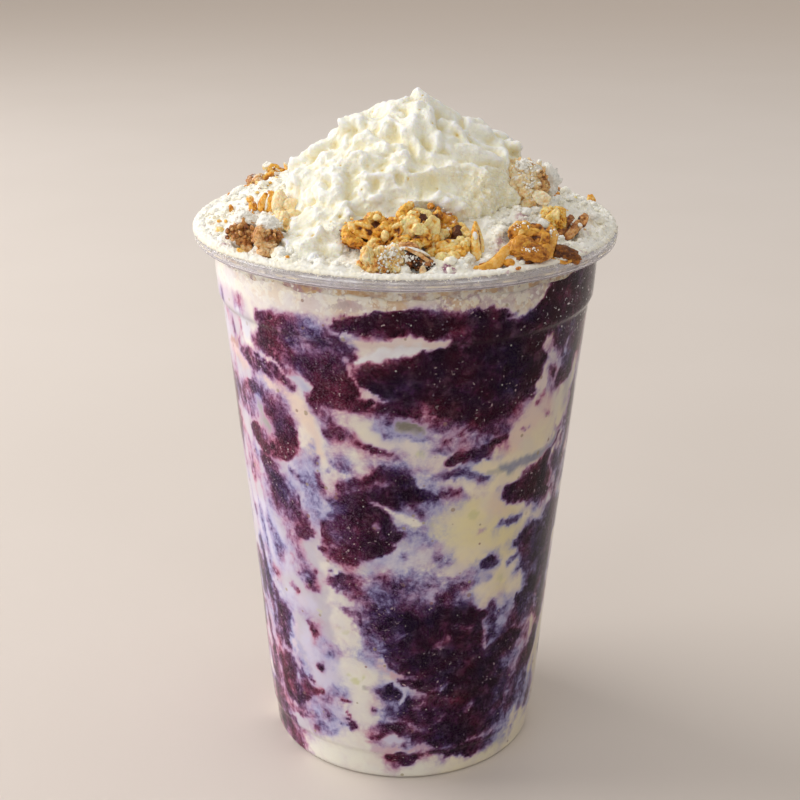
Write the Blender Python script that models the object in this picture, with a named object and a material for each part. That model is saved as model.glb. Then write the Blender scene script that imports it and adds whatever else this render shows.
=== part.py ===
"""Clear lidless cup of marbled frozen berry puree and cream, heaped over the
brim with milk powder and granola crumble, topped with a mound of whipped
cream and with loose clusters of granola and nuts.

Lengths below are in millimetres and are scaled to metres by MM.  The origin
is the centre of the foot ring, on the surface that the cup stands on, and +Z
is the cup's axis.  -Y is the side with the low front of the heap.
"""

import math

import bmesh
import bpy
from mathutils import Euler, Vector, noise

MM = 0.001

# ---------------------------------------------------------------- cup
RIM_R = 49.0            # outer radius of the rolled rim
RIM_TOP = 132.5         # height of the rim's crest
RIM_LOW = 129.3         # lower edge of the roll
BRIM_R = 44.9           # outer radius of the wall just under the roll
SHOULDER_Z = 116.3      # stacking shoulder
SHOULDER_R = 43.55      # outer radius just under the shoulder
FOOT_TOP = 7.5          # height of the foot band
FOOT_R = 33.6           # outer radius at the top of the foot band
BASE_R = 33.05          # outer radius at the bottom
RING_OUT, RING_IN = 32.3, 30.3   # the flat ring that it stands on
PUNT_Z = 1.75           # underside of the raised base panel
WALL = 0.5              # thickness of the clear sheet
CUP_SEG = 36

# ---------------------------------------------------------------- contents
GAP = 0.35              # room kept between neighbouring solids
FOOD_SEG = 36
FILL_FRONT, FILL_RIGHT = 124.0, 127.6   # height of the puree at the wall
FILL_RINGS = (42.0, 30.0, 15.0)         # rings that shape the puree's top
HEAP_EDGE_R = 47.2      # how far the powder lies out over the rim
HEAP_EDGE_Z = 133.2
HEAP_STEEP, HEAP_LOW = 0.60, 0.33       # slope at the back and at the front
PEAK = (1.8, 0.5, 162.8)                # tip of the cream
CREAM_R = 29.0

for old in list(bpy.data.objects):
    bpy.data.objects.remove(old, do_unlink=True)


# ---------------------------------------------------------------- helpers
def material(name, rgb, rough, metal=0.0, alpha=1.0):
    mat = bpy.data.materials.new(name)
    mat.use_nodes = True
    bsdf = mat.node_tree.nodes["Principled BSDF"]
    bsdf.inputs["Base Color"].default_value = (*rgb, 1.0)
    bsdf.inputs["Roughness"].default_value = rough
    bsdf.inputs["Metallic"].default_value = metal
    bsdf.inputs["Alpha"].default_value = alpha
    mat.diffuse_color = (*rgb, alpha)
    return mat


def to_object(name, bm, mat):
    """A smooth-shaded object from a bmesh built in millimetres."""
    bmesh.ops.recalc_face_normals(bm, faces=bm.faces)
    if bm.calc_volume(signed=True) < 0:
        bmesh.ops.reverse_faces(bm, faces=bm.faces)
    bmesh.ops.scale(bm, vec=(MM, MM, MM), verts=bm.verts)
    mesh = bpy.data.meshes.new(name)
    bm.to_mesh(mesh)
    bm.free()
    mesh.shade_smooth()
    mesh.set_sharp_from_angle(angle=math.radians(35))
    ob = bpy.data.objects.new(name, mesh)
    bpy.context.scene.collection.objects.link(ob)
    if mat is not None:
        mesh.materials.append(mat)
    return ob


def skin(rings, low_pole, high_pole):
    """A closed body from rings of equal length between two end points."""
    bm = bmesh.new()
    loops = [[bm.verts.new(p) for p in ring] for ring in rings]
    low, high = bm.verts.new(low_pole), bm.verts.new(high_pole)
    count = len(loops[0])
    for i in range(count):
        j = (i + 1) % count
        bm.faces.new((low, loops[0][j], loops[0][i]))
        bm.faces.new((high, loops[-1][i], loops[-1][j]))
        for a, b in zip(loops, loops[1:]):
            bm.faces.new((a[i], a[j], b[j], b[i]))
    bmesh.ops.triangulate(bm, faces=bm.faces)
    return bm


def offset_line(line, dist):
    """The polyline moved sideways by dist, to the left of its direction."""
    out = []
    for i, p in enumerate(line):
        a = line[max(i - 1, 0)]
        b = line[min(i + 1, len(line) - 1)]
        d0 = Vector((p[0] - a[0], p[1] - a[1]))
        d1 = Vector((b[0] - p[0], b[1] - p[1]))
        if d0.length == 0:
            d0 = d1
        if d1.length == 0:
            d1 = d0
        d0.normalize()
        d1.normalize()
        n0, n1 = Vector((-d0.y, d0.x)), Vector((-d1.y, d1.x))
        m = (n0 + n1).normalized()
        m *= dist / max(m.dot(n0), 0.5)
        out.append((p[0] + m.x, p[1] + m.y))
    return out


def smoothstep(a, b, x):
    t = min(max((x - a) / (b - a), 0.0), 1.0)
    return t * t * (3 - 2 * t)


def bump(az, mid, width):
    """1 at azimuth mid, falling to 0 over width degrees either way."""
    d = abs((az - mid + 180) % 360 - 180)
    return 1 - smoothstep(0, width, d)


def mix(a, b, t):
    return a + (b - a) * t


# ---------------------------------------------------------------- cup
def cup_line():
    """Middle line of the sheet, from the end of the roll to the axis."""
    h = WALL / 2
    return [
        (RIM_R - 1.1, RIM_LOW + h),
        (RIM_R - h - 0.1, RIM_LOW + h + 0.2),
        (RIM_R - h, RIM_LOW + 1.6),
        (RIM_R - 0.75, RIM_TOP - 0.75),
        (RIM_R - 1.8, RIM_TOP - h),
        (BRIM_R + 0.95, RIM_TOP - 0.65),
        (BRIM_R + 0.05, RIM_TOP - 1.8),
        (BRIM_R - h - 0.05, RIM_LOW - 0.2),
        (SHOULDER_R + 0.70, SHOULDER_Z + 1.2),
        (SHOULDER_R - 0.05, SHOULDER_Z - 0.2),
        (SHOULDER_R - h - 0.1, SHOULDER_Z - 1.4),
        (FOOT_R + 0.30, FOOT_TOP + 1.0),
        (FOOT_R - h, FOOT_TOP - 0.3),
        (BASE_R - h, 1.0),
        (RING_OUT - 0.1, h),
        (RING_IN + 0.1, h),
        (RING_IN - 2.4, PUNT_Z + h),
    ]


def inside_line(gap):
    """The cup's inner face moved in by gap, from the base up to the rim."""
    return offset_line(cup_line(), -(WALL / 2 + gap))[::-1]


def cup_wall_inside(z, gap=0.0):
    """Inner radius of the wall at height z, less gap."""
    pts = [(p[1], p[0]) for p in inside_line(gap)[3:10]]
    if z <= pts[0][0]:
        return pts[0][1]
    for (z0, r0), (z1, r1) in zip(pts, pts[1:]):
        if z <= z1:
            return r0 + (r1 - r0) * (z - z0) / (z1 - z0)
    return pts[-1][1]


def make_cup():
    line = cup_line()
    h = WALL / 2
    outer = offset_line(line, h)
    inner = offset_line(line, -h)
    if outer[4][1] < inner[4][1]:
        outer, inner = inner, outer
    path = outer[::-1] + inner            # under the base, out, over, back in
    rings = []
    for r, z in path:
        rings.append([
            (r * math.cos(2 * math.pi * k / CUP_SEG),
             r * math.sin(2 * math.pi * k / CUP_SEG), z)
            for k in range(CUP_SEG)
        ])
    bm = skin(rings, (0, 0, PUNT_Z), (0, 0, PUNT_Z + WALL))
    return to_object("cup", bm, CLEAR)


# ---------------------------------------------------------------- contents
def fill_top(x, y):
    """Top of the puree: a low swell, higher at the right wall."""
    az = math.degrees(math.atan2(y, x))
    r = math.hypot(x, y)
    wall = mix(FILL_FRONT, FILL_RIGHT, bump(az, 5, 75))
    wall += 0.8 * math.sin(math.radians(az * 3 + 20)) + 1.2 * bump(az, 120, 60)
    crown = 127.5 + 0.6 * noise.noise(Vector((x, y, 0)) / 13)
    return mix(crown, wall, smoothstep(12, 42, r))


def make_filling():
    rings = []
    for r, z in inside_line(GAP)[:9]:
        rings.append(ring_at(lambda t, r=r, z=z: (r, z)))
        if FOOT_TOP < z < SHOULDER_Z - 5:
            for up in (60.0,):
                rings.append(ring_at(
                    lambda t, up=up: (cup_wall_inside(up, GAP), up)))

    def edge(t):
        x, y = 43 * math.cos(t), 43 * math.sin(t)
        z = fill_top(x, y) - 0.6
        return cup_wall_inside(z, GAP), z

    rings.append(ring_at(edge))
    for r in FILL_RINGS:
        rings.append(ring_at(
            lambda t, r=r: (r, fill_top(r * math.cos(t), r * math.sin(t)))))
    bm = skin(rings, (0, 0, PUNT_Z + WALL + GAP), (0, 0, fill_top(0, 0)))
    return to_object("acai_filling", bm, PUREE)


def ring_at(rule, seg=FOOD_SEG):
    """Points at FOOD_SEG azimuths, from a rule giving radius and height."""
    out = []
    for k in range(seg):
        t = 2 * math.pi * k / seg
        r, z = rule(t)
        out.append((r * math.cos(t), r * math.sin(t), z))
    return out


def heap_top(x, y):
    """Smooth top of the powder and crumble heap."""
    az = math.degrees(math.atan2(y, x))
    r = math.hypot(x, y)
    low = max(bump(az, -90, 80), 0.9 * bump(az, -140, 55))
    slope = mix(HEAP_STEEP, HEAP_LOW, low)
    run = max(46.6 - r, 0.0)
    rise = slope * run
    crown = mix(9.0, 7.0, low)
    return HEAP_EDGE_Z + crown * math.tanh(rise / crown)


def heap_relief(x, y):
    """Lumps of the heap where it shows, none under the cream."""
    r = math.hypot(x, y)
    az = math.degrees(math.atan2(y, x))
    shown = smoothstep(cream_reach(az) - 0.5, cream_reach(az) + 3.0, r)
    shown *= 1 - smoothstep(45.2, 46.6, r)
    lumps = noise.noise(Vector((x, y, 3.0)) / 4.0)
    return shown * (0.9 * lumps + 0.25)


def make_heap():
    rings = []
    for r in FILL_RINGS[::-1]:
        rings.append(ring_at(lambda t, r=r: (
            r, fill_top(r * math.cos(t), r * math.sin(t)) + GAP + 0.1)))

    def low_edge(t):
        z = fill_top(43 * math.cos(t), 43 * math.sin(t)) + GAP + 0.2
        return cup_wall_inside(z, GAP), z

    rings.append(ring_at(low_edge))
    rings.append(ring_at(lambda t: (BRIM_R - WALL - GAP - 0.15, RIM_LOW + 0.4)))
    rings.append(ring_at(lambda t: (BRIM_R - WALL - GAP - 0.05, RIM_TOP - 0.1)))
    rings.append(ring_at(lambda t: (BRIM_R - WALL + 0.7, RIM_TOP + GAP + 0.05)))
    rings.append(ring_at(lambda t: (HEAP_EDGE_R - 0.25, RIM_TOP + GAP)))

    def lip(t):
        k = noise.noise(Vector((math.cos(t) * 4, math.sin(t) * 4, 1.0)))
        return HEAP_EDGE_R, HEAP_EDGE_Z + 0.15 + 0.25 * k

    rings.append(ring_at(lip))
    for r in (45.4, 42.6, 39.8, 37.0, 34.0, 29.0, 21.0, 11.0):
        def top(t, r=r):
            x, y = r * math.cos(t), r * math.sin(t)
            return r, heap_top(x, y) + heap_relief(x, y)
        rings.append(ring_at(top))
    z0 = fill_top(0, 0) + GAP + 0.1
    bm = skin(rings, (0, 0, z0), (0, 0, heap_top(0, 0)))
    return to_object("powder_crumble_heap", bm, POWDER)


def cream_reach(az):
    """Radius of the cream's foot: a tongue runs to the rim at front left."""
    r = CREAM_R + 1.2 * math.sin(math.radians(az * 5 + 40))
    r += 1.0 * math.sin(math.radians(az * 3 - 10))
    r += 14.0 * bump(az, -122, 34)
    r -= 3.0 * bump(az, -78, 40)
    return r


def cream_lobes():
    """Dollops in three tiers: centre, radius and height of each."""
    lobes = [(PEAK[0], PEAK[1], 4.6, 4.0)]
    tiers = ((5, 11.0, 5.4, 3.4, 12), (8, 19.0, 5.0, 3.0, 35),
             (10, 25.0, 4.2, 2.4, 8))
    for count, dist, rad, high, turn in tiers:
        for k in range(count):
            a = math.radians(turn + 360 * k / count
                             + 9 * math.sin(2.3 * k + count))
            d = dist * (1 + 0.07 * math.sin(3.1 * k + turn))
            lobes.append((d * math.cos(a), d * math.sin(a),
                          rad * (1 + 0.16 * math.sin(1.7 * k + dist)),
                          high * (1 + 0.25 * math.sin(2.9 * k + dist))))
    return lobes


def cream_top(x, y, lobes):
    """Height of the whipped mound: a cone carrying the dollops."""
    az = math.degrees(math.atan2(y, x))
    reach = cream_reach(az)
    dx, dy = x - PEAK[0], y - PEAK[1]
    r = math.hypot(dx, dy)
    slope = 0.36 + 0.14 * bump(az, -90, 70) + 0.08 * bump(az, 180, 70)
    cone = PEAK[2] - 4.2 - slope * r
    best = 0.0
    for cx, cy, rad, high in lobes:
        d = math.hypot(x - cx, y - cy) / rad
        if d < 1.6:
            best = max(best, high * math.exp(-1.3 * d * d * d))
    z = cone + best
    share = min(math.hypot(x, y) / reach, 1.0)
    foot = heap_top(x, y) + 2.2
    return mix(z, min(z, foot), smoothstep(0.84, 1.0, share)) \
        if z > foot else max(z, foot - 0.6)


def make_cream():
    lobes = cream_lobes()
    seg = 40
    rings = []
    for f in (0.35, 0.7, 0.93):
        def low(t, f=f):
            r = cream_reach(math.degrees(t)) * f
            return r, heap_top(r * math.cos(t), r * math.sin(t)) + GAP + 0.15
        rings.append(ring_at(low, seg))

    def edge(t, lift):
        az = math.degrees(t)
        r = cream_reach(az)
        x, y = r * math.cos(t), r * math.sin(t)
        return r, heap_top(x, y) + lift

    rings.append(ring_at(lambda t: edge(t, GAP + 0.55), seg))
    for f in (0.97, 0.89, 0.80, 0.70, 0.59, 0.47, 0.34, 0.21, 0.09):
        def top(t, f=f):
            r = cream_reach(math.degrees(t)) * f
            x = mix(PEAK[0], 0, f) + r * math.cos(t)
            y = mix(PEAK[1], 0, f) + r * math.sin(t)
            z = cream_top(x, y, lobes)
            return x, y, max(z, heap_top(x, y) + GAP + 1.3)
        rings.append([top(2 * math.pi * k / seg) for k in range(seg)])
    bm = skin(rings, (0, 0, heap_top(0, 0) + GAP + 0.15), PEAK)
    return to_object("whipped_cream", bm, CREAM)


# ---------------------------------------------------------------- toppings
def nugget(centre, radii, turn, knobs, seed, grow=0.0, detail=2):
    """A knobbly lump: a ball with rounded bumps, squashed to radii."""
    bm = bmesh.new()
    bmesh.ops.create_icosphere(bm, subdivisions=detail, radius=1.0)
    rot = Euler([math.radians(a) for a in turn]).to_matrix()
    tips = []
    for k in range(knobs):
        a = 2.399963 * k + seed
        h = 1 - 2 * (k + 0.5) / max(knobs, 1)
        s = math.sqrt(1 - h * h)
        tips.append(Vector((s * math.cos(a), s * math.sin(a), h)))
    for v in bm.verts:
        d = v.co.normalized()
        lump = 0.0
        for i, tip in enumerate(tips):
            near = max(d.dot(tip), 0.0) ** 6
            lump = max(lump, near * (0.22 + 0.08 * math.sin(seed + 2.1 * i)))
        lump += 0.10 * noise.noise(d * 2.2 + Vector((seed, 0, 0)))
        k = 0.94 + 0.85 * lump
        p = Vector((d.x * radii[0], d.y * radii[1], d.z * radii[2])) * k
        n = Vector((d.x / radii[0], d.y / radii[1], d.z / radii[2])).normalized()
        v.co = rot @ (p + n * grow) + Vector(centre)
    return bm


def sliver(a, b, bow, wide, thick, grow=0.0, spin=0.0, sides=8, steps=7):
    """A curved splinter from a to b, fattest a third of the way along."""
    a, b = Vector(a), Vector(b)
    axis = (b - a).normalized()
    side = axis.cross(Vector((0, 0, 1)))
    side = side.normalized() if side.length > 0.2 else Vector((1, 0, 0))
    up = side.cross(axis).normalized()
    rings = []
    for i in range(steps):
        u = i / (steps - 1)
        full = (0.30 + 0.70 * math.sin(math.pi * (0.12 + 0.76 * u ** 0.8)))
        mid = a.lerp(b, u) + up * bow * math.sin(math.pi * u)
        mid += axis * grow * (2 * u - 1)
        ring = []
        for k in range(sides):
            t = 2 * math.pi * k / sides + spin
            ring.append(mid + side * (wide / 2 * full + grow) * math.cos(t)
                        + up * (thick / 2 * full + grow) * math.sin(t))
        rings.append(ring)
    cap = 0.35 + grow * 0.4
    return skin(rings, a - axis * (cap + grow), b + axis * (cap + grow))


TOPPINGS = {
    # name: (maker, settings, material key)
    "granola_oat_cluster": (nugget, dict(
        centre=(-7.5, -33.0, 139.0), radii=(5.9, 4.3, 4.4),
        turn=(10, 12, 8), knobs=9, seed=0.4, detail=3), "oat"),
    "granola_flake_cluster": (nugget, dict(
        centre=(4.6, -31.8, 139.9), radii=(5.2, 4.1, 5.1),
        turn=(25, -8, 20), knobs=8, seed=1.9, detail=3), "oat"),
    "granola_crumb_cluster": (nugget, dict(
        centre=(11.7, -34.8, 136.9), radii=(3.0, 2.7, 3.1),
        turn=(0, 20, 0), knobs=6, seed=3.1), "oat"),
    "oat_husk": (sliver, dict(
        a=(16.6, -36.6, 133.6), b=(15.2, -32.2, 141.3), bow=0.5,
        wide=2.7, thick=1.7), "oat"),
    "nut_sliver": (sliver, dict(
        a=(14.9, -42.2, 133.7), b=(21.9, -36.4, 137.5), bow=-0.9,
        wide=2.6, thick=2.2), "nut"),
    "amber_nut": (nugget, dict(
        centre=(27.3, -30.6, 137.5), radii=(5.3, 3.9, 4.3),
        turn=(20, 15, -30), knobs=6, seed=5.2, detail=3), "nut"),
    "nut_half": (nugget, dict(
        centre=(35.4, -26.0, 135.5), radii=(4.3, 2.3, 1.9),
        turn=(0, 8, 32), knobs=2, seed=0.9), "nut"),
    "granola_nugget_right": (nugget, dict(
        centre=(33.6, -17.6, 139.1), radii=(2.7, 2.5, 2.4),
        turn=(0, 0, 20), knobs=5, seed=2.2), "oat"),
    "oat_sticks": (nugget, dict(
        centre=(38.9, -17.4, 137.0), radii=(3.9, 2.3, 2.0),
        turn=(0, -38, -20), knobs=4, seed=4.0), "dark_oat"),
    "dusted_cluster": (nugget, dict(
        centre=(28.4, 2.0, 141.4), radii=(5.5, 4.9, 5.7),
        turn=(0, 14, 0), knobs=9, seed=6.3, detail=3), "dusted"),
    "granola_nugget_left": (nugget, dict(
        centre=(-36.8, -23.2, 135.3), radii=(3.3, 2.8, 3.3),
        turn=(0, 10, 25), knobs=6, seed=7.7), "dark_oat"),
    "granola_nugget_front_left": (nugget, dict(
        centre=(-29.6, -30.2, 135.1), radii=(3.4, 2.8, 3.2),
        turn=(10, 0, -15), knobs=6, seed=8.8), "dark_oat"),
    "puffed_piece_upper": (nugget, dict(
        centre=(-30.2, -12.6, 139.7), radii=(2.9, 2.6, 3.1),
        turn=(0, 0, 30), knobs=4, seed=1.2), "puffed"),
    "puffed_piece_lower": (nugget, dict(
        centre=(-27.0, -21.0, 137.3), radii=(2.9, 2.5, 2.8),
        turn=(30, 0, 0), knobs=5, seed=2.7), "puffed"),
    "oat_pair_left": (nugget, dict(
        centre=(-34.9, -10.4, 138.6), radii=(1.9, 1.5, 2.8),
        turn=(0, 18, 0), knobs=3, seed=0.3), "oat"),
    "granola_cluster_back": (nugget, dict(
        centre=(-32.4, 18.6, 139.6), radii=(3.7, 2.8, 1.9),
        turn=(0, 12, 10), knobs=5, seed=9.4), "oat"),
    "coated_piece_front": (nugget, dict(
        centre=(-7.0, -42.0, 135.2), radii=(2.7, 2.2, 3.0),
        turn=(0, 8, 0), knobs=4, seed=3.6), "puffed"),
    "brown_oat_front": (nugget, dict(
        centre=(2.6, -41.6, 135.7), radii=(3.6, 2.0, 2.1),
        turn=(-20, 22, 0), knobs=3, seed=5.9), "dark_oat"),
}


def keep_largest(ob, cutters):
    """Cut ob by the cutters and keep the one body that is left."""
    for cutter in cutters:
        mod = ob.modifiers.new(cutter.name, "BOOLEAN")
        mod.operation = "DIFFERENCE"
        mod.solver = "EXACT"
        mod.object = cutter
    graph = bpy.context.evaluated_depsgraph_get()
    mesh = bpy.data.meshes.new_from_object(ob.evaluated_get(graph))
    ob.modifiers.clear()
    bm = bmesh.new()
    bm.from_mesh(mesh)
    bmesh.ops.remove_doubles(bm, verts=bm.verts, dist=0.00002)
    bmesh.ops.dissolve_degenerate(bm, edges=bm.edges, dist=0.00001)
    bmesh.ops.triangulate(bm, faces=bm.faces)
    left, groups = set(bm.faces), []
    while left:
        stack, group = [left.pop()], set()
        while stack:
            face = stack.pop()
            group.add(face)
            for edge in face.edges:
                for other in edge.link_faces:
                    if other in left:
                        left.discard(other)
                        stack.append(other)
        groups.append(group)
    groups.sort(key=lambda g: -sum(f.calc_area() for f in g))
    for group in groups[1:]:
        bmesh.ops.delete(bm, geom=list(group), context="FACES")
    loose = [v for v in bm.verts if not v.link_faces]
    bmesh.ops.delete(bm, geom=loose, context="VERTS")
    bm.to_mesh(mesh)
    bm.free()
    mesh.shade_smooth()
    mesh.set_sharp_from_angle(angle=math.radians(35))
    ob.data = mesh


CLEAR = material("clear_sheet", (0.86, 0.88, 0.92), 0.08, alpha=0.35)
PUREE = material("marbled_puree", (0.16, 0.05, 0.13), 0.35)
POWDER = material("milk_powder", (0.90, 0.86, 0.74), 0.95)
CREAM = material("whipped_cream", (0.93, 0.91, 0.82), 0.55)
KINDS = {
    "oat": material("toasted_oat", (0.66, 0.38, 0.13), 0.6),
    "dark_oat": material("dark_oat", (0.38, 0.18, 0.08), 0.6),
    "nut": material("glazed_nut", (0.60, 0.30, 0.08), 0.35),
    "puffed": material("puffed_grain", (0.85, 0.68, 0.42), 0.7),
    "dusted": material("dusted_oat", (0.78, 0.62, 0.40), 0.8),
}

make_cup()
make_filling()
heap = make_heap()
cream = make_cream()
cutters = []
for piece, (maker, settings, kind) in TOPPINGS.items():
    to_object(piece, maker(**settings), KINDS[kind])
    room = dict(settings, grow=GAP + 0.1)
    if room.get("detail") == 3:
        room.update(detail=2, grow=GAP + 0.4)      # coarser, so a little wider
    cutter = to_object(piece + "_room", maker(**room), None)
    cutter.hide_render = True
    cutter.display_type = "WIRE"
    cutters.append(cutter)
bpy.context.view_layer.update()
keep_largest(heap, cutters)
keep_largest(cream, cutters)
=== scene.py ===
"""Looks of the acai cup: clear cup, marbled filling, powder heap, whipped cream, granola.

Working lengths are millimetres (the CAD frame times 1000); meshes are written in metres.
Azimuths called A are degrees from the front (-Y), positive towards +X.
"""
import math

import bmesh
import bpy
import numpy as np
from mathutils import Matrix, Vector


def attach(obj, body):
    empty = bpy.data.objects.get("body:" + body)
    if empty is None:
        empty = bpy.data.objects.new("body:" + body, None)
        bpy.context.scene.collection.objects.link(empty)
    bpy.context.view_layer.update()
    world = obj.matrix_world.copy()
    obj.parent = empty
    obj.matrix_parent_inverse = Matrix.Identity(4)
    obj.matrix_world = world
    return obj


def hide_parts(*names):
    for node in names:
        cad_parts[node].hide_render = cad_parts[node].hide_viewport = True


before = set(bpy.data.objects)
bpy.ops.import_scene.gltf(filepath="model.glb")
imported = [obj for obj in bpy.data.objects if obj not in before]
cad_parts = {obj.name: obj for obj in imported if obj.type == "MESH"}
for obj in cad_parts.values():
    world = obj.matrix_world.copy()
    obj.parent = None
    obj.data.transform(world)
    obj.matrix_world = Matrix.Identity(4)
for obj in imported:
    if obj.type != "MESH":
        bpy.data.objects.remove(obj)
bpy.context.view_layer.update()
MM = 0.001


# ------------------------------------------------------------------ noise
class Grad:
    """Seeded gradient noise on arrays of points, about -1 to 1."""

    def __init__(self, seed):
        rng = np.random.default_rng(seed)
        self.p = np.concatenate([rng.permutation(256)] * 2)
        g = rng.normal(size=(256, 3))
        self.g = g / np.linalg.norm(g, axis=1)[:, None]

    def __call__(self, pts):
        pts = np.asarray(pts, float)
        i = np.floor(pts).astype(np.int64)
        f = pts - i
        i &= 255
        u = f * f * f * (f * (f * 6 - 15) + 10)
        out = 0.0
        for dx in (0, 1):
            wx = u[:, 0] if dx else 1 - u[:, 0]
            for dy in (0, 1):
                wy = u[:, 1] if dy else 1 - u[:, 1]
                for dz in (0, 1):
                    wz = u[:, 2] if dz else 1 - u[:, 2]
                    h = self.p[(self.p[(self.p[(i[:, 0] + dx) & 255] + i[:, 1] + dy) & 255] + i[:, 2] + dz) & 255]
                    g = self.g[h]
                    d = g[:, 0] * (f[:, 0] - dx) + g[:, 1] * (f[:, 1] - dy) + g[:, 2] * (f[:, 2] - dz)
                    out = out + wx * wy * wz * d
        return out * 1.6

    def fbm(self, pts, octaves=4, gain=0.5, lac=2.03):
        pts = np.asarray(pts, float)
        total, amp, norm = 0.0, 1.0, 0.0
        for k in range(octaves):
            total = total + amp * self(pts + 17.3 * k)
            norm += amp
            amp *= gain
            pts = pts * lac
        return total / norm

    def billow(self, pts, octaves=3, gain=0.5, lac=2.03):
        """Rounded bumps with creases between them, 0 to about 1."""
        pts = np.asarray(pts, float)
        total, amp, norm = 0.0, 1.0, 0.0
        for k in range(octaves):
            total = total + amp * (1 - np.abs(self(pts + 9.7 * k)) * 1.8)
            norm += amp
            amp *= gain
            pts = pts * lac
        return total / norm


N1, N2, N3, N4 = Grad(11), Grad(23), Grad(37), Grad(51)


def smooth(a, b, x):
    t = np.clip((np.asarray(x, float) - a) / (b - a), 0, 1)
    return t * t * (3 - 2 * t)


def bumpw(az, mid, width):
    d = np.abs((az - mid + 180) % 360 - 180)
    return 1 - smooth(0, width, d)


# ------------------------------------------------------------------ mesh helpers
def mesh_object(name, verts_mm, faces, smooth_shade=True):
    """An object from vertices in millimetres and faces (array or list)."""
    me = bpy.data.meshes.new(name)
    v = np.asarray(verts_mm, np.float32) * MM
    f = np.asarray(faces, np.int32)
    me.vertices.add(len(v))
    me.vertices.foreach_set("co", v.ravel())
    k = f.shape[1]
    me.loops.add(f.size)
    me.loops.foreach_set("vertex_index", f.ravel())
    me.polygons.add(len(f))
    me.polygons.foreach_set("loop_start", np.arange(0, f.size, k, dtype=np.int32))
    me.update(calc_edges=True)
    me.validate()
    if smooth_shade:
        me.shade_smooth()
    ob = bpy.data.objects.new(name, me)
    bpy.context.scene.collection.objects.link(ob)
    return ob


def float_attr(ob, name, values):
    at = ob.data.attributes.new(name, "FLOAT", "POINT")
    at.data.foreach_set("value", np.asarray(values, np.float32).ravel())


def color_attr(ob, name, rgb):
    at = ob.data.attributes.new(name, "FLOAT_COLOR", "POINT")
    rgba = np.ones((len(rgb), 4), np.float32)
    rgba[:, :3] = rgb
    at.data.foreach_set("color", rgba.ravel())


def coords(ob):
    n = len(ob.data.vertices)
    a = np.empty(n * 3, np.float32)
    ob.data.vertices.foreach_get("co", a)
    return a.reshape(-1, 3).astype(float) / MM


def set_coords(ob, co_mm):
    ob.data.vertices.foreach_set("co", (np.asarray(co_mm) * MM).astype(np.float32).ravel())
    ob.data.update()


def normals(ob):
    n = len(ob.data.vertices)
    a = np.empty(n * 3, np.float32)
    ob.data.vertex_normals.foreach_get("vector", a)
    return a.reshape(-1, 3).astype(float)


def lathe(name, profile, seg, close_low=None, close_high=None):
    """Turned body; profile is (r, z) from one end to the other, z up, faces out when it runs downwards outside."""
    p = np.asarray(profile, float)
    t = np.linspace(0, 2 * np.pi, seg, endpoint=False)
    v = np.stack([p[:, 0][:, None] * np.cos(t), p[:, 0][:, None] * np.sin(t), np.repeat(p[:, 1][:, None], seg, 1)], -1)
    return grid_body(name, v, close_low, close_high)


def grid_body(name, v, low=None, high=None):
    """A closed body from a grid of rings (rings, seg, 3), with a pole at each end or open ends."""
    rings, seg = v.shape[:2]
    idx = np.arange(rings * seg).reshape(rings, seg)
    nxt = np.roll(idx, -1, 1)
    quads = np.stack([idx[:-1], nxt[:-1], nxt[1:], idx[1:]], -1).reshape(-1, 4)
    verts = v.reshape(-1, 3)
    tris = [np.stack([quads[:, 0], quads[:, 1], quads[:, 2]], -1), np.stack([quads[:, 0], quads[:, 2], quads[:, 3]], -1)]
    if low is not None:
        verts = np.vstack([verts, [low]])
        k = len(verts) - 1
        tris.append(np.stack([np.full(seg, k), nxt[0], idx[0]], -1))
    if high is not None:
        verts = np.vstack([verts, [high]])
        k = len(verts) - 1
        tris.append(np.stack([np.full(seg, k), idx[-1], nxt[-1]], -1))
    f = np.vstack(tris)
    a, b, c = verts[f[:, 0]], verts[f[:, 1]], verts[f[:, 2]]
    if low is not None and high is not None and np.einsum("ij,ij->i", a, np.cross(b, c)).sum() < 0:
        f = f[:, ::-1]
    return mesh_object(name, verts, f)


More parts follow.
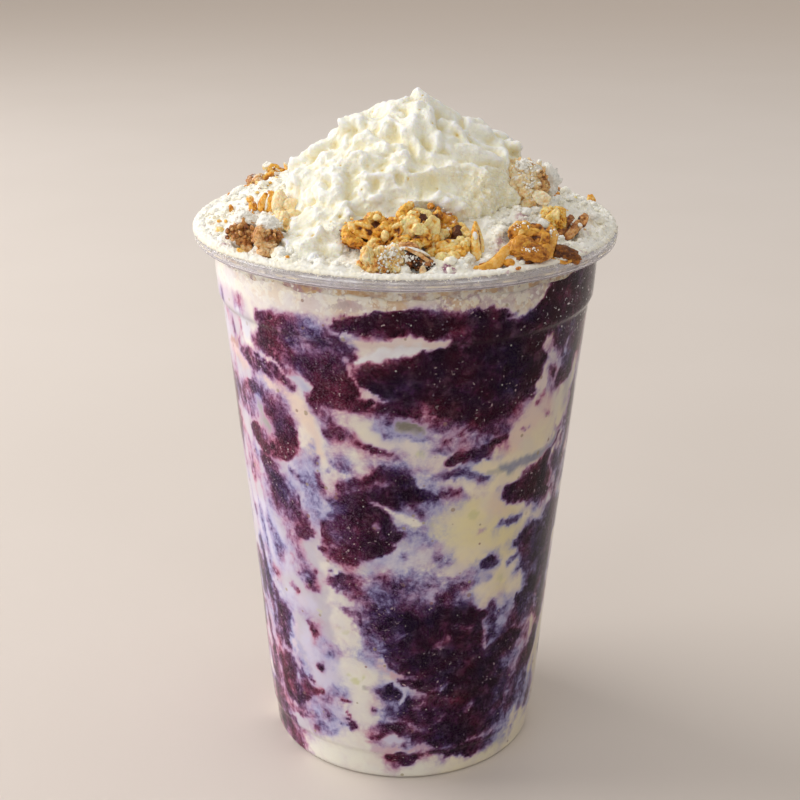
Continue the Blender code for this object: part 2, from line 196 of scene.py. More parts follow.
# ------------------------------------------------------------------ node helpers
class Tree:
    """Small helper that builds a material's nodes."""

    def __init__(self, name):
        self.mat = bpy.data.materials.new(name)
        self.mat.use_nodes = True
        self.t = self.mat.node_tree
        self.t.nodes.clear()
        self.out = self.t.nodes.new("ShaderNodeOutputMaterial")

    def node(self, kind, **values):
        n = self.t.nodes.new("ShaderNode" + kind)
        for k, v in values.items():
            setattr(n, k, v)
        return n

    def link(self, a, b):
        self.t.links.new(a, b)

    def put(self, socket, value):
        if isinstance(value, bpy.types.NodeSocket):
            self.link(value, socket)
        elif isinstance(value, (tuple, list)) and len(value) == 3 and socket.type == "RGBA":
            socket.default_value = (*value, 1.0)
        else:
            socket.default_value = value

    def math(self, op, a, b=0.0, c=0.0, clamp=False):
        n = self.node("Math", operation=op, use_clamp=clamp)
        for s, v in zip(n.inputs, (a, b, c)):
            self.put(s, v)
        return n.outputs[0]

    def mix(self, fac, a, b, blend="MIX"):
        n = self.node("Mix", data_type="RGBA", blend_type=blend)
        n.clamp_factor = True
        self.put(n.inputs[0], fac)
        self.put(n.inputs[6], a)
        self.put(n.inputs[7], b)
        return n.outputs[2]

    def ramp(self, fac, lo, hi, to_lo=0.0, to_hi=1.0, soft=True):
        n = self.node("MapRange", interpolation_type="SMOOTHSTEP" if soft else "LINEAR")
        self.put(n.inputs[0], fac)
        for i, v in zip((1, 2, 3, 4), (lo, hi, to_lo, to_hi)):
            self.put(n.inputs[i], v)
        return n.outputs[0]

    def coords(self):
        return self.node("TexCoord").outputs["Object"]

    def noise(self, scale, detail=2.0, rough=0.5, vec=None, distortion=0.0):
        """Noise with scale in features per metre of the object's own space."""
        n = self.node("TexNoise")
        self.link(vec if vec is not None else self.coords(), n.inputs["Vector"])
        n.inputs["Scale"].default_value = scale
        n.inputs["Detail"].default_value = detail
        n.inputs["Roughness"].default_value = rough
        n.inputs["Distortion"].default_value = distortion
        return n.outputs[0]

    def voronoi(self, scale, feature="F1", vec=None, out="Distance", randomness=1.0):
        n = self.node("TexVoronoi", feature=feature)
        self.link(vec if vec is not None else self.coords(), n.inputs["Vector"])
        n.inputs["Scale"].default_value = scale
        n.inputs["Randomness"].default_value = randomness
        return n.outputs[out]

    def stirred(self, scale, reach):
        """Object coordinates pushed about by noise, by up to about half the reach in metres."""
        n = self.node("TexNoise")
        self.link(self.coords(), n.inputs["Vector"])
        n.inputs["Scale"].default_value = scale
        n.inputs["Detail"].default_value = 3.0
        a = self.node("VectorMath", operation="SUBTRACT")
        self.link(n.outputs["Color"], a.inputs[0])
        a.inputs[1].default_value = (0.5, 0.5, 0.5)
        b = self.node("VectorMath", operation="MULTIPLY_ADD")
        self.link(a.outputs[0], b.inputs[0])
        b.inputs[1].default_value = (reach, reach, reach)
        self.link(self.coords(), b.inputs[2])
        return b.outputs[0]

    def pressed_crumbs(self, scale):
        """Colour of crumbs pressed against a clear wall: ivory with yellow, tan and rosy bits, and dark gaps between
        them that are painted shade.
        """
        vec = self.stirred(700, 0.0016)
        c = self.mix(self.ramp(self.noise(scale * 0.30, 5.0, 0.68, vec), 0.44, 0.58), (0.84, 0.79, 0.69), (0.84, 0.74, 0.52))
        c = self.mix(self.ramp(self.noise(scale * 0.30, 5.0, 0.66, vec, 0.3), 0.49, 0.56, 0.0, 0.85), c, (0.60, 0.36, 0.18))
        c = self.mix(self.ramp(self.noise(scale * 0.27, 5.0, 0.66, vec, 0.4), 0.51, 0.59, 0.0, 0.75), c, (0.42, 0.23, 0.32))
        # painted shade: the dark gaps between the crumbs
        c = self.mix(self.ramp(self.noise(scale * 0.9, 4.0, 0.66, vec), 0.54, 0.63, 0.0, 0.70), c, (0.32, 0.19, 0.20))
        cell = self.node("SeparateColor")
        self.link(self.voronoi(scale * 1.5, vec=vec, out="Color"), cell.inputs[0])
        bit = self.math("MULTIPLY", self.ramp(self.voronoi(scale * 1.5, vec=vec), 0.28, 0.50, 1.0, 0.0), self.ramp(cell.outputs[0], 0.60, 0.66))
        return self.mix(self.math("MULTIPLY", bit, 0.85), c, (0.95, 0.92, 0.86))

    def attr(self, name, out="Fac"):
        return self.node("Attribute", attribute_name=name).outputs[out]

    def bump(self, height, strength, distance, normal=None):
        n = self.node("Bump")
        self.put(n.inputs["Height"], height)
        n.inputs["Strength"].default_value = strength
        n.inputs["Distance"].default_value = distance
        if normal is not None:
            self.link(normal, n.inputs["Normal"])
        return n.outputs[0]

    def principled(self, color, rough=0.5, normal=None, **extra):
        n = self.node("BsdfPrincipled")
        self.put(n.inputs["Base Color"], color)
        self.put(n.inputs["Roughness"], rough)
        if normal is not None:
            self.link(normal, n.inputs["Normal"])
        for k, v in extra.items():
            self.put(n.inputs[k.replace("_", " ")], v)
        return n.outputs[0]

    def finish(self, shader):
        self.link(shader, self.out.inputs["Surface"])
        return self.mat


# ------------------------------------------------------------------ camera, floor, light
def look_matrix(loc, pitch_down, roll):
    """Camera matrix looking along +Y, tipped down, turned about its own axis."""
    m = Matrix.Rotation(math.radians(90 - pitch_down), 4, "X")
    m = m @ Matrix.Rotation(math.radians(roll), 4, "Z")
    return Matrix.Translation(loc) @ m


cam_data = bpy.data.cameras.new("camera")
cam_data.lens = 66.34
cam_data.sensor_width = 36.0
cam_data.clip_start = 0.01
cam = bpy.data.objects.new("camera", cam_data)
bpy.context.scene.collection.objects.link(cam)
cam.matrix_world = look_matrix(Vector((-0.001186, -0.33558, 0.21904)), 21.497, 0.298)
bpy.context.scene.camera = cam


def make_floor():
    me = bpy.data.meshes.new("floor")
    bm = bmesh.new()
    bmesh.ops.create_grid(bm, x_segments=1, y_segments=1, size=3.0)
    bm.to_mesh(me)
    bm.free()
    ob = bpy.data.objects.new("floor", me)
    bpy.context.scene.collection.objects.link(ob)
    t = Tree("floor_pale")
    n = t.noise(9.0, 2.0)
    col = t.mix(t.ramp(n, 0.3, 0.7), (0.672, 0.602, 0.545), (0.686, 0.616, 0.560))
    # painted shade: the floor turns darker and browner towards the back, where less light reaches it
    far = t.node("SeparateXYZ")
    t.link(t.coords(), far.inputs[0])
    col = t.mix(t.ramp(far.outputs[1], 0.55, 1.7), col, (0.575, 0.470, 0.385))
    me.materials.append(t.finish(t.principled(col, 0.42, Specular_IOR_Level=0.35)))


def area(name, loc, target, size, power, color=(1, 1, 1), size_y=None):
    d = bpy.data.lights.new(name, "AREA")
    d.shape = "RECTANGLE" if size_y else "SQUARE"
    d.size = size
    if size_y:
        d.size_y = size_y
    d.energy = power
    d.color = color
    ob = bpy.data.objects.new(name, d)
    bpy.context.scene.collection.objects.link(ob)
    ob.location = loc
    ob.rotation_euler = (Vector(target) - Vector(loc)).to_track_quat("-Z", "Y").to_euler()
    return ob


def make_light():
    world = bpy.data.worlds.new("studio")
    bpy.context.scene.world = world
    world.use_nodes = True
    bg = world.node_tree.nodes["Background"]
    bg.inputs[0].default_value = (1.0, 0.97, 0.94, 1)
    bg.inputs[1].default_value = 0.64
    # a broad window to the left and a little behind, and a weak fill from the front left
    area("window", (-0.95, 0.30, 0.75), (0, 0, 0.08), 0.9, 11.0, (1.0, 0.985, 0.97), 0.8)
    area("fill", (-0.75, -0.85, 0.55), (0, 0, 0.07), 0.8, 2.0, (1.0, 0.985, 0.97))
    scene = bpy.context.scene
    scene.view_settings.view_transform = "Standard"
    scene.view_settings.look = "None"
    scene.view_settings.exposure = 0.0


# ------------------------------------------------------------------ the cup
RIM_R, RIM_TOP, RIM_LOW = 49.0, 132.5, 129.3
WALL = 0.5
OUTER = [  # outer face of the wall, radius and height, from the foot up to the roll
    (32.2, 0.0), (32.75, 0.25), (33.05, 1.0), (33.25, 4.0), (33.55, 6.9), (33.66, 7.35), (34.0, 7.8), (34.12, 8.5),
    (34.9, 17.0), (36.5, 40.0), (38.25, 60.0), (40.1, 80.0), (41.85, 100.0), (43.05, 112.6), (43.28, 114.9),
    (43.42, 115.8), (43.95, 116.4), (44.27, 117.2), (44.35, 118.5), (44.62, 123.0), (44.86, 128.6),
]


def outer_r(z):
    p = np.array(OUTER)
    return np.interp(z, p[:, 1], p[:, 0])


def catmull(points, per=6):
    """A smooth line through the points."""
    p = np.asarray(points, float)
    p = np.vstack([2 * p[0] - p[1], p, 2 * p[-1] - p[-2]])
    out = []
    for i in range(1, len(p) - 2):
        for k in range(per):
            t = k / per
            out.append(0.5 * ((2 * p[i]) + (-p[i - 1] + p[i + 1]) * t + (2 * p[i - 1] - 5 * p[i] + 4 * p[i + 1] - p[i + 2]) * t * t
                              + (-p[i - 1] + 3 * p[i] - 3 * p[i + 1] + p[i + 2]) * t ** 3))
    out.append(p[-2])
    return np.array(out)


def offset(line, dist):
    d = np.gradient(line, axis=0)
    d /= np.linalg.norm(d, axis=1)[:, None]
    return line + dist * np.stack([-d[:, 1], d[:, 0]], -1)


def make_cup():
    h = WALL / 2
    # middle line of the sheet: end of the roll, over the rim, down the wall, under the base
    roll = catmull([(47.3, RIM_LOW + 0.55), (48.1, RIM_LOW + 0.28), (48.62, RIM_LOW + 0.62), (48.75, RIM_LOW + 1.5),
                    (48.62, RIM_LOW + 2.25), (48.05, RIM_TOP - 0.42), (47.2, RIM_TOP - h), (46.1, RIM_TOP - 0.52),
                    (45.25, RIM_TOP - 1.45), (44.8, RIM_LOW + 0.7), (44.62, 128.6)], 5)
    wall = np.array(OUTER)[::-1][1:-2]
    wall = wall - [h, 0]
    low = catmull([(wall[-1][0], wall[-1][1]), (32.45, 0.42), (31.7, h), (30.6, h), (29.6, 0.65), (28.6, 1.45), (27.4, 1.98), (24.0, 2.02)], 4)
    line = np.vstack([roll, wall, low[1:]])
    outside, inside = offset(line, h), offset(line, -h)
    if outside[5][1] < line[5][1]:
        outside, inside = inside, outside
    path = np.vstack([outside[::-1], inside])
    cup = lathe("clear_cup_shell", path, 168, (0, 0, outside[-1][1]), (0, 0, inside[-1][1]))
    # plain wall, and the thicker looking roll with its powder haze, painted highlight lines and a painted shade line
    for name, ior, lo, hi, tint in (("clear_sheet", 1.17, 0.03, 0.08, (0.985, 0.985, 0.99)), ("clear_roll", 1.42, 0.03, 0.14, (0.985, 0.985, 0.99))):
        t = Tree(name)
        # faint handling haze and flow marks of the drawn sheet
        haze = t.ramp(t.noise(60, 3.0), 0.35, 0.75, lo, hi)
        height = t.math("ADD", t.noise(45, 1.0), t.math("MULTIPLY", t.noise(900, 2.0), 0.03))
        nrm = t.bump(height, 0.10, 0.002)
        glass = t.principled(tint, haze, nrm, Transmission_Weight=1.0, IOR=ior)
        clear = t.node("BsdfTransparent")
        clear.inputs[0].default_value = (0.96, 0.96, 0.965, 1)
        path_n = t.node("LightPath")
        mixer = t.node("MixShader")
        t.link(path_n.outputs["Is Shadow Ray"], mixer.inputs[0])
        if name == "clear_roll":
            here = t.node("NewGeometry")
            up = t.node("SeparateXYZ")
            t.link(here.outputs["Position"], up.inputs[0])
            zmm = t.math("MULTIPLY", up.outputs[2], 1000.0)

            def line(mid, half, fade=0.09):
                low = t.ramp(zmm, mid - half - fade, mid - half + fade)
                return t.math("MULTIPLY", low, t.ramp(zmm, mid + half - fade, mid + half + fade, 1.0, 0.0))

            # painted highlights: two thin bright lines low on the roll and a wider band higher up; painted shade: a
            # dark line between the two thin ones
            broken = t.ramp(t.noise(150, 3.0, 0.6), 0.38, 0.60, 0.35, 1.0)
            bright = t.math("MULTIPLY", t.math("MAXIMUM", line(130.08, 0.07), line(129.52, 0.08)), broken)
            dusky = line(129.80, 0.08)
            through = t.math("MULTIPLY", line(130.66, 0.22, 0.16), t.ramp(t.noise(190, 3.0, 0.6), 0.46, 0.60))
            highlight_band = t.math("MULTIPLY", line(131.45, 0.16, 0.14), t.ramp(t.noise(120, 3.0, 0.6), 0.48, 0.62))
            col = t.mix(t.math("MAXIMUM", bright, highlight_band), (0.80, 0.765, 0.86), (0.97, 0.96, 0.97))
            col = t.mix(through, col, (0.90, 0.80, 0.62))
            col = t.mix(dusky, col, (0.20, 0.13, 0.18))
            veil = t.node("BsdfDiffuse")
            t.link(col, veil.inputs[0])
            share = t.node("MixShader")
            much = t.math("ADD", t.ramp(t.noise(420, 5.0, 0.65), 0.46, 0.72, 0.08, 0.34), t.math("MULTIPLY", bright, 0.45))
            much = t.math("ADD", much, t.math("MULTIPLY", through, 0.42))
            much = t.math("ADD", much, t.math("ADD", t.math("MULTIPLY", dusky, 0.42), t.math("MULTIPLY", highlight_band, 0.35)), clamp=True)
            t.link(much, share.inputs[0])
            t.link(glass, share.inputs[1])
            t.link(veil.outputs[0], share.inputs[2])
            glass = share.outputs[0]
        t.link(glass, mixer.inputs[1])
        t.link(clear.outputs[0], mixer.inputs[2])
        cup.data.materials.append(t.finish(mixer.outputs[0]))
    zc = np.empty(len(cup.data.polygons) * 3, np.float32)
    cup.data.polygons.foreach_get("center", zc)
    cup.data.polygons.foreach_set("material_index", (zc.reshape(-1, 3)[:, 2] > 0.1288).astype(np.int32))
    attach(cup, "root")
    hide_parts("cup")
    return cup


# ------------------------------------------------------------------ the marbled filling
IVORY = (0.86, 0.81, 0.71)
CREAMY = (0.83, 0.77, 0.62)
YELLOW = (0.80, 0.745, 0.50)
BLUSH = (0.83, 0.70, 0.64)
MILK = (0.86, 0.845, 0.86)
LILAC = (0.66, 0.62, 0.76)
FROST = (0.44, 0.44, 0.56)
SLATE = (0.40, 0.40, 0.47)
OLIVE = (0.42, 0.42, 0.34)
GREEN = (0.66, 0.65, 0.36)
ROSE = (0.66, 0.44, 0.50)
MAUVE = (0.50, 0.37, 0.48)

# berry currents: points (azimuth, height, half width in mm), density, softness in mm, hue (0 wine, 1 violet blue)
DARK = [
    # top band under the powder
    ([(-30, 120.6, 0.9), (-27, 120.2, 0.8)], 0.75, 0.9, 0.4),
    ([(-19, 120.2, 1.2), (-10, 120.8, 2.2), (0, 120.8, 2.6), (10, 120.3, 2.4), (18, 120.8, 2.6), (29, 120.5, 3.0)], 1.0, 0.8, 0.35),
    ([(-16, 119.0, 0.8), (-6, 118.6, 0.9), (6, 118.6, 0.9)], 0.7, 0.9, 0.25),
    ([(21.5, 121.6, 3.0), (27, 121.4, 2.8)], 1.0, 0.7, 0.6),
    ([(31, 118.6, 2.8), (37, 120.0, 4.4), (44, 121.4, 6.0), (56, 121.0, 6.6), (70, 120.0, 7.0), (84, 118.0, 6.0)], 1.0, 0.9, 0.4),
    # main upper mass
    ([(-11.5, 108.6, 2.2), (-6, 108.0, 3.9), (2, 107.8, 5.8), (12, 108.2, 7.6), (24, 109.0, 8.4), (34, 109.0, 8.2), (41, 108.8, 5.4)], 1.0, 0.8, 0.48),
    ([(15, 116.6, 2.4), (24, 116.0, 4.4), (33, 115.6, 5.0), (39.5, 114.6, 5.2)], 1.0, 0.8, 0.45),
    ([(8, 101.6, 2.0), (18, 101.0, 3.0), (28, 100.6, 3.8), (34, 101.4, 3.6)], 1.0, 1.0, 0.40),
    ([(37, 100.2, 1.1), (41.5, 101.4, 1.4)], 0.85, 0.8, 0.55),
    ([(43, 104.0, 1.6), (44.6, 107.0, 2.0)], 0.9, 0.8, 0.35),
    # upper right corner, veiled
    ([(49, 114.8, 2.2), (56, 113.0, 4.0), (63, 111.0, 5.0), (72, 109.0, 6.0)], 0.78, 2.0, 0.55),
    ([(50.5, 104.4, 1.4), (55, 102.8, 2.0), (60, 102.0, 1.8), (62, 104.0, 2.2)], 0.80, 1.3, 0.65),
    ([(57, 107.6, 2.0), (62, 106.0, 2.6)], 0.62, 2.0, 0.85),
    # upper left mass, redder
    ([(-47.0, 118.2, 1.5), (-42, 118.0, 2.2), (-36, 117.4, 2.8), (-31, 117.6, 2.4)], 0.92, 1.0, 0.35),
    ([(-45, 114.0, 2.6), (-41, 112.0, 3.2), (-37, 109.4, 3.0)], 0.98, 1.0, 0.35),
    ([(-50, 111.4, 1.0), (-45, 110.8, 1.8)], 0.9, 1.0, 0.35),
    ([(-33, 113.6, 2.6), (-27, 113.2, 3.2), (-21, 112.4, 3.0), (-17, 113.6, 1.8)], 0.86, 1.4, 0.50),
    ([(-27, 117.4, 1.6), (-22, 116.2, 1.8), (-18, 115.2, 1.4)], 0.80, 1.2, 0.45),
    ([(-31, 109.6, 3.0), (-25, 108.4, 4.0), (-20, 107.0, 4.2), (-15, 105.4, 2.6)], 1.0, 0.9, 0.30),
    ([(-27, 103.6, 2.2), (-20, 103.4, 2.2), (-14, 103.2, 1.6)], 1.0, 0.8, 0.28),
    ([(-61.0, 107.0, 0.7), (-57, 106.8, 1.5), (-52, 106.2, 2.0), (-47, 105.4, 1.8), (-42, 104.6, 1.4), (-37, 103.2, 0.9)], 0.82, 1.1, 0.32),
    ([(-30.5, 101.4, 1.0), (-24, 101.6, 1.4), (-14, 101.6, 1.5), (-5, 101.9, 1.6), (2, 101.0, 1.6)], 0.96, 0.8, 0.28),
    ([(-28.5, 100.0, 1.4), (-26, 98.4, 1.5), (-22.5, 96.0, 1.3), (-19, 93.6, 0.8), (-15, 91.6, 0.6), (-9, 90.4, 0.45), (-3.5, 90.4, 0.3)], 0.90, 0.7, 0.22),
    # mottled underside of the main mass
    ([(9, 98.0, 0.9), (14, 97.6, 1.7), (21, 97.0, 3.0), (28, 97.4, 4.0), (33, 98.2, 3.2)], 0.88, 1.6, 0.45),
    ([(7, 92.0, 0.8), (12, 92.2, 1.6), (19, 93.0, 2.2), (26, 93.4, 2.6), (32, 94.4, 1.8)], 0.60, 2.0, 0.80),
    ([(11.5, 93.6, 0.5), (14, 93.8, 0.7), (17, 94.8, 0.4)], 0.9, 0.5, 0.35),
    ([(15.5, 88.4, 0.9), (19, 88.2, 1.5), (23, 88.6, 1.7), (28, 89.8, 1.0), (33, 92.0, 0.7)], 0.94, 0.8, 0.30),
    ([(-10, 97.6, 1.0), (-4, 96.2, 1.7), (4, 94.8, 1.4), (10, 94.4, 0.8)], 0.34, 1.8, 0.90),
    # slate streaks
    ([(11.6, 84.3, 0.7), (15, 84.4, 1.3), (20, 83.8, 1.1), (24, 82.8, 0.7), (27.5, 82.2, 0.4)], 0.62, 0.9, 1.0),
    ([(34, 83.2, 0.7), (40, 84.2, 0.6), (49, 84.3, 0.5)], 0.30, 1.0, 0.9),
    ([(46.7, 99.9, 0.25), (47.4, 99.4, 0.22)], 0.9, 0.3, 0.05),
    ([(45.1, 98.2, 0.25), (45.6, 97.9, 0.2)], 0.8, 0.3, 0.1),
    ([(51.2, 93.9, 0.3), (51.8, 93.3, 0.25)], 0.8, 0.35, 0.1),
    ([(40.2, 92.6, 0.3), (41.0, 92.2, 0.25)], 0.7, 0.4, 0.15),
    ([(55.5, 84.6, 0.8), (60, 87.2, 0.9), (64.5, 89.4, 0.8)], 0.70, 0.9, 0.65),
    ([(45.0, 81.0, 0.7), (46.2, 81.0, 0.5)], 0.75, 0.5, 0.15),
    # right wine current with its arm
    ([(35.5, 77.8, 1.2), (39, 77.0, 1.8), (44, 77.0, 2.6), (50, 77.0, 3.8), (55, 75.4, 3.4), (58.5, 73.0, 1.6)], 0.97, 1.0, 0.40),
    ([(47, 79.6, 1.5), (53, 81.8, 1.7), (57.5, 84.4, 1.2), (62, 87.6, 0.8)], 0.82, 1.0, 0.50),
    ([(49, 73.0, 1.6), (54, 71.6, 1.8), (58, 71.8, 1.3)], 0.62, 1.5, 0.80),
    ([(34.5, 69.2, 0.7), (37.5, 69.0, 1.0), (43, 70.0, 0.6)], 0.60, 0.9, 0.90),
    ([(60.5, 80.0, 2.2), (66, 77.8, 3.4), (71, 74.0, 3.6)], 0.62, 2.4, 0.85),
    ([(69.5, 95.0, 3.0), (71, 90.0, 4.4), (72, 85.0, 3.6)], 0.82, 2.2, 0.50),
    # left upper ring, brown mauve and wine
    ([(-76, 94.6, 3.4), (-70, 95.0, 3.6), (-64, 95.8, 3.8), (-59.5, 94.4, 3.0)], 0.90, 1.8, 0.35),
    ([(-59, 98.6, 1.2), (-53, 98.8, 1.8), (-47, 97.4, 2.6), (-42.5, 94.6, 3.0), (-39.5, 91.4, 2.4)], 0.94, 1.1, 0.30),
    ([(-46.5, 93.4, 2.2), (-45, 90.0, 2.6)], 0.92, 1.1, 0.25),
    ([(-57, 87.6, 1.6), (-52, 86.6, 2.6), (-46.5, 86.4, 3.0), (-41.5, 88.0, 2.8)], 0.92, 1.2, 0.20),
    ([(-80, 87.0, 4.4), (-74, 85.0, 4.0)], 0.85, 2.2, 0.35),
    ([(-64.5, 83.6, 1.4), (-65, 80.0, 1.8)], 0.62, 1.6, 0.20),
    ([(-65.5, 77.6, 2.4), (-63.8, 75.4, 2.2)], 0.80, 1.5, 0.25),
    # left lower mottled plum
    ([(-56, 81.8, 1.3), (-52, 80.0, 2.8), (-48.5, 77.0, 4.2), (-44.5, 73.2, 4.2), (-40.5, 70.2, 3.4), (-37.5, 67.4, 2.6)], 0.86, 1.6, 0.55),
    ([(-54, 73.0, 1.6), (-49, 69.0, 2.0), (-44, 66.0, 1.6)], 0.50, 1.9, 0.75),
    ([(-43, 65.4, 1.6), (-40.5, 61.0, 2.0), (-38, 56.0, 3.2), (-35.5, 52.6, 1.9)], 0.62, 2.0, 0.38),
    # speckled blue band
    ([(-31.5, 89.0, 1.0), (-33, 84.0, 2.6), (-32.5, 79.0, 3.0), (-31.5, 74.0, 2.6), (-31, 71.0, 1.4)], 0.42, 2.4, 0.95),
    ([(-30.2, 86.4, 0.6), (-29.6, 85.0, 0.4)], 0.8, 0.5, 0.2),
    ([(-29.2, 81.6, 0.5), (-28.6, 79.8, 0.7)], 0.8, 0.6, 0.2),
    ([(-40, 82.4, 0.6), (-36, 80.6, 0.8), (-34, 77.8, 0.5)], 0.6, 0.8, 0.9),
    ([(-22.6, 86.4, 0.4), (-20.6, 86.0, 0.8), (-18.6, 85.2, 0.8), (-17.4, 84.4, 0.4)], 0.78, 0.7, 0.9),
    ([(-24.4, 84.4, 0.4), (-22.8, 84.0, 0.3)], 0.55, 0.6, 0.9),
    # centre, feathered
    ([(-25.5, 76.6, 1.0), (-21, 77.4, 2.0), (-15, 78.6, 2.5), (-8, 79.8, 2.7), (-1, 80.2, 2.8), (5, 79.8, 1.9), (11, 79.3, 1.2), (17.5, 79.9, 0.5)], 0.97, 1.0, 0.60),
    ([(-21, 80.8, 0.7), (-16, 81.8, 0.9), (-12, 83.4, 1.3), (-8, 84.8, 1.5), (-3, 85.6, 2.0), (1.5, 83.4, 1.8)], 0.95, 0.9, 0.60),
    ([(-3, 87.4, 0.9), (-5, 87.0, 0.5)], 0.75, 0.7, 0.6),
    ([(3.4, 78.4, 1.2), (5.4, 76.2, 0.9)], 0.80, 0.9, 0.75),
    ([(-28, 66.4, 1.2), (-25.5, 69.0, 2.2), (-21.5, 71.6, 3.2), (-15.5, 73.8, 3.5), (-9, 75.2, 2.7), (-5.5, 73.2, 2.0)], 0.95, 1.0, 0.50),
    ([(-20, 67.4, 3.2), (-13, 68.4, 3.4), (-7, 70.2, 2.6), (-3, 70.8, 1.7)], 0.97, 1.0, 0.55),
    ([(-26.5, 63.4, 2.0), (-20.5, 63.8, 2.8), (-14, 65.0, 2.6), (-7.5, 66.6, 1.8)], 0.95, 1.0, 0.25),
    ([(-24, 60.8, 1.0), (-17, 61.4, 0.9)], 0.75, 1.0, 0.12),
    ([(-0.5, 71.6, 1.2), (4, 70.0, 1.7), (9, 68.2, 1.1)], 0.52, 1.4, 0.98),
    # middle row
    ([(-26.5, 54.6, 0.9), (-23, 55.6, 1.9), (-19.5, 55.8, 2.2), (-16.5, 54.6, 1.4)], 0.88, 1.0, 0.25),
    ([(-23, 53.0, 0.6), (-19, 52.4, 0.8), (-16, 52.6, 0.6)], 0.62, 1.0, 0.35),
    ([(-8, 57.4, 1.2), (-3, 56.8, 2.4), (3, 56.4, 2.8), (8, 56.0, 2.2)], 0.76, 1.7, 0.85),
    ([(12.5, 52.8, 1.8), (17, 53.8, 2.7), (21.5, 55.0, 1.9)], 0.80, 1.4, 0.72),
    ([(27.5, 59.6, 0.6), (30.5, 59.8, 1.3), (33, 60.0, 0.6)], 0.90, 0.6, 0.75),
    ([(12.0, 62.6, 0.8), (14.4, 61.8, 0.8)], 0.72, 0.7, 0.95),
    ([(40, 58.0, 0.5), (43, 58.6, 0.4)], 0.55, 0.7, 0.9),
    ([(-12, 61.2, 1.6), (-9, 60.0, 1.8)], 0.30, 1.6, 0.7),
    ([(-7.0, 99.0, 0.8), (-1.0, 99.2, 1.2), (6.0, 98.4, 1.2), (11.0, 96.4, 0.9)], 0.60, 1.4, 0.55),
    ([(-5.0, 95.0, 0.7), (2.0, 94.2, 0.9), (8.5, 93.8, 0.7)], 0.42, 1.4, 0.85),
    ([(-6, 63.4, 2.0), (2, 63.0, 2.6), (9, 64.0, 2.0)], 0.24, 2.6, 0.95),
    ([(22, 57.4, 1.0), (27, 56.4, 1.4), (31, 56.0, 1.0)], 0.34, 1.8, 0.9),
    # big lower mass: violet shoulder, then the dark body
    ([(-22, 48.4, 0.7), (-18, 47.6, 1.1), (-13, 47.6, 2.2)], 0.84, 1.2, 0.55),
    ([(-12, 45.0, 3.4), (-10, 40.6, 3.4), (-7, 36.6, 3.2)], 0.70, 2.8, 0.92),
    ([(-10, 48.6, 2.0), (-4, 49.0, 2.6), (4, 49.2, 2.4), (10, 48.0, 2.0)], 0.86, 1.9, 0.80),
    ([(-6, 45.0, 3.2), (3, 45.4, 4.2), (12, 45.0, 4.6), (21, 44.2, 4.8), (26.5, 43.4, 3.2)], 1.0, 1.1, 0.55),
    ([(28, 44.6, 1.7), (30, 44.4, 1.2)], 0.85, 0.7, 0.12),
    ([(-2, 38.6, 3.8), (7, 38.0, 6.0), (17, 37.4, 7.4), (25, 37.0, 5.4)], 1.0, 1.1, 0.40),
    ([(4, 31.6, 3.8), (13, 29.6, 5.8), (23, 28.8, 7.0), (32, 27.4, 6.2)], 1.0, 1.0, 0.42),
    ([(-6.6, 25.8, 1.3), (-3.6, 25.8, 2.4), (-0.6, 24.4, 2.2)], 0.98, 0.8, 0.70),
    ([(3.5, 20.8, 3.2), (12, 18.8, 5.4), (22, 17.4, 6.6), (31, 16.6, 6.0), (37, 15.4, 4.0)], 1.0, 1.0, 0.45),
    ([(-3, 20.0, 1.6), (1, 18.8, 2.0)], 0.9, 1.0, 0.5),
    ([(-11.5, 12.6, 1.2), (-9.5, 14.4, 1.3), (-5.5, 15.2, 1.3), (-0.5, 14.6, 1.5), (2.5, 12.4, 1.8), (-1, 10.6, 0.9)], 0.96, 0.8, 0.40),
    ([(4, 12.6, 3.0), (14, 12.0, 3.4), (25, 12.0, 3.4), (34, 12.0, 3.0), (38.5, 12.4, 2.2)], 0.97, 1.0, 0.45),
    ([(-6, 34.8, 1.4), (-2, 33.4, 1.3)], 0.92, 0.9, 0.35),
    # right of it
    ([(33.6, 46.0, 1.4), (35.6, 43.6, 2.2), (35.0, 39.6, 2.2)], 0.74, 1.4, 0.88),
    ([(38.5, 43.6, 2.4), (41.5, 39.6, 2.6), (48, 42.6, 2.8), (54, 44.0, 3.0)], 0.66, 2.0, 0.85),
    ([(34, 33.6, 2.6), (40, 33.6, 3.2), (46, 34.0, 3.4), (51.5, 34.4, 2.2)], 1.0, 1.0, 0.30),
    ([(45.5, 40.0, 1.2), (50, 39.0, 1.4), (54, 41.0, 1.6)], 0.72, 1.3, 0.35),
    ([(46.6, 46.2, 1.1), (47.6, 44.8, 0.9)], 0.97, 0.6, 0.45),
    ([(57, 49.0, 2.0), (58.5, 46.6, 2.2)], 0.90, 1.2, 0.50),
    ([(38, 26.0, 4.6), (44, 22.0, 5.4), (44, 14.0, 4.6)], 0.84, 2.2, 0.70),
    ([(50, 28.8, 2.0), (55, 26.6, 3.2), (60, 27.8, 3.6), (63.5, 30.0, 2.6)], 0.86, 1.8, 0.45),
    ([(48, 15.0, 3.0), (56, 17.0, 4.2), (62, 13.0, 4.0)], 0.70, 2.4, 0.9),
    ([(60, 40.6, 2.6), (66, 39.4, 4.2), (74, 38.0, 4.0)], 0.74, 2.4, 0.10),
    ([(44.5, 62.0, 1.8), (48, 61.6, 3.6), (53, 60.8, 5.0), (57, 58.0, 4.6)], 0.94, 1.6, 0.72),
    ([(49, 56.4, 2.4), (53, 54.6, 2.6)], 0.80, 1.8, 0.80),
    ([(60.5, 57.0, 4.0), (65.5, 50.6, 5.0), (63, 45.0, 3.0)], 0.84, 2.2, 0.80),
    ([(62, 66.0, 2.6), (69, 64.6, 4.0), (78, 62.0, 4.0)], 0.70, 2.4, 0.8),
    # lower left
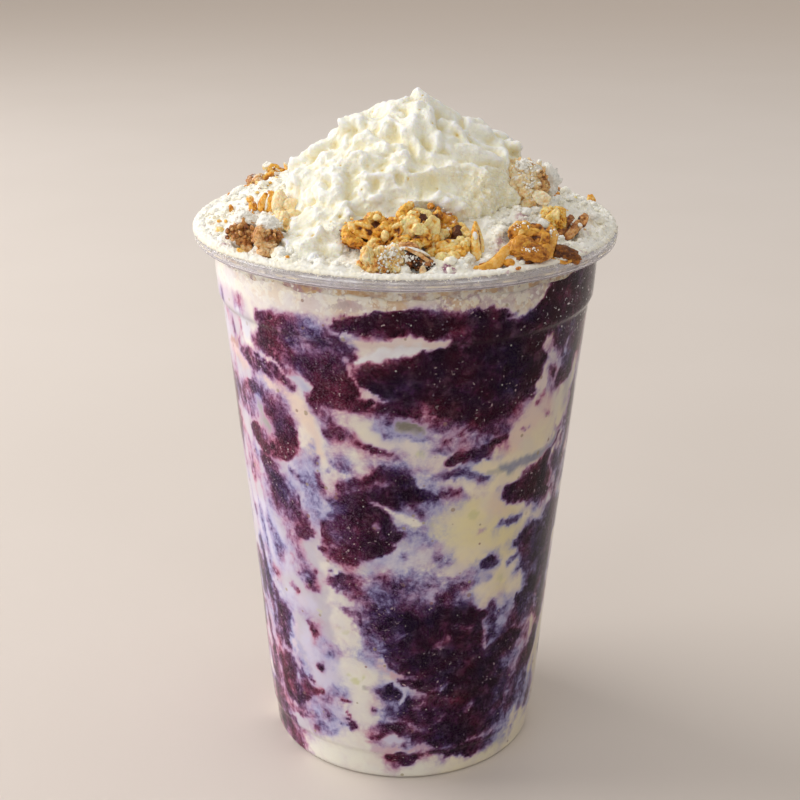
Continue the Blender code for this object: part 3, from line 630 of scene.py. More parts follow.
    ([(-63, 65.0, 2.4), (-57, 61.8, 3.6), (-51, 58.0, 2.4)], 0.46, 2.6, 0.95),
    ([(-55.2, 51.2, 0.5), (-53.6, 51.0, 0.5)], 0.85, 0.5, 0.15),
    ([(-45.6, 49.6, 0.5), (-44, 49.0, 0.5)], 0.80, 0.5, 0.15),
    ([(-80, 48.6, 4.0), (-72, 47.4, 4.4), (-65, 45.6, 4.4), (-58.5, 43.0, 3.2)], 0.78, 2.4, 0.70),
    ([(-70, 42.0, 2.4), (-64, 39.4, 2.6), (-60, 38.4, 2.0)], 0.62, 2.4, 0.80),
    ([(-55.4, 38.0, 2.6), (-53.6, 30.0, 3.0), (-52.8, 24.0, 3.2)], 0.90, 1.5, 0.32),
    ([(-64, 30.0, 2.0), (-62.6, 24.0, 2.8), (-60.0, 17.6, 3.2)], 0.74, 2.0, 0.45),
    ([(-60.5, 37.4, 1.6), (-57, 36.8, 3.2), (-53.5, 38.4, 3.6), (-50.8, 41.2, 1.6)], 0.90, 1.4, 0.32),
    ([(-61, 33.6, 1.6), (-55, 32.8, 1.8)], 0.74, 1.8, 0.40),
    ([(-82, 35.0, 4.0), (-74, 34.4, 4.0), (-68, 31.6, 3.0)], 0.76, 2.4, 0.42),
    ([(-47, 45.0, 1.4), (-42, 43.6, 1.8), (-38.5, 43.6, 1.2)], 0.34, 2.0, 0.80),
    ([(-74, 24.0, 2.6), (-68, 22.4, 3.2), (-62, 21.4, 3.6)], 0.62, 2.6, 0.40),
    ([(-57, 20.6, 1.8), (-52.5, 18.6, 3.0), (-47, 18.0, 3.2), (-42, 19.8, 2.2), (-38, 21.6, 1.3), (-33.5, 23.2, 0.6)], 0.93, 1.2, 0.22),
    ([(-46.6, 28.4, 0.7), (-44.6, 26.0, 1.1), (-42.6, 23.4, 1.3)], 0.90, 0.9, 0.20),
    ([(-40, 26.0, 0.4), (-38.6, 24.8, 0.4)], 0.8, 0.5, 0.5),
    ([(-37.0, 40.2, 1.2), (-36.2, 38.4, 1.15)], 1.0, 0.4, 0.30),
    ([(-33.8, 29.8, 0.5), (-32.4, 29.8, 0.5)], 1.0, 0.35, 0.65),
    ([(-31, 36.4, 0.7), (-28.2, 35.6, 1.2), (-29, 33.8, 0.7)], 0.58, 1.2, 0.70),
    ([(-37, 17.0, 1.4), (-32, 19.6, 2.4), (-27, 21.6, 2.6), (-25, 25.0, 1.6)], 0.44, 2.6, 0.95),
    ([(-25.6, 15.0, 0.4), (-23.6, 14.8, 0.8), (-21.6, 16.0, 0.6)], 0.86, 0.5, 0.80),
    ([(-31.6, 15.8, 0.4), (-30.6, 15.6, 0.4)], 0.85, 0.4, 0.50),
    ([(-38, 12.0, 0.8), (-33, 11.2, 1.3), (-29, 11.6, 0.8)], 0.62, 1.0, 0.92),
    ([(-54, 13.4, 0.7), (-46, 13.2, 1.0), (-40.5, 14.0, 1.1), (-35, 14.6, 0.6)], 0.52, 1.0, 0.05),
    ([(-40, 10.4, 0.5), (-38.4, 10.6, 0.4)], 0.7, 0.5, 0.10),
    ([(-76, 12.2, 2.8), (-66, 12.0, 3.0), (-58, 12.0, 2.6)], 0.72, 2.0, 0.45),
    ([(-74, 4.6, 3.6), (-62, 5.2, 4.4), (-55.0, 4.8, 4.0), (-51.0, 3.0, 2.4)], 0.86, 1.3, 0.20),
    ([(-64, 16.0, 1.4), (-60, 20.0, 1.8)], 0.56, 2.2, 0.40),
    ([(-10.8, 21.0, 0.5), (-10.2, 20.8, 0.4)], 0.85, 0.4, 0.7),
    # foot band
    ([(-6, 7.2, 0.7), (-2, 6.0, 1.9), (3, 6.0, 1.6), (7, 7.0, 0.7)], 0.96, 0.8, 0.35),
    ([(11, 7.8, 0.9), (17, 7.0, 1.1), (19, 5.6, 1.1), (21, 6.4, 0.9)], 0.88, 0.7, 0.05),
    ([(23.5, 7.6, 1.3), (29.5, 6.6, 2.5), (35.5, 7.4, 1.7), (39.5, 7.8, 0.9)], 0.97, 0.8, 0.50),
    ([(48, 7.2, 0.7), (54, 6.6, 0.6)], 0.5, 1.0, 0.8),
    # mauve edge at the far left, violet shoulder, slate edge at the right
    ([(-76, 119.5, 1.8), (-70, 116.5, 2.2), (-66, 112.4, 1.8)], 0.44, 2.2, 0.55),
    ([(-56.5, 119.4, 0.5), (-57.2, 115.6, 0.9), (-59.4, 112.4, 0.9), (-62.0, 108.8, 0.7)], 0.62, 1.1, 0.12),
    ([(-66, 104.0, 1.2), (-69, 99.6, 1.8), (-71, 92.0, 2.2)], 0.40, 2.0, 0.5),
    ([(-76, 76, 3.0), (-78, 66, 3.4), (-77, 56, 3.0)], 0.30, 2.6, 0.8),
    ([(-67, 55.0, 2.4), (-64, 50.0, 2.6), (-60, 47.0, 1.6)], 0.46, 2.0, 0.85),
    ([(-50, 44.0, 0.7), (-48.4, 38.6, 1.1), (-47.6, 33.4, 0.9)], 0.48, 1.6, 0.9),
    ([(-45, 33.0, 1.2), (-42.6, 27.0, 1.8), (-40.8, 20.6, 2.2), (-38.0, 16.0, 2.0)], 0.36, 2.4, 0.85),
    ([(-20.5, 53.6, 0.8), (-16, 51.4, 1.6), (-9, 52.4, 2.4), (-2, 52.6, 2.4), (4, 51.8, 1.8)], 0.66, 2.0, 0.9),
    ([(-14, 45.0, 1.8), (-9, 44.6, 3.0), (-3, 45.4, 3.0)], 0.80, 2.2, 0.85),
    ([(12, 50.4, 1.6), (18, 49.8, 2.0), (24, 49.4, 1.4)], 0.66, 2.0, 0.75),
    ([(66.2, 73.0, 2.6), (66.3, 64.4, 3.2), (66.4, 56.0, 3.2), (66.6, 45.0, 2.8)], 0.72, 2.2, 0.80),
    ([(53.6, 60.0, 2.6), (53.4, 50.0, 2.6), (53.0, 40.0, 2.2)], 0.56, 2.4, 0.85),
    ([(70, 92.4, 2.4), (69, 85.0, 2.8), (66, 80.0, 2.4)], 0.66, 1.8, 0.45),
    ([(57, 24.0, 2.4), (52, 20.0, 2.6), (48, 16.0, 2.4)], 0.52, 2.4, 0.9),
    # seed-like spots in the pale parts
    ([(-24.2, 93.9, 0.55), (-23.2, 93.8, 0.5)], 1.0, 0.4, 0.60),
    ([(-22.6, 22.4, 0.4), (-22.0, 22.3, 0.35)], 0.80, 0.4, 0.10),
    ([(-22.4, 18.2, 0.35), (-22.0, 18.0, 0.3)], 0.80, 0.4, 0.10),
    ([(26.0, 68.8, 0.4), (28.0, 68.9, 0.3)], 0.4, 0.5, 0.4),
    ([(0.2, 64.0, 0.35), (0.6, 63.9, 0.3)], 0.8, 0.35, 0.6),
]

# pale currents cutting through: points, strength, softness, colour
PALE = [
    ([(-95, 126.5, 4.0), (-75, 125.8, 3.6), (-60, 125.4, 3.2), (-45, 125.2, 2.9), (-33, 125.0, 3.0), (-24, 125.6, 2.6), (-17, 126.4, 1.6)], 0.97, 1.3, (0.83, 0.785, 0.75)),
    ([(-20, 127.0, 1.6), (-10, 127.3, 1.5), (0, 127.4, 1.7), (10, 127.2, 1.7), (19, 126.8, 2.0), (27, 125.6, 2.4), (33, 123.8, 2.5), (37.5, 124.2, 1.7), (42, 126.4, 1.0)], 0.97, 0.8, (0.84, 0.79, 0.68)),
    ([(30.5, 120.4, 0.6), (33.5, 121.6, 1.2)], 0.9, 0.8, (0.84, 0.79, 0.70)),
    ([(-14, 116.4, 0.5), (-8, 116.7, 0.9), (0, 116.9, 1.0), (8, 116.8, 0.8), (13, 116.9, 0.3)], 0.95, 0.6, BLUSH),
    ([(-15.5, 111.6, 0.5), (-10.5, 112.6, 0.9), (-5.5, 114.0, 1.1), (0, 115.1, 0.7), (5, 115.8, 0.4)], 0.97, 0.5, MILK),
    ([(-13, 118.2, 0.3), (-7, 118.6, 0.4)], 0.4, 0.6, ROSE),
    ([(-19.5, 112.0, 0.3), (-17.2, 109.6, 0.6), (-14.6, 106.6, 0.6), (-11.5, 104.2, 0.5), (-7.5, 102.8, 0.3)], 0.85, 0.6, ROSE),
    ([(-13.5, 104.6, 0.3), (-11.0, 103.4, 0.3)], 0.9, 0.4, BLUSH),
    ([(-38.6, 108.2, 0.2), (-36.0, 106.4, 0.6), (-33.4, 104.4, 0.9), (-30.8, 102.0, 0.4)], 0.86, 1.7, (0.50, 0.49, 0.63)),
    ([(-57.5, 117.0, 0.8), (-55.8, 114.6, 1.5), (-54.4, 112.4, 1.0)], 0.9, 1.0, (0.72, 0.70, 0.76)),
    ([(-34, 111.8, 0.7), (-29, 113.2, 0.9), (-23, 114.0, 0.7)], 0.34, 1.0, FROST),
    ([(-37.2, 117.4, 0.25), (-39.2, 113.6, 0.35), (-38.0, 110.6, 0.25)], 0.55, 0.6, ROSE),
    ([(-44.5, 111.4, 0.3), (-40.5, 109.2, 0.3)], 0.35, 0.6, ROSE),
    ([(-26, 118.4, 0.3), (-22.5, 115.8, 0.4), (-19, 114.2, 0.3)], 0.4, 0.7, MAUVE),
    ([(-55, 107.9, 0.25), (-49, 106.6, 0.3), (-44, 104.8, 0.2)], 0.5, 0.4, ROSE),
    ([(45.8, 113.8, 0.6), (47.4, 110.4, 0.6), (47.6, 106.4, 0.9), (46.4, 102.4, 1.2)], 0.92, 0.7, BLUSH),
    ([(58.2, 111.6, 0.5), (57.0, 108.4, 0.7), (54.8, 105.0, 0.6), (52.6, 101.6, 0.4)], 0.78, 0.8, (0.62, 0.58, 0.70)),
    ([(69.8, 105.4, 0.7), (68.2, 98.6, 1.1), (65.6, 91.0, 1.0)], 0.72, 1.1, (0.80, 0.73, 0.52)),
    ([(31.6, 84.4, 0.5), (36.6, 83.4, 0.9), (41.7, 84.3, 0.8), (51.1, 83.9, 0.7), (56.9, 85.7, 0.7), (63.9, 88.6, 0.5)], 0.86, 0.6, (0.33, 0.33, 0.40)),
    ([(52.0, 122.6, 0.5), (54.4, 122.0, 0.6)], 0.45, 0.8, FROST),
    ([(15.4, 116.0, 0.4), (17.4, 115.6, 0.4)], 0.4, 0.6, FROST),
    ([(-52.6, 96.6, 0.5), (-50.6, 93.6, 0.9), (-49.4, 90.4, 1.0), (-48.6, 88.6, 0.4)], 0.85, 1.5, (0.37, 0.37, 0.33)),
    ([(-2.4, 97.6, 0.6), (1.4, 97.0, 1.1), (5.2, 95.8, 0.6)], 0.80, 1.0, (0.25, 0.225, 0.185)),
    ([(12, 95.4, 0.3), (17, 96.0, 0.4), (22, 96.8, 0.3)], 0.45, 0.7, MAUVE),
    ([(-10.6, 77.6, 0.25), (-5.6, 76.4, 0.35), (-1.0, 75.4, 0.5), (4.0, 73.0, 0.7)], 0.92, 0.4, IVORY),
    ([(-16, 80.4, 0.2), (-10, 81.8, 0.25), (-5, 82.6, 0.2)], 0.5, 0.4, LILAC),
    ([(0.6, 79.0, 0.2), (2.2, 76.4, 0.2)], 0.5, 0.4, LILAC),
    ([(-9.8, 71.6, 0.3), (-8.4, 71.2, 0.3)], 0.7, 0.4, (0.45, 0.52, 0.78)),
    ([(-7.4, 33.6, 0.5), (-4.6, 31.6, 0.7), (-1.4, 31.0, 0.5), (4.0, 29.4, 0.4)], 0.88, 0.7, ROSE),
    ([(-8.5, 35.4, 0.4), (-6.4, 33.8, 0.4)], 0.8, 0.5, BLUSH),
    ([(-3.6, 29.2, 0.4), (0.2, 27.4, 0.6), (1.6, 25.6, 0.9), (-0.4, 23.2, 0.4)], 0.92, 0.5, LILAC),
    ([(5.6, 21.4, 0.4), (7.4, 22.2, 0.5), (9.2, 21.6, 0.4)], 0.62, 0.5, MAUVE),
    ([(9.2, 25.2, 0.3), (13.2, 26.0, 0.5), (17.6, 27.6, 0.3)], 0.66, 0.5, MAUVE),
    ([(23.8, 19.0, 0.3), (27.6, 20.8, 0.5)], 0.66, 0.5, MAUVE),
    ([(12.0, 16.8, 0.3), (16.0, 18.6, 0.3)], 0.5, 0.5, MAUVE),
    ([(10.2, 38.4, 0.3), (12.6, 39.0, 0.4), (14.6, 38.0, 0.3)], 0.55, 0.6, ROSE),
    ([(14.6, 39.8, 0.4), (17.0, 40.6, 0.3)], 0.55, 0.6, ROSE),
    ([(19.6, 43.8, 0.3), (22.6, 43.2, 0.5), (25.0, 42.4, 0.3)], 0.55, 0.7, LILAC),
    ([(30.6, 41.0, 0.5), (30.2, 38.4, 0.6), (31.6, 35.6, 0.7)], 0.72, 0.8, BLUSH),
    ([(31.6, 43.0, 0.4), (32.4, 39.6, 0.4)], 0.6, 0.8, LILAC),
    ([(36.6, 44.4, 0.4), (39.6, 42.0, 0.6), (42.6, 41.0, 0.4)], 0.5, 0.9, LILAC),
    ([(-7.6, 12.0, 0.8), (-4.8, 12.0, 1.2), (-2.4, 11.8, 0.8)], 0.90, 0.6, LILAC),
    ([(1.0, 12.6, 0.3), (0.8, 10.6, 0.4)], 0.5, 0.6, LILAC),
    # painted highlight: the thin pale line along the foot step
    ([(-12, 9.0, 0.35), (2, 9.0, 0.3), (14, 9.2, 0.3), (26, 9.0, 0.35), (38, 9.2, 0.3)], 0.72, 0.5, ROSE),
    ([(39.6, 28.0, 0.3), (40.8, 18.0, 0.4), (41.0, 11.0, 0.4)], 0.35, 0.9, LILAC),
    ([(45.4, 27.0, 0.4), (46.6, 18.0, 0.6), (46.2, 11.0, 0.5)], 0.5, 1.0, LILAC),
    ([(53.4, 36.0, 0.3), (51.4, 30.6, 0.4), (48.6, 26.0, 0.4)], 0.5, 0.8, LILAC),
    ([(-48.4, 42.4, 0.3), (-46.8, 38.0, 0.4), (-46.6, 33.0, 0.4), (-48.0, 29.4, 0.3), (-45.6, 25.6, 0.3)], 0.75, 0.8, (0.70, 0.60, 0.66)),
    ([(-55.0, 30.4, 0.6), (-50.6, 29.0, 0.6)], 0.7, 1.0, LILAC),
    ([(59.0, 78.6, 0.4), (58.6, 74.6, 0.5), (59.8, 69.4, 0.7)], 0.85, 0.8, MILK),
    ([(-62, 53.6, 0.4), (-57, 48.6, 0.4), (-53, 44.6, 0.3)], 0.7, 1.0, (0.70, 0.67, 0.72)),
    ([(-64, 30.8, 0.6), (-58, 28.6, 0.6)], 0.5, 1.0, LILAC),
    ([(9.2, 54.8, 0.5), (10.0, 52.0, 0.6)], 0.75, 0.8, LILAC),
    ([(-52, 15.0, 0.3), (-44, 15.4, 0.4), (-38, 17.0, 0.3)], 0.5, 0.6, ROSE),
]

# tints of the pale part: points with half width, colour, strength
TINTS = [
    ([(-14, 127.2, 0.9), (-4, 127.3, 1.1), (8, 127.2, 1.0), (16, 127.0, 0.8)], (0.52, 0.34, 0.20), 0.75),
    ([(-70, 123.6, 1.0), (-62, 124.4, 1.2)], (0.62, 0.48, 0.60), 0.7),
    ([(-52, 123.4, 0.8), (-46, 122.6, 0.9)], (0.60, 0.46, 0.58), 0.7),
    ([(-29, 125.6, 0.7), (-26, 125.2, 0.6)], (0.60, 0.36, 0.40), 0.6),
    # the lavender-grey of the left side is real colour, laid darker than the puree there as painted shade towards the
    # cup's left edge
    ([(-96, 100, 30), (-76, 60, 30), (-66, 30, 25)], (0.585, 0.540, 0.595), 0.97),
    ([(-80, 122, 6), (-66, 119, 6), (-56, 117, 3)], (0.62, 0.545, 0.60), 0.9),
    ([(-72, 121, 1.6), (-66, 122, 1.2)], (0.66, 0.50, 0.60), 0.7),
    ([(-74, 106, 2.0), (-64, 107.5, 1.8), (-58, 104.4, 1.2), (-48, 103.2, 1.0), (-38, 101.4, 0.9)], (0.78, 0.55, 0.52), 0.7),
    ([(-50, 103.8, 1.2), (-41.5, 101.2, 1.8), (-33.6, 98.6, 2.0), (-30.8, 94.0, 1.8), (-28.6, 88.0, 1.4)], (0.84, 0.67, 0.54), 0.9),
    ([(-64.5, 110.6, 0.8), (-61.5, 107.6, 1.0), (-57.5, 105.2, 0.9)], (0.74, 0.46, 0.42), 0.8),
    ([(-20, 97, 3.5), (-10, 93, 3.5), (0, 90, 3.2), (10, 87.6, 2.8), (18, 85.4, 2.2)], (0.84, 0.75, 0.66), 0.85),
    ([(8, 68, 6), (18, 69, 9), (30, 67, 8.5), (38, 65, 5)], YELLOW, 0.95),
    ([(16, 62.5, 3), (26, 62.0, 3)], CREAMY, 0.7),
    ([(34, 96, 6), (44, 94, 7), (54, 95, 7), (62, 97, 6)], (0.80, 0.73, 0.60), 0.9),
    ([(32, 88, 4), (42, 88, 3.5), (56, 92, 3)], CREAMY, 0.8),
    ([(28, 84.5, 3.5), (36, 81.4, 3.5), (30, 76, 3)], CREAMY, 0.8),
    ([(32, 76.5, 2.0), (34, 73.5, 1.6)], (0.78, 0.66, 0.58), 0.8),
    ([(33, 56.5, 3.4), (36, 51.5, 3.2), (34, 48.5, 2.4)], CREAMY, 0.85),
    ([(36, 55, 1.2), (37, 52, 1.2)], YELLOW, 0.7),
    ([(-17, 97.4, 1.4), (-12, 96.6, 2.0), (-9, 95, 1.6)], CREAMY, 0.9),
    ([(23.2, 73.6, 0.9), (24.6, 73.4, 0.9)], GREEN, 0.75),
    ([(8.8, 72.0, 0.5), (9.6, 71.9, 0.4)], GREEN, 0.8),
    ([(3.4, 73.2, 0.4), (4.2, 73.1, 0.3)], (0.66, 0.50, 0.28), 0.9),
    ([(2.6, 90.2, 0.4), (3.6, 90.2, 0.3)], GREEN, 0.7),
    ([(29, 83.0, 0.9), (32, 83.4, 1.0)], OLIVE, 0.55),
    ([(-7.5, 97.2, 1.6), (-4, 95.6, 2.0)], (0.58, 0.56, 0.64), 0.8),
    ([(-12, 60.8, 1.8), (-9, 59.6, 1.8)], (0.55, 0.54, 0.50), 0.75),
    ([(-9, 63, 3.5), (0, 64, 3.5), (10, 65, 2.5)], (0.74, 0.71, 0.77), 0.8),
    ([(20, 58, 2.2), (27, 57, 2.6)], LILAC, 0.6),
    ([(-36, 84, 3.5), (-33, 78, 3.5), (-31, 70, 2.4)], LILAC, 0.85),
    ([(-62, 64, 5), (-55, 60, 5), (-48, 56, 3)], LILAC, 0.75),
    ([(-37, 46, 2), (-46, 46, 2.5)], LILAC, 0.7),
    ([(-36, 36, 4), (-31, 30, 5.0), (-28, 20, 4.5), (-33, 13, 3.5)], LILAC, 0.92),
    ([(-23, 52, 2.5), (-19, 44, 4.0), (-17, 30, 4.5), (-16, 16, 4.5), (-17, 8, 4)], (0.84, 0.80, 0.71), 0.9),
    ([(-33.6, 45.6, 0.5), (-32.6, 45.6, 0.4)], GREEN, 0.6),
    ([(-23.6, 42.6, 0.6), (-22.8, 42.5, 0.5)], GREEN, 0.6),
    ([(-20.4, 29.0, 0.8), (-19.2, 29.0, 0.7)], GREEN, 0.75),
    ([(-16.8, 30.0, 0.4), (-16.0, 30.0, 0.4)], GREEN, 0.7),
    ([(-14.2, 26.8, 0.6), (-13.2, 26.8, 0.5)], OLIVE, 0.65),
    ([(35.2, 54.2, 0.5), (36.0, 53.2, 0.5)], GREEN, 0.6),
    ([(-12, 40, 2), (-10, 34, 2)], LILAC, 0.8),
    ([(38, 46, 3), (44, 44, 4), (50, 44, 3.5)], LILAC, 0.7),
    ([(58, 68, 3), (63, 66, 4), (72, 66, 4)], (0.62, 0.61, 0.66), 0.8),
    ([(70, 110, 9), (75, 95, 9)], (0.50, 0.45, 0.48), 0.7),
    ([(-75, 112, 4), (-84, 100, 6)], LILAC, 0.5),
    ([(66, 30, 6), (70, 18, 8), (68, 10, 6)], (0.66, 0.61, 0.50), 0.7),
    ([(-41, 2, 5), (-20, 3, 5), (0, 1, 2.2), (30, 1, 2.2), (45, 3, 5), (60, 3, 5)], (0.86, 0.83, 0.73), 1.0),
    ([(40, 5.0, 1.6), (47, 5.2, 1.6)], (0.74, 0.76, 0.54), 0.7),
    ([(37.0, 90.6, 2.2), (43.0, 95.0, 3.4), (49.5, 95.4, 3.0)], (0.82, 0.655, 0.60), 0.85),
    ([(-70.5, 107.6, 0.8), (-65.0, 109.6, 1.2), (-61.6, 107.4, 1.0)], (0.50, 0.27, 0.22), 0.85),
    ([(-66.0, 105.0, 1.0), (-60.0, 102.6, 1.0)], (0.70, 0.50, 0.40), 0.6),
    ([(-58.6, 88.2, 1.6), (-54.0, 87.6, 1.6)], (0.47, 0.42, 0.33), 0.8),
]


def line_dist(A, z, R, pts):
    """Signed distance in mm from points on the wall to a current; negative inside."""
    best = np.full(len(A), 1e9)
    k = np.pi / 180 * R
    for (a0, z0, w0), (a1, z1, w1) in zip(pts, pts[1:]):
        px = ((A - a0 + 180) % 360 - 180) * k
        pz = z - z0
        sx, sz = (a1 - a0) * k, z1 - z0
        t = np.clip((px * sx + pz * sz) / (sx * sx + sz * sz + 1e-9), 0, 1)
        d = np.hypot(px - t * sx, pz - t * sz) - (w0 + (w1 - w0) * t)
        best = np.minimum(best, d)
    return best


def unseen_currents():
    """The far side carries on with the same kind of currents."""
    rng = np.random.default_rng(5)
    dark, pale, tints = [], [], []

    def strand(a, z, long, lean, w, wave):
        return [(a + long * (u - 0.5), z + lean * long * 0.7 * (u - 0.5) + wave * math.sin(4.2 * u + a),
                 w * (0.35 + 0.75 * math.sin(math.pi * (0.10 + 0.80 * u)))) for u in (0, 0.25, 0.5, 0.75, 1)]

    for k in range(9):  # the broken band under the powder
        dark.append((strand(88 + 21.5 * k, 119.6 + rng.uniform(-2.2, 1.2), rng.uniform(16, 26), rng.uniform(-0.15, 0.15), rng.uniform(2.2, 4.6), 0.8), 1.0, 0.9, rng.uniform(0.25, 0.55)))
    for k in range(25):  # wide masses
        a, z = 94 + (k * 61.8) % 168, 12 + (k * 37.0 + 9) % 100
        dark.append((strand(a, z, rng.uniform(16, 38), rng.uniform(-1.0, 0.5), rng.uniform(3.4, 8.0), rng.uniform(-2.5, 2.5)), rng.choice([1.0, 1.0, 0.96, 0.75]), rng.uniform(0.8, 1.8), rng.uniform(0.15, 0.75)))
    for k in range(34):  # thinner ones
        a, z = rng.uniform(86, 268), rng.uniform(7, 116)
        dark.append((strand(a, z, rng.uniform(10, 34), rng.uniform(-1.5, 1.0), rng.uniform(0.6, 2.2), rng.uniform(-2, 2)), rng.choice([0.95, 0.85, 0.6, 0.45]), rng.uniform(0.8, 2.4), rng.uniform(0.2, 1.0)))
    for k in range(20):  # pale flows that cut through
        a, z = rng.uniform(88, 268), rng.uniform(12, 116)
        pale.append((strand(a, z, rng.uniform(18, 52), rng.uniform(-1.7, 1.7), rng.uniform(0.5, 2.0), rng.uniform(-3, 3)), rng.uniform(0.6, 0.97), rng.uniform(0.5, 1.3),
                     [ROSE, BLUSH, LILAC, IVORY, MILK, CREAMY][rng.integers(6)]))
    for k in range(26):
        a, z = rng.uniform(86, 270), rng.uniform(8, 118)
        tints.append((strand(a, z, rng.uniform(12, 34), rng.uniform(-0.8, 0.8), rng.uniform(2.5, 7.0), rng.uniform(-2, 2)), [CREAMY, YELLOW, LILAC, BLUSH, MILK, IVORY][rng.integers(6)], 0.8))
    return dark, pale, tints


def fill_edge(A):
    """Height of the puree at the wall, for azimuth A from the front."""
    az = A - 90
    ring = np.stack([np.cos(np.radians(az)) * 44, np.sin(np.radians(az)) * 44, 0 * az], -1)
    return 126.9 + 1.3 * N2.fbm(ring / 5.0, 2) + 0.8 * N1.fbm(ring / 12.0 + 5, 2)


def make_filling():
    cols, rows = ((400, 196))
    t = np.linspace(0, 1, cols, endpoint=False)
    A1 = 360 * (t - 0.5) + 0.36 * 360 / (2 * np.pi) * np.sin(2 * np.pi * t)
    top = fill_edge(A1)
    s = np.linspace(0, 1, rows)
    low = 0.30
    Z = low + (top[None, :] - low) * s[:, None]
    A = np.repeat(A1[None, :], rows, 0)
    inset = 0.16  # lies just inside the wall's own thickness, so no gap shows
    R = outer_r(Z) - inset
    th = np.radians(A - 90)
    V = np.stack([R * np.cos(th), R * np.sin(th), Z], -1)
    flat = V.reshape(-1, 3)
    Af, Zf, Rf = A.ravel(), Z.ravel(), R.ravel()
    # currents are read at a stirred place
    wa = N1.fbm(flat / 9.0, 3) * 1.7 + N2.fbm(flat / 3.6, 3) * 2.3 + N3.fbm(flat / 1.3, 2) * 0.7
    wz = N3.fbm(flat / 9.0 + 40, 3) * 1.5 + N1.fbm(flat / 3.6 + 20, 3) * 1.7 + N2.fbm(flat / 1.3 + 70, 2) * 0.6
    As, Zs = Af + wa / (Rf * np.pi / 180), Zf + wz
    d2, p2, t2 = unseen_currents()
    pale_rgb = np.tile(np.array(IVORY), (len(flat), 1))
    for pts, rgb, strength in TINTS + t2:
        d = line_dist(As, Zs, Rf, pts)
        wide = 2.2 if min(p[2] for p in pts) > 1.1 else 0.5
        m = (strength * (1 - smooth(-0.5 * wide, wide, d)))[:, None]
        pale_rgb = pale_rgb * (1 - m) + np.array(rgb) * m
    warm = (smooth(4, 26, Af) * smooth(100, 86, Zf))[:, None]  # creamier to the right
    pale_rgb = pale_rgb * (1 - warm * (1 - np.array([1.06, 1.0, 0.88])))
    acc = np.zeros(len(flat))
    hue, wsum = np.zeros(len(flat)), np.zeros(len(flat))
    # some edges are crisp, others melt into the cream
    melt = 0.50 + 1.75 * smooth(-0.20, 0.34, N4.fbm(flat / 8.5 + 90, 2))
    for pts, peak, soft, h in DARK + d2:
        d = line_dist(As, Zs, Rf, pts)
        d = d - 0.30 - 0.12 * soft
        f = smooth(1.0, -1.0, d / ((0.62 + 0.95 * soft) * melt))
        halo = (0.36 + 0.12 * h) * (0.70 + 0.28 * melt) * np.exp(-np.clip(d, 0, 50) / ((1.0 + 0.8 * soft + 0.9 * h) * (0.55 + 0.45 * melt))) * min(peak, 0.9)
        acc += np.maximum(peak * f, halo) ** 6
        w = f ** 2 * peak + 0.02 * np.exp(-np.clip(d, 0, 40) / 3.0)
        hue += w * h
        wsum += w
    dens = np.clip(acc ** (1 / 6), 0, 1) * (0.93 + 0.07 * smooth(-14, -4, Af) * smooth(94, 98, Zf))
    dens -= 0.15 * smooth(-8, -24, Af) * smooth(0.5, 0.9, dens)  # thinner, redder on the left
    hue = hue / np.maximum(wsum, 1e-6)
    # streaks drawn out down the wall at both sides
    lean = Af * Rf * np.pi / 180 - 0.30 * np.sign(Af) * Zf
    streak = N2.fbm(np.stack([lean / 3.6, Zf / 22.0, 0 * Zf + 4], -1), 3)
    side = np.maximum(smooth(-44, -60, Af) * smooth(-118, -92, Af), 0.8 * smooth(44, 60, Af) * smooth(118, 92, Af))
    dens = np.clip(dens + 0.70 * streak * side * smooth(0.02, 0.25, dens + 0.12), 0, 1.05)
    hue = np.clip(hue + 0.75 * N4.fbm(flat / 9.0 + 7, 3) + 0.4 * side * (N3.fbm(np.stack([lean / 4.0, Zf / 20.0, 0 * Zf], -1), 2)), 0, 1)
    hue = np.clip(hue + 0.14 * smooth(-12, -2, Af) * smooth(62, 54, Zf), 0, 1)
    for pts, amount, soft, rgb in PALE + p2:
        d = line_dist(As, Zs, Rf, pts)
        m = amount * smooth(1.0, -1.0, d / (0.2 + 1.25 * soft))
        dens = dens * (1 - m)
        w = np.clip(1.2 * smooth(1.6, -0.8, d / (0.2 + soft)), 0, 1)[:, None]
        pale_rgb = pale_rgb * (1 - w) + np.array(rgb) * w
    # cap on top, under the heap, and the base below
    cap = []
    for k, f in enumerate((0.95, 0.8, 0.5, 0.2)):
        zc = 127.2 + (top - 127.2) * (f ** 3)
        rr = R[-1] * f
        cap.append(np.stack([rr * np.cos(th[-1]), rr * np.sin(th[-1]), zc], -1))
    base = []
    for r, z in ((10.0, 2.06), (26.5, 2.05), (27.6, 1.9), (28.8, 1.3), (29.8, 0.62), (30.7, 0.26), (31.8, 0.24)):
        base.append(np.stack([r * np.cos(th[0]), r * np.sin(th[0]), np.full(cols, z)], -1))
    grid = np.vstack([np.array(base), V, np.array(cap)])
    ob = grid_body("marbled_acai", grid, (0, 0, 2.06), (0, 0, 127.2))
    n_all = len(ob.data.vertices)
    b = len(base) * cols

    def spread(v, low_v, high_v):
        v = np.asarray(v)
        lowp = np.repeat(np.asarray(low_v, float).reshape(1, -1), b, 0)
        highp = np.repeat(np.asarray(high_v, float).reshape(1, -1), n_all - b - len(v), 0)
        return np.vstack([lowp, v.reshape(len(v), -1), highp])

    float_attr(ob, "dens", spread(dens, [0.1], [0.6]))
    float_attr(ob, "hue", spread(hue, [0.5], [0.5]))
    color_attr(ob, "pale_rgb", spread(pale_rgb, IVORY, IVORY))

    t = Tree("marbled_puree")
    dens_s, hue_s, pale = t.attr("dens"), t.attr("hue"), t.attr("pale_rgb", "Color")
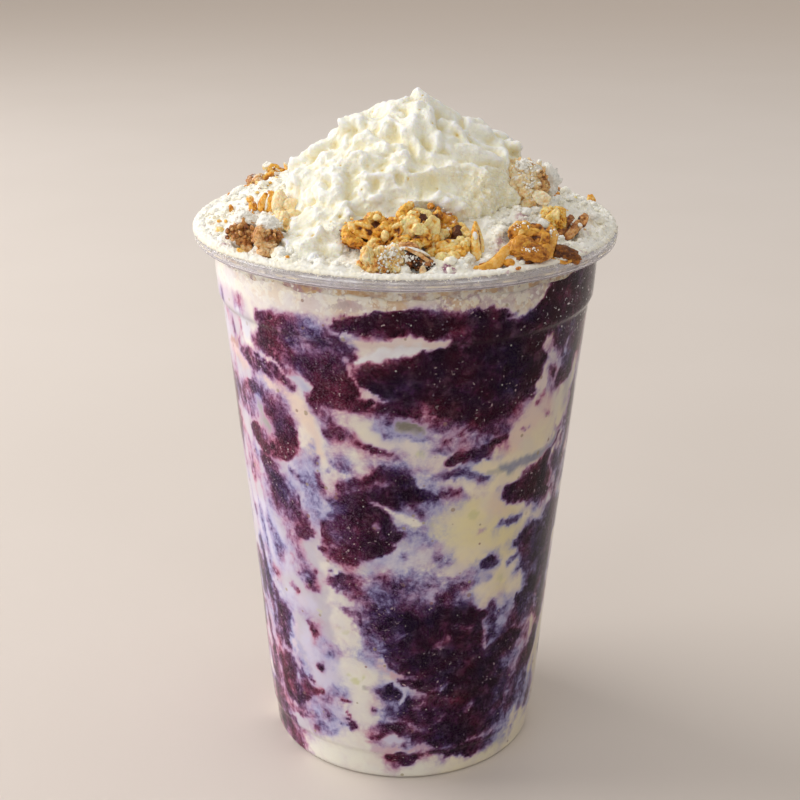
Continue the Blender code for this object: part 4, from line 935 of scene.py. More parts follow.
    # how much the stirring noise may break up the berry
    amp = t.math("ADD", t.ramp(dens_s, 0.03, 0.50, 0.04, 0.46), t.math("MULTIPLY", dens_s, 0.42))
    swirl = t.math("MULTIPLY", t.math("SUBTRACT", t.noise(300, 7.0, 0.68, distortion=0.9), 0.5), 1.35)
    broad = t.math("MULTIPLY", t.math("SUBTRACT", t.noise(125, 3.0, 0.6), 0.5), 0.75)
    grain = t.math("MULTIPLY", t.math("SUBTRACT", t.noise(950, 4.0, 0.66), 0.5), 0.85)
    value = t.math("ADD", dens_s, t.math("MULTIPLY", amp, t.math("ADD", t.math("ADD", swirl, broad), grain)))
    hue_n = t.math("ADD", hue_s, t.math("MULTIPLY", t.math("SUBTRACT", t.noise(180, 3.0, 0.55), 0.5), 2.0), clamp=True)
    blot = t.ramp(t.noise(150, 4.0, 0.6), 0.40, 0.68)
    blot2 = t.ramp(t.noise(260, 4.0, 0.6, distortion=0.5), 0.46, 0.70)
    pale1 = t.mix(t.math("MULTIPLY", blot, 0.26), pale, (0.66, 0.60, 0.70))
    pale1 = t.mix(t.math("MULTIPLY", blot2, 0.20), pale1, (0.72, 0.56, 0.55))
    tint = t.mix(hue_n, (0.59, 0.29, 0.40), (0.41, 0.385, 0.61))
    mid = t.mix(hue_n, (0.290, 0.070, 0.140), (0.160, 0.115, 0.265))
    deep = t.mix(hue_n, (0.128, 0.018, 0.046), (0.056, 0.025, 0.094))
    ink = t.mix(hue_n, (0.0290, 0.0040, 0.0120), (0.0125, 0.0042, 0.0200))
    c = t.mix(t.ramp(value, 0.08, 0.40), pale1, tint)
    c = t.mix(t.ramp(value, 0.30, 0.58), c, mid)
    c = t.mix(t.ramp(value, 0.48, 0.72), c, deep)
    c = t.mix(t.ramp(value, 0.64, 1.02), c, ink)
    body = t.ramp(value, 0.5, 0.7)
    # the blended fruit is grainy: skins and crystals, more of them where it is thin
    thin = t.ramp(dens_s, 0.72, 0.97, 1.0, 0.14)
    g_light = t.math("MULTIPLY", t.ramp(t.noise(2100, 2.0, 0.55), 0.50, 0.66), t.math("MULTIPLY", t.ramp(value, 0.42, 0.60), thin))
    g_dark = t.math("MULTIPLY", t.ramp(t.noise(1700, 3.0, 0.6), 0.52, 0.66), t.ramp(value, 0.40, 0.62))
    # inside the masses: dusky patches, near-black clots
    dusk = t.math("MULTIPLY", t.ramp(t.noise(330, 6.0, 0.68, distortion=0.4), 0.50, 0.70), body)
    c = t.mix(t.math("MULTIPLY", dusk, 0.62), c, t.mix(hue_n, (0.170, 0.062, 0.088), (0.098, 0.062, 0.128)))
    clot = t.math("MULTIPLY", t.ramp(t.noise(240, 5.0, 0.66, distortion=0.3), 0.50, 0.66), body)
    c = t.mix(t.math("MULTIPLY", clot, 0.72), c, (0.0105, 0.0030, 0.0100))
    c = t.mix(t.math("MULTIPLY", g_light, 0.34), c, t.mix(hue_n, (0.330, 0.175, 0.250), (0.250, 0.190, 0.310)))
    c = t.mix(t.math("MULTIPLY", g_dark, 0.50), c, ink)
    # crumbs and powder pressed to the wall near the top
    high = t.node("NewGeometry")
    zed = t.node("SeparateXYZ")
    t.link(high.outputs["Position"], zed.inputs[0])
    near_top = t.math("MULTIPLY", t.ramp(zed.outputs[2], 0.1195, 0.1255), t.ramp(value, 0.30, 0.52, 1.0, 0.0))
    c = t.mix(t.math("MULTIPLY", near_top, t.ramp(t.noise(190, 4.0, 0.6), 0.36, 0.56, 0.25, 0.95)), c, t.mix(t.ramp(zed.outputs[0], -0.026, -0.006, 0.62, 0.14), t.pressed_crumbs(640), (0.93, 0.88, 0.80)))
    # ice crystals in the dark, sparks in the upper right, specks of fruit in the pale
    ice = t.voronoi(1150)
    ice_on = t.ramp(t.noise(190, 3.0, 0.6), 0.46, 0.66)
    ice_cell = t.voronoi(1150, out="Color")
    sep1 = t.node("SeparateColor")
    t.link(ice_cell, sep1.inputs[0])
    ice_m = t.math("MULTIPLY", t.ramp(ice, 0.10, 0.36, 1.0, 0.0), t.math("MULTIPLY", ice_on, body))
    ice_m = t.math("MULTIPLY", ice_m, t.ramp(sep1.outputs[0], 0.55, 0.85))
    c = t.mix(t.math("MULTIPLY", ice_m, 0.5), c, (0.38, 0.27, 0.38))
    spark_cell = t.voronoi(520, out="Color")
    sep0 = t.node("SeparateColor")
    t.link(spark_cell, sep0.inputs[0])
    spark = t.math("MULTIPLY", t.ramp(t.voronoi(520), 0.05, 0.12, 1.0, 0.0), t.ramp(sep0.outputs[1], 0.78, 0.84))
    c = t.mix(t.math("MULTIPLY", t.math("MULTIPLY", spark, body), 0.85), c, (0.86, 0.76, 0.74))
    drift = t.ramp(t.noise(95, 3.0, 0.6), 0.46, 0.62)
    fleck = t.math("MULTIPLY", t.ramp(t.noise(1150, 2.0, 0.5, distortion=0.6), 0.655, 0.72), t.math("MULTIPLY", drift, body))
    c = t.mix(t.math("MULTIPLY", fleck, 0.85), c, t.mix(t.noise(300, 1.0), (0.56, 0.33, 0.38), (0.72, 0.60, 0.60)))
    # bright slivers of ice in the upper right, with fine frost towards the edge
    region = t.math("MULTIPLY", t.ramp(zed.outputs[0], 0.0255, 0.0310), t.ramp(zed.outputs[2], 0.1090, 0.1135))
    sliver = t.ramp(t.noise(1050, 2.0, 0.5, distortion=0.5), 0.665, 0.705)
    c = t.mix(t.math("MULTIPLY", t.math("MULTIPLY", sliver, region), t.ramp(value, 0.40, 0.56)), c, (0.84, 0.78, 0.80))
    edge = t.math("MULTIPLY", t.ramp(zed.outputs[0], 0.0335, 0.0420), t.ramp(zed.outputs[2], 0.1030, 0.1130))
    frost = t.math("MULTIPLY", t.ramp(t.noise(2300, 3.0, 0.6), 0.54, 0.62), t.math("MULTIPLY", edge, t.ramp(t.noise(260, 3.0, 0.6), 0.42, 0.58)))
    c = t.mix(t.math("MULTIPLY", frost, 0.42), c, (0.56, 0.48, 0.54))
    speck = t.voronoi(460)
    pick = t.voronoi(460, out="Color")
    sep = t.node("SeparateColor")
    t.link(pick, sep.inputs[0])
    rare = t.ramp(sep.outputs[0], 0.84, 0.88)
    size = t.math("ADD", 0.10, t.math("MULTIPLY", sep.outputs[2], 0.14))
    dot = t.ramp(t.math("SUBTRACT", speck, size), 0.0, 0.08, 1.0, 0.0)
    speck_m = t.math("MULTIPLY", t.math("MULTIPLY", dot, rare), t.math("SUBTRACT", 1.0, body))
    speck_rgb = t.mix(sep.outputs[1], (0.30, 0.13, 0.12), (0.42, 0.36, 0.20))
    c = t.mix(t.math("MULTIPLY", speck_m, 0.7), c, speck_rgb)
    ob.data.materials.append(t.finish(t.principled(c, 0.6, None, Specular_IOR_Level=0.0)))
    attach(ob, "root")
    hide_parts("acai_filling")
    return ob


# ------------------------------------------------------------------ places seen by the camera
CAM_F = 1474.24  # focal length in pixels of an 800 px frame
CAM_O = np.array([-1.186, -335.58, 219.04])
_R, _F, _U = np.array([1.0, 0, 0]), np.array([0, math.cos(math.radians(21.497)), -math.sin(math.radians(21.497))]), \
    np.array([0, math.sin(math.radians(21.497)), math.cos(math.radians(21.497))])
_ROLL = math.radians(0.298)
CAM_RIGHT = _R * math.cos(_ROLL) - _U * math.sin(_ROLL)
CAM_UP = _U * math.cos(_ROLL) + _R * math.sin(_ROLL)


def ray(px, py):
    d = _F + CAM_RIGHT * ((px - 400) / CAM_F) + CAM_UP * ((400 - py) / CAM_F)
    return d / np.linalg.norm(d)


def heap_look(x, y):
    x, y = np.asarray(x, float), np.asarray(y, float)
    return smooth_top(x, y) + knobs(x, y)


def project(p):
    """Pixels of points in mm."""
    q = np.asarray(p, float) - CAM_O
    z = q @ _F
    return 400 + CAM_F * (q @ CAM_RIGHT) / z, 400 - CAM_F * (q @ CAM_UP) / z


def spot(px, py, y):
    """The point in mm at depth y on the line of sight through a pixel."""
    d = ray(px, py)
    return CAM_O + d * ((y - CAM_O[1]) / d[1])


def hit(px, py, height, y0=-60.0, y1=40.0):
    """Where the line of sight first meets a height field; None where it passes over."""
    d = ray(px, py)
    y = np.arange(y0, y1, 0.2)
    p = CAM_O + d * ((y - CAM_O[1]) / d[1])[:, None]
    under = p[:, 2] <= height(p[:, 0], p[:, 1])
    return p[np.argmax(under)] if under.any() else None


# ------------------------------------------------------------------ building blocks
_ICO = {}


def ico(sub):
    if sub not in _ICO:
        bm = bmesh.new()
        bmesh.ops.create_icosphere(bm, subdivisions=sub, radius=1.0)
        bm.verts.ensure_lookup_table()
        v = np.array([p.co[:] for p in bm.verts])
        f = np.array([[q.index for q in p.verts] for p in bm.faces])
        bm.free()
        _ICO[sub] = (v / np.linalg.norm(v, axis=1)[:, None], f)
    return _ICO[sub]


def frame_of(normal, along=None):
    """Rotation with columns (long axis, short axis, normal)."""
    n = np.asarray(normal, float)
    n = n / np.linalg.norm(n)
    a = np.asarray(along if along is not None else (1, 0, 0), float)
    a = a - n * (a @ n)
    if np.linalg.norm(a) < 1e-3:
        a = np.cross(n, (0, 1, 0))
    a = a / np.linalg.norm(a)
    return np.stack([a, np.cross(n, a), n], 1)


class Pile:
    """Collects closed shapes into one mesh, with a tone and a dust value per point."""

    def __init__(self):
        self.v, self.f, self.a, self.n = [], [], {}, 0

    def add(self, v, f, **attrs):
        self.v.append(v)
        self.f.append(f + self.n)
        self.n += len(v)
        for k in ATTRS:
            val = attrs.get(k, 0.0)
            self.a.setdefault(k, []).append(np.broadcast_to(np.asarray(val, float), (len(v),)).copy())

    def build(self, name):
        ob = mesh_object(name, np.vstack(self.v), np.vstack(self.f))
        for k in ATTRS:
            float_attr(ob, k, np.concatenate(self.a[k]))
        return ob


ATTRS = ("tone", "dust", "deep")


def blob(pile, c, radii, sub=3, rough=0.15, freq=1.2, rot=None, seed=0.0, tone=0.5, fold=0.0, **at):
    """An uneven ball; fold cuts creases into it."""
    u, f = ico(sub)
    radii = np.broadcast_to(np.asarray(radii, float), (3,))
    q = u * freq + seed * 7.31
    k = 1 + rough * N1.fbm(q, 3) + 0.45 * rough * (np.abs(N3(q * 2.6)) * 1.8 - 0.5)
    if fold:
        k = k - fold * np.clip(1 - np.abs(N2(q * 0.8 + 3)) * 4.5, 0, 1)
    # deep: how far a point is pressed in, which the materials turn into painted shade
    deep = np.clip((1 - k) * 2.2, 0, 1)
    v = u * radii * k[:, None]
    if rot is not None:
        v = v @ np.asarray(rot).T
    pile.add(v + np.asarray(c, float), f, tone=tone, deep=deep, **at)


def flake(pile, c, normal, along, length, width, thick=0.8, curl=0.35, seed=0.0, tone=0.5, ragged=0.34, rings=11, seg=34, crease=0.10, **at):
    """A rolled, glazed oat: a thin crumpled disc with a ragged edge."""
    M = frame_of(normal, along)
    t = np.linspace(0, 2 * np.pi, seg, endpoint=False)
    s = (np.arange(rings) + 1) / rings
    S, T = np.meshgrid(s, t, indexing="ij")
    edge = 1 + ragged * N2.fbm(np.stack([np.cos(T) * 1.6, np.sin(T) * 1.6, np.full_like(T, seed * 3.1)], -1).reshape(-1, 3), 3).reshape(T.shape) * S
    X, Y = S * np.cos(T) * edge * length / 2, S * np.sin(T) * edge * width / 2
    P = np.stack([X.ravel(), Y.ravel(), np.full(X.size, seed * 5.7)], -1)
    wrinkle = N3.fbm(P * 0.50, 2).reshape(X.shape) * 0.70 + N1(P * 1.5).reshape(X.shape) * 0.22 + np.abs(N2(P * 2.4)).reshape(X.shape) * 0.14
    bend = curl * ((Y / (width / 2)) ** 2) * 0.5 - curl * 0.35 * ((X / (length / 2)) ** 2)
    groove = -crease * np.exp(-(Y / (0.13 * width)) ** 2) * (1 - S ** 2)
    half = thick / 2 * np.sqrt(np.clip(1 - S ** 3.2, 0, 1)) + 0.05
    top, bot = bend + wrinkle + groove + half, bend + wrinkle * 0.8 - half
    pole_t = np.array([[0, 0, wrinkle[0].mean() - crease + thick / 2]])
    pole_b = np.array([[0, 0, wrinkle[0].mean() * 0.8 - thick / 2]])
    vt = np.stack([X, Y, top], -1).reshape(-1, 3)
    vb = np.stack([X[:-1], Y[:-1], bot[:-1]], -1).reshape(-1, 3)
    v = np.vstack([vt, vb, pole_t, pole_b])
    idx = np.arange(rings * seg).reshape(rings, seg)
    bid = idx.copy()
    bid[:-1] = np.arange((rings - 1) * seg).reshape(rings - 1, seg) + rings * seg
    fs = []
    for g, flip in ((idx, False), (bid, True)):
        a, b = g[:-1], np.roll(g[:-1], -1, 1)
        d, e = g[1:], np.roll(g[1:], -1, 1)
        q1 = np.stack([a, d, e], -1).reshape(-1, 3)
        q2 = np.stack([a, e, b], -1).reshape(-1, 3)
        pole = len(v) - (1 if flip else 2)
        q3 = np.stack([np.full(seg, pole), g[0], np.roll(g[0], -1)], -1)
        q = np.vstack([q1, q2, q3])
        fs.append(q[:, ::-1] if flip else q)
    # deep marks the sunken wrinkles and the groove, for painted shade; the tone is made paler on raised wrinkles and
    # darker on sunken ones, painted light and shade, and a little darker at the rim
    deep_t = np.clip(-wrinkle * 1.6 + (-groove) * 1.4, 0, 1).ravel()
    deep = np.concatenate([deep_t, np.full(len(vb), 0.5), [0.4, 0.5]])
    edge_tone = np.concatenate([((S ** 6) * 0.12 - wrinkle * 0.30).ravel(), np.zeros(len(vb)), [0, 0]])
    pile.add(v @ M.T + np.asarray(c, float), np.vstack(fs), tone=np.clip(tone - edge_tone, 0, 1), deep=deep, **at)


def stick(pile, pts, radii, seed=0.0, tone=0.5, flat=1.0, side=(0, 0, 1), seg=14, per=5, rough=0.12, **at):
    """A bent stick or husk through points, with a radius at each; flat squeezes it across side."""
    line = catmull(np.asarray(pts, float), per)
    r = np.interp(np.linspace(0, 1, len(line)), np.linspace(0, 1, len(radii)), radii)
    r = np.convolve(np.pad(r, 2, "edge"), np.ones(5) / 5, "valid")
    d = np.gradient(line, axis=0)
    d /= np.linalg.norm(d, axis=1)[:, None]
    s = np.asarray(side, float)
    b1 = s - d * (d @ s)[:, None]
    b1 /= np.linalg.norm(b1, axis=1)[:, None]
    b2 = np.cross(d, b1)
    t = np.linspace(0, 2 * np.pi, seg, endpoint=False)
    ring = b1[:, None, :] * (np.cos(t) * flat)[None, :, None] + b2[:, None, :] * np.sin(t)[None, :, None]
    P = line[:, None, :] + ring * r[:, None, None]
    q = P.reshape(-1, 3) * 0.8 + seed * 4.3
    k = N2.fbm(q, 3).reshape(len(line), seg) * rough + N1(q * np.array([3, 3, 3.0])).reshape(len(line), seg) * rough * 0.5
    P = P + ring * (k * r.mean())[:, :, None] * 2.0
    idx = np.arange(len(line) * seg).reshape(len(line), seg)
    nxt = np.roll(idx, -1, 1)
    f = np.vstack([np.stack([idx[:-1], nxt[:-1], nxt[1:]], -1).reshape(-1, 3), np.stack([idx[:-1], nxt[1:], idx[1:]], -1).reshape(-1, 3)])
    v = np.vstack([P.reshape(-1, 3), line[0] - d[0] * r[0] * 0.5, line[-1] + d[-1] * r[-1] * 0.5])
    a, b = len(v) - 2, len(v) - 1
    f = np.vstack([f, np.stack([np.full(seg, a), nxt[0], idx[0]], -1), np.stack([np.full(seg, b), idx[-1], nxt[-1]], -1)])
    x, y, z = v[f[:, 0]], v[f[:, 1]], v[f[:, 2]]
    if np.einsum("ij,ij->i", x - line.mean(0), np.cross(y - line.mean(0), z - line.mean(0))).sum() < 0:
        f = f[:, ::-1]
    # deep marks the dents, for painted shade
    deep = np.concatenate([np.clip(-k * 3.5, 0, 1).ravel(), [0.3, 0.3]])
    pile.add(v, f, tone=tone, deep=deep, **at)


def crumbs(pile, pts, size, seed, sub=1, squash=0.75, tone=(0.3, 0.9), jag=0.28, **at):
    """Many small uneven crumbs at once; pts (n, 3) and size (n,)."""
    rng = np.random.default_rng(seed)
    u, f = ico(sub)
    n, m = len(pts), len(u)
    q = rng.normal(size=(n, 4))
    q /= np.linalg.norm(q, axis=1)[:, None]
    w, x, y, z = q.T
    rot = np.stack([1 - 2 * (y * y + z * z), 2 * (x * y - z * w), 2 * (x * z + y * w),
                    2 * (x * y + z * w), 1 - 2 * (x * x + z * z), 2 * (y * z - x * w),
                    2 * (x * z - y * w), 2 * (y * z + x * w), 1 - 2 * (x * x + y * y)], -1).reshape(n, 3, 3)
    sc = np.stack([np.ones(n), rng.uniform(0.7, 1, n), rng.uniform(squash * 0.7, squash, n)], -1)
    lump = 1 + jag * rng.normal(size=(n, m, 1)).clip(-1.6, 1.6) * (0.6 if sub > 1 else 1)
    v = u[None] * lump * sc[:, None, :] * np.asarray(size)[:, None, None]
    v = np.einsum("nij,nmj->nmi", rot, v) + np.asarray(pts)[:, None, :]
    ff = (f[None] + (np.arange(n) * m)[:, None, None]).reshape(-1, 3)
    tt = np.repeat(rng.uniform(tone[0], tone[1], n), m)
    extra = {k: (np.repeat(val, m) if np.ndim(val) else val) for k, val in at.items()}
    # deep marks the dents, for painted shade
    pile.add(v.reshape(-1, 3), ff, tone=tt, deep=np.clip(1 - lump, 0, 1).reshape(-1) * 1.5, **extra)


# ------------------------------------------------------------------ heap and cream forms
def heap_base(x, y):
    """The heap's smooth top, as the solid has it."""
    x, y = np.asarray(x, float), np.asarray(y, float)
    az, r = np.degrees(np.arctan2(y, x)), np.hypot(x, y)
    low = np.maximum(bumpw(az, -90, 80), 0.9 * bumpw(az, -140, 55))
    slope = 0.60 + (0.33 - 0.60) * low
    rise = slope * np.clip(46.6 - r, 0, None)
    crown = 9 - 2 * low
    return 133.2 + crown * np.tanh(rise / crown)


def smooth_top(x, y):
    """The powder's smooth top: lower than the solid's, most of all in front and behind at the right."""
    x, y = np.asarray(x, float), np.asarray(y, float)
    az, r = np.degrees(np.arctan2(y, x)), np.hypot(x, y)
    low = np.maximum(np.maximum(bumpw(az, -90, 80), 0.9 * bumpw(az, -140, 55)), 0.95 * bumpw(az, 22, 75))
    slope = 0.60 + (0.33 - 0.60) * low
    rise = slope * np.clip(46.6 - r, 0, None)
    crown = 9 - 2 * low
    front = bumpw(az, -92, 88)
    drop = front * (0.55 + 0.75 * smooth(46.8, 42.0, r) - 0.5 * smooth(41.0, 33.0, r))
    drop = np.maximum(drop, 0.55 * bumpw(az, 10, 80) * smooth(46.8, 43.0, r))
    return 133.2 + crown * np.tanh(rise / crown) - drop


KNOBS = [  # low lumps of crumbs: pixel, reach and height in mm
    (447, 264, 4.2, 1.7), (436, 270, 2.4, 1.0), (459, 268, 2.6, 1.1), (300, 268, 3.0, 1.1), (318, 270, 2.8, 1.3), (336, 271, 3.0, 1.2), (352, 270, 2.2, 1.0),
    (284, 264, 2.8, 1.1), (268, 260, 2.4, 0.9), (500, 262, 2.2, 0.8), (513, 258, 2.6, 1.2), (530, 268, 2.6, 1.0), (548, 264, 2.4, 0.9), (592, 222, 3.4, 1.5),
    (600, 232, 2.6, 1.0), (586, 210, 3.2, 1.4), (590, 196, 2.6, 1.5), (576, 190, 2.8, 0.9), (232, 222, 2.4, 0.8), (222, 240, 2.2, 0.8), (216, 218, 2.2, 0.6),
    (497, 236, 3.0, 1.4), (487, 224, 3.0, 1.2), (517, 216, 3.2, 1.6), (540, 222, 2.4, 1.0), (586, 246, 2.4, 0.9), (570, 244, 2.2, 0.7), (420, 278, 1.8, 0.5),
]
_KNOBS = []


def knobs(x, y):
    if not _KNOBS:
        for px, py, reach, rise in KNOBS:
            c = hit(px, py, smooth_top)
            if c is not None:
                _KNOBS.append((c[0], c[1], reach, rise))
    z = np.zeros_like(x)
    for cx, cy, reach, rise in _KNOBS:
        z = np.maximum(z, rise * (1 - smooth(0.15, 1.0, np.hypot(x - cx, y - cy) / reach)))
    return z


# pieces on the powder: pixel centre and half size, and how far back they stand
STANDS = [
    (364, 231, 22, 16, -34.5), (414, 226, 23, 22, -33.5), (447, 247, 17, 14, -35.5), (444, 220, 9, 9, -32.0), (475, 241, 6, 21, -36.5),
    (490, 262, 19, 9, -39.5), (531, 241, 24, 22, -35.0), (561, 251, 18, 9, -32.5), (552, 216, 11, 10, -22.0), (570, 226, 16, 14, -22.0),
    (526, 180, 24, 24, -7.5), (264, 203, 8, 12, -12.5), (283, 205, 14, 13, -14.0), (287, 223, 11, 13, -22.5), (242, 234, 14, 21, -24.5),
    (267, 241, 14, 19, -31.5), (274, 169, 13, 7, 17.0), (383, 260, 24, 17, -43.0), (415, 260, 18, 14, -43.0),
]


def carve(p):
    """Lower the powder where it would hide a piece from the front."""
    u, v = project(p)
    z = p[:, 2].copy()
    r = np.hypot(p[:, 0], p[:, 1])
    for px, py, rx, ry, y in STANDS:
        k = 1 - ((u - px) / rx) ** 2
        inside = (k > 0) & (np.abs(v - py) < ry * np.sqrt(np.clip(k, 0, 1))) & (p[:, 1] < y) & (r < 47.0)
        if not inside.any():
            continue
        i = np.nonzero(inside)[0]
        foot = py + ry * np.sqrt(k[i])
        d = _F + CAM_RIGHT * ((u[i] - 400) / CAM_F)[:, None] + CAM_UP * ((400 - foot) / CAM_F)[:, None]
        zl = CAM_O[2] + d[:, 2] * (p[i, 1] - CAM_O[1]) / d[:, 1]
        z[i] = np.minimum(z[i], np.maximum(zl, np.where(r[i] > 44, 131.6, 130.8)))
    return z


def hidden_by(p):
    """Whether loose grains at p would stand in front of a piece."""
    u, v = project(p)
    out = np.zeros(len(p), bool)
    for px, py, rx, ry, y in STANDS:
        out |= (((u - px) / (rx * 0.92)) ** 2 + ((v - py) / (ry * 0.92)) ** 2 < 1) & (p[:, 1] < y + 1.0)
    return out


def cream_reach(az):
    r = 29 + 1.2 * np.sin(np.radians(5 * az + 40)) + 1.0 * np.sin(np.radians(3 * az - 10))
    return r + 14 * bumpw(az, -122, 34) - 3 * bumpw(az, -78, 40)


MOUND = np.array([(0, 158.6), (5, 157.2), (10, 154.2), (15, 151.8), (20, 149.6), (24, 147.0), (27, 143.8), (30, 140.0), (60, 120.0)])


def mound(x, y):
    """The cream's body before its lobes."""
    x, y = np.asarray(x, float), np.asarray(y, float)
    az, r = np.degrees(np.arctan2(y, x)), np.hypot(x - 1.2, y - 0.5)
    z = np.interp(r, MOUND[:, 0], MOUND[:, 1])
    front = bumpw(az, -90, 75)
    z = z - 1.6 * front * smooth(6, 18, r)
    z = z - 1.9 * bumpw(az, 180, 70) * smooth(15.0, 17.5, r) * smooth(28, 22, r)
    z = z + 0.7 * bumpw(az, 176, 40) * smooth(11.0, 12.5, r) * smooth(16.0, 15.0, r)
    tongue = 143.6 - 0.47 * (r - 26) - 12 * (1 - bumpw(az, -122, 46))
    z = np.maximum(z, tongue)
    reach = cream_reach(az)
    return z - 9 * smooth(reach - 0.5, reach + 2.5, np.hypot(x, y))


LOBES = [  # pixel x, y, half width, half height (pixels), half depth (mm), lift (mm), turn (degrees)
    (416, 97, 9, 9, 2.4, 0.0, 0), (415, 90, 3.6, 4.6, 1.0, 0.0, 10), (402, 105, 14, 7, 3.0, 0, 12), (388, 112, 9, 8, 2.6, 0.3, 20),
    (428, 107, 9, 8, 2.6, -0.6, -25), (417, 114, 14, 9, 3.2, 1.2, 0), (411, 131, 15, 17, 3.6, 1.2, -8), (437, 114, 8, 8, 2.4, -0.8, -30),
    (449, 132, 12, 10, 3.0, 0.8, -20), (446, 145, 18, 8, 3.0, 0.4, -14), (475, 134, 13, 10, 3.4, -0.4, -15), (484, 129, 4, 4, 1.6, 0.2, 0),
    (465, 123, 6, 5, 1.8, -0.6, 0), (453, 118, 7, 5, 2.0, -0.8, 0), (507, 151, 11, 9, 3.0, -1.0, 0), (518, 148, 3.4, 5, 1.5, -0.9, 0),
    (509, 142, 3.4, 3.6, 1.3, -0.9, 0), (518, 144, 2.8, 3, 1.2, -0.9, 0), (494, 147, 8, 7, 2.4, -0.9, -20), (480, 157, 19, 6, 2.6, 0.5, -14),
    (462, 150, 9, 5, 2.0, 0.8, -20), (499, 163, 8, 5, 2.0, 0.2, -30), (454, 169, 12, 7, 2.8, 1.0, -8), (463, 165, 7, 4, 1.8, 1.2, -10),
    (443, 172, 8, 4, 1.8, 0.9, 0), (477, 184, 8, 9, 2.8, 1.2, 20), (487, 196, 10, 12, 3.0, 0.6, 0), (505, 196, 13, 13, 3.0, 0.2, 0),
    (521, 187, 10, 10, 3.0, 0.0, 0), (514, 209, 12, 8, 2.8, 0.2, 0), (436, 192, 4.6, 5, 1.8, 1.4, 0), (445, 202, 7, 6, 2.2, 1.1, 20),
    (430, 199, 9, 4, 1.8, 1.0, 5), (412, 201, 13, 4.5, 1.8, 0.8, 8), (458, 206, 9, 7, 2.2, 0.5, 0), (470, 210, 9, 9, 2.4, 0.3, 0),
    (349, 123, 7.5, 7, 2.2, 0.0, 0), (345, 131, 8, 8, 2.4, 0.3, 0), (332, 139, 6, 6, 1.9, 0.0, 0), (317, 147, 11, 6, 2.4, 0.0, 20),
    (303, 155, 10, 6, 2.4, 0.0, 30), (293, 164, 8, 7, 2.2, 0.0, 30), (371, 127, 10, 7, 2.6, 0.8, 15), (383, 131, 8, 10, 2.6, 1.0, 0),
    (360, 140, 12, 7, 2.6, 1.0, 12), (357, 163, 11, 14, 3.0, 1.2, -14), (345, 168, 12, 12, 3.0, 0.6, 0), (391, 171, 6.5, 7, 2.2, 1.3, 10),
    (398, 160, 9, 7, 2.2, 0.8, 0), (385, 150, 11, 7, 2.4, 0.8, 20), (372, 156, 8, 9, 2.4, 0.4, 0), (328, 176, 7, 8, 2.2, 1.3, 20),
    (317, 192, 9, 9, 2.4, 1.2, 30), (335, 194, 8, 7, 2.2, 1.0, 0), (300, 180, 13, 11, 3.0, 0.5, 0), (288, 196, 9, 12, 2.8, 0.3, 0),
    (341, 208, 8, 8, 2.4, 0.9, 0), (348, 215, 3.6, 7, 1.6, 1.7, 12), (310, 215, 12, 9, 3.0, 0.8, 0), (296, 226, 12, 9, 3.0, 0.6, 0),
    (320, 236, 13, 9, 3.0, 0.9, 0), (336, 250, 12, 8, 2.6, 0.9, -10), (302, 246, 12, 8, 2.8, 0.8, 0), (286, 240, 8, 7, 2.4, 0.4, 0),
    (316, 261, 13, 6, 2.2, 0.7, 0), (341, 262, 10, 5, 2.0, 0.6, 0), (372, 200, 12, 6, 2.0, 0.4, 0), (360, 190, 9, 7, 2.2, 0.7, 0),
    (382, 190, 9, 6, 2.0, 0.5, 10), (400, 188, 10, 5, 1.8, 0.3, 10), (324, 160, 12, 8, 2.6, 0.7, 20), (340, 150, 10, 7, 2.4, 0.8, 20),
    (428, 158, 10, 8, 2.4, 0.3, 0), (420, 168, 12, 5, 2.0, 0.4, -5), (276, 262, 8, 5, 2.0, 0.2, 0), (292, 262, 9, 5, 2.0, 0.4, 0),
]


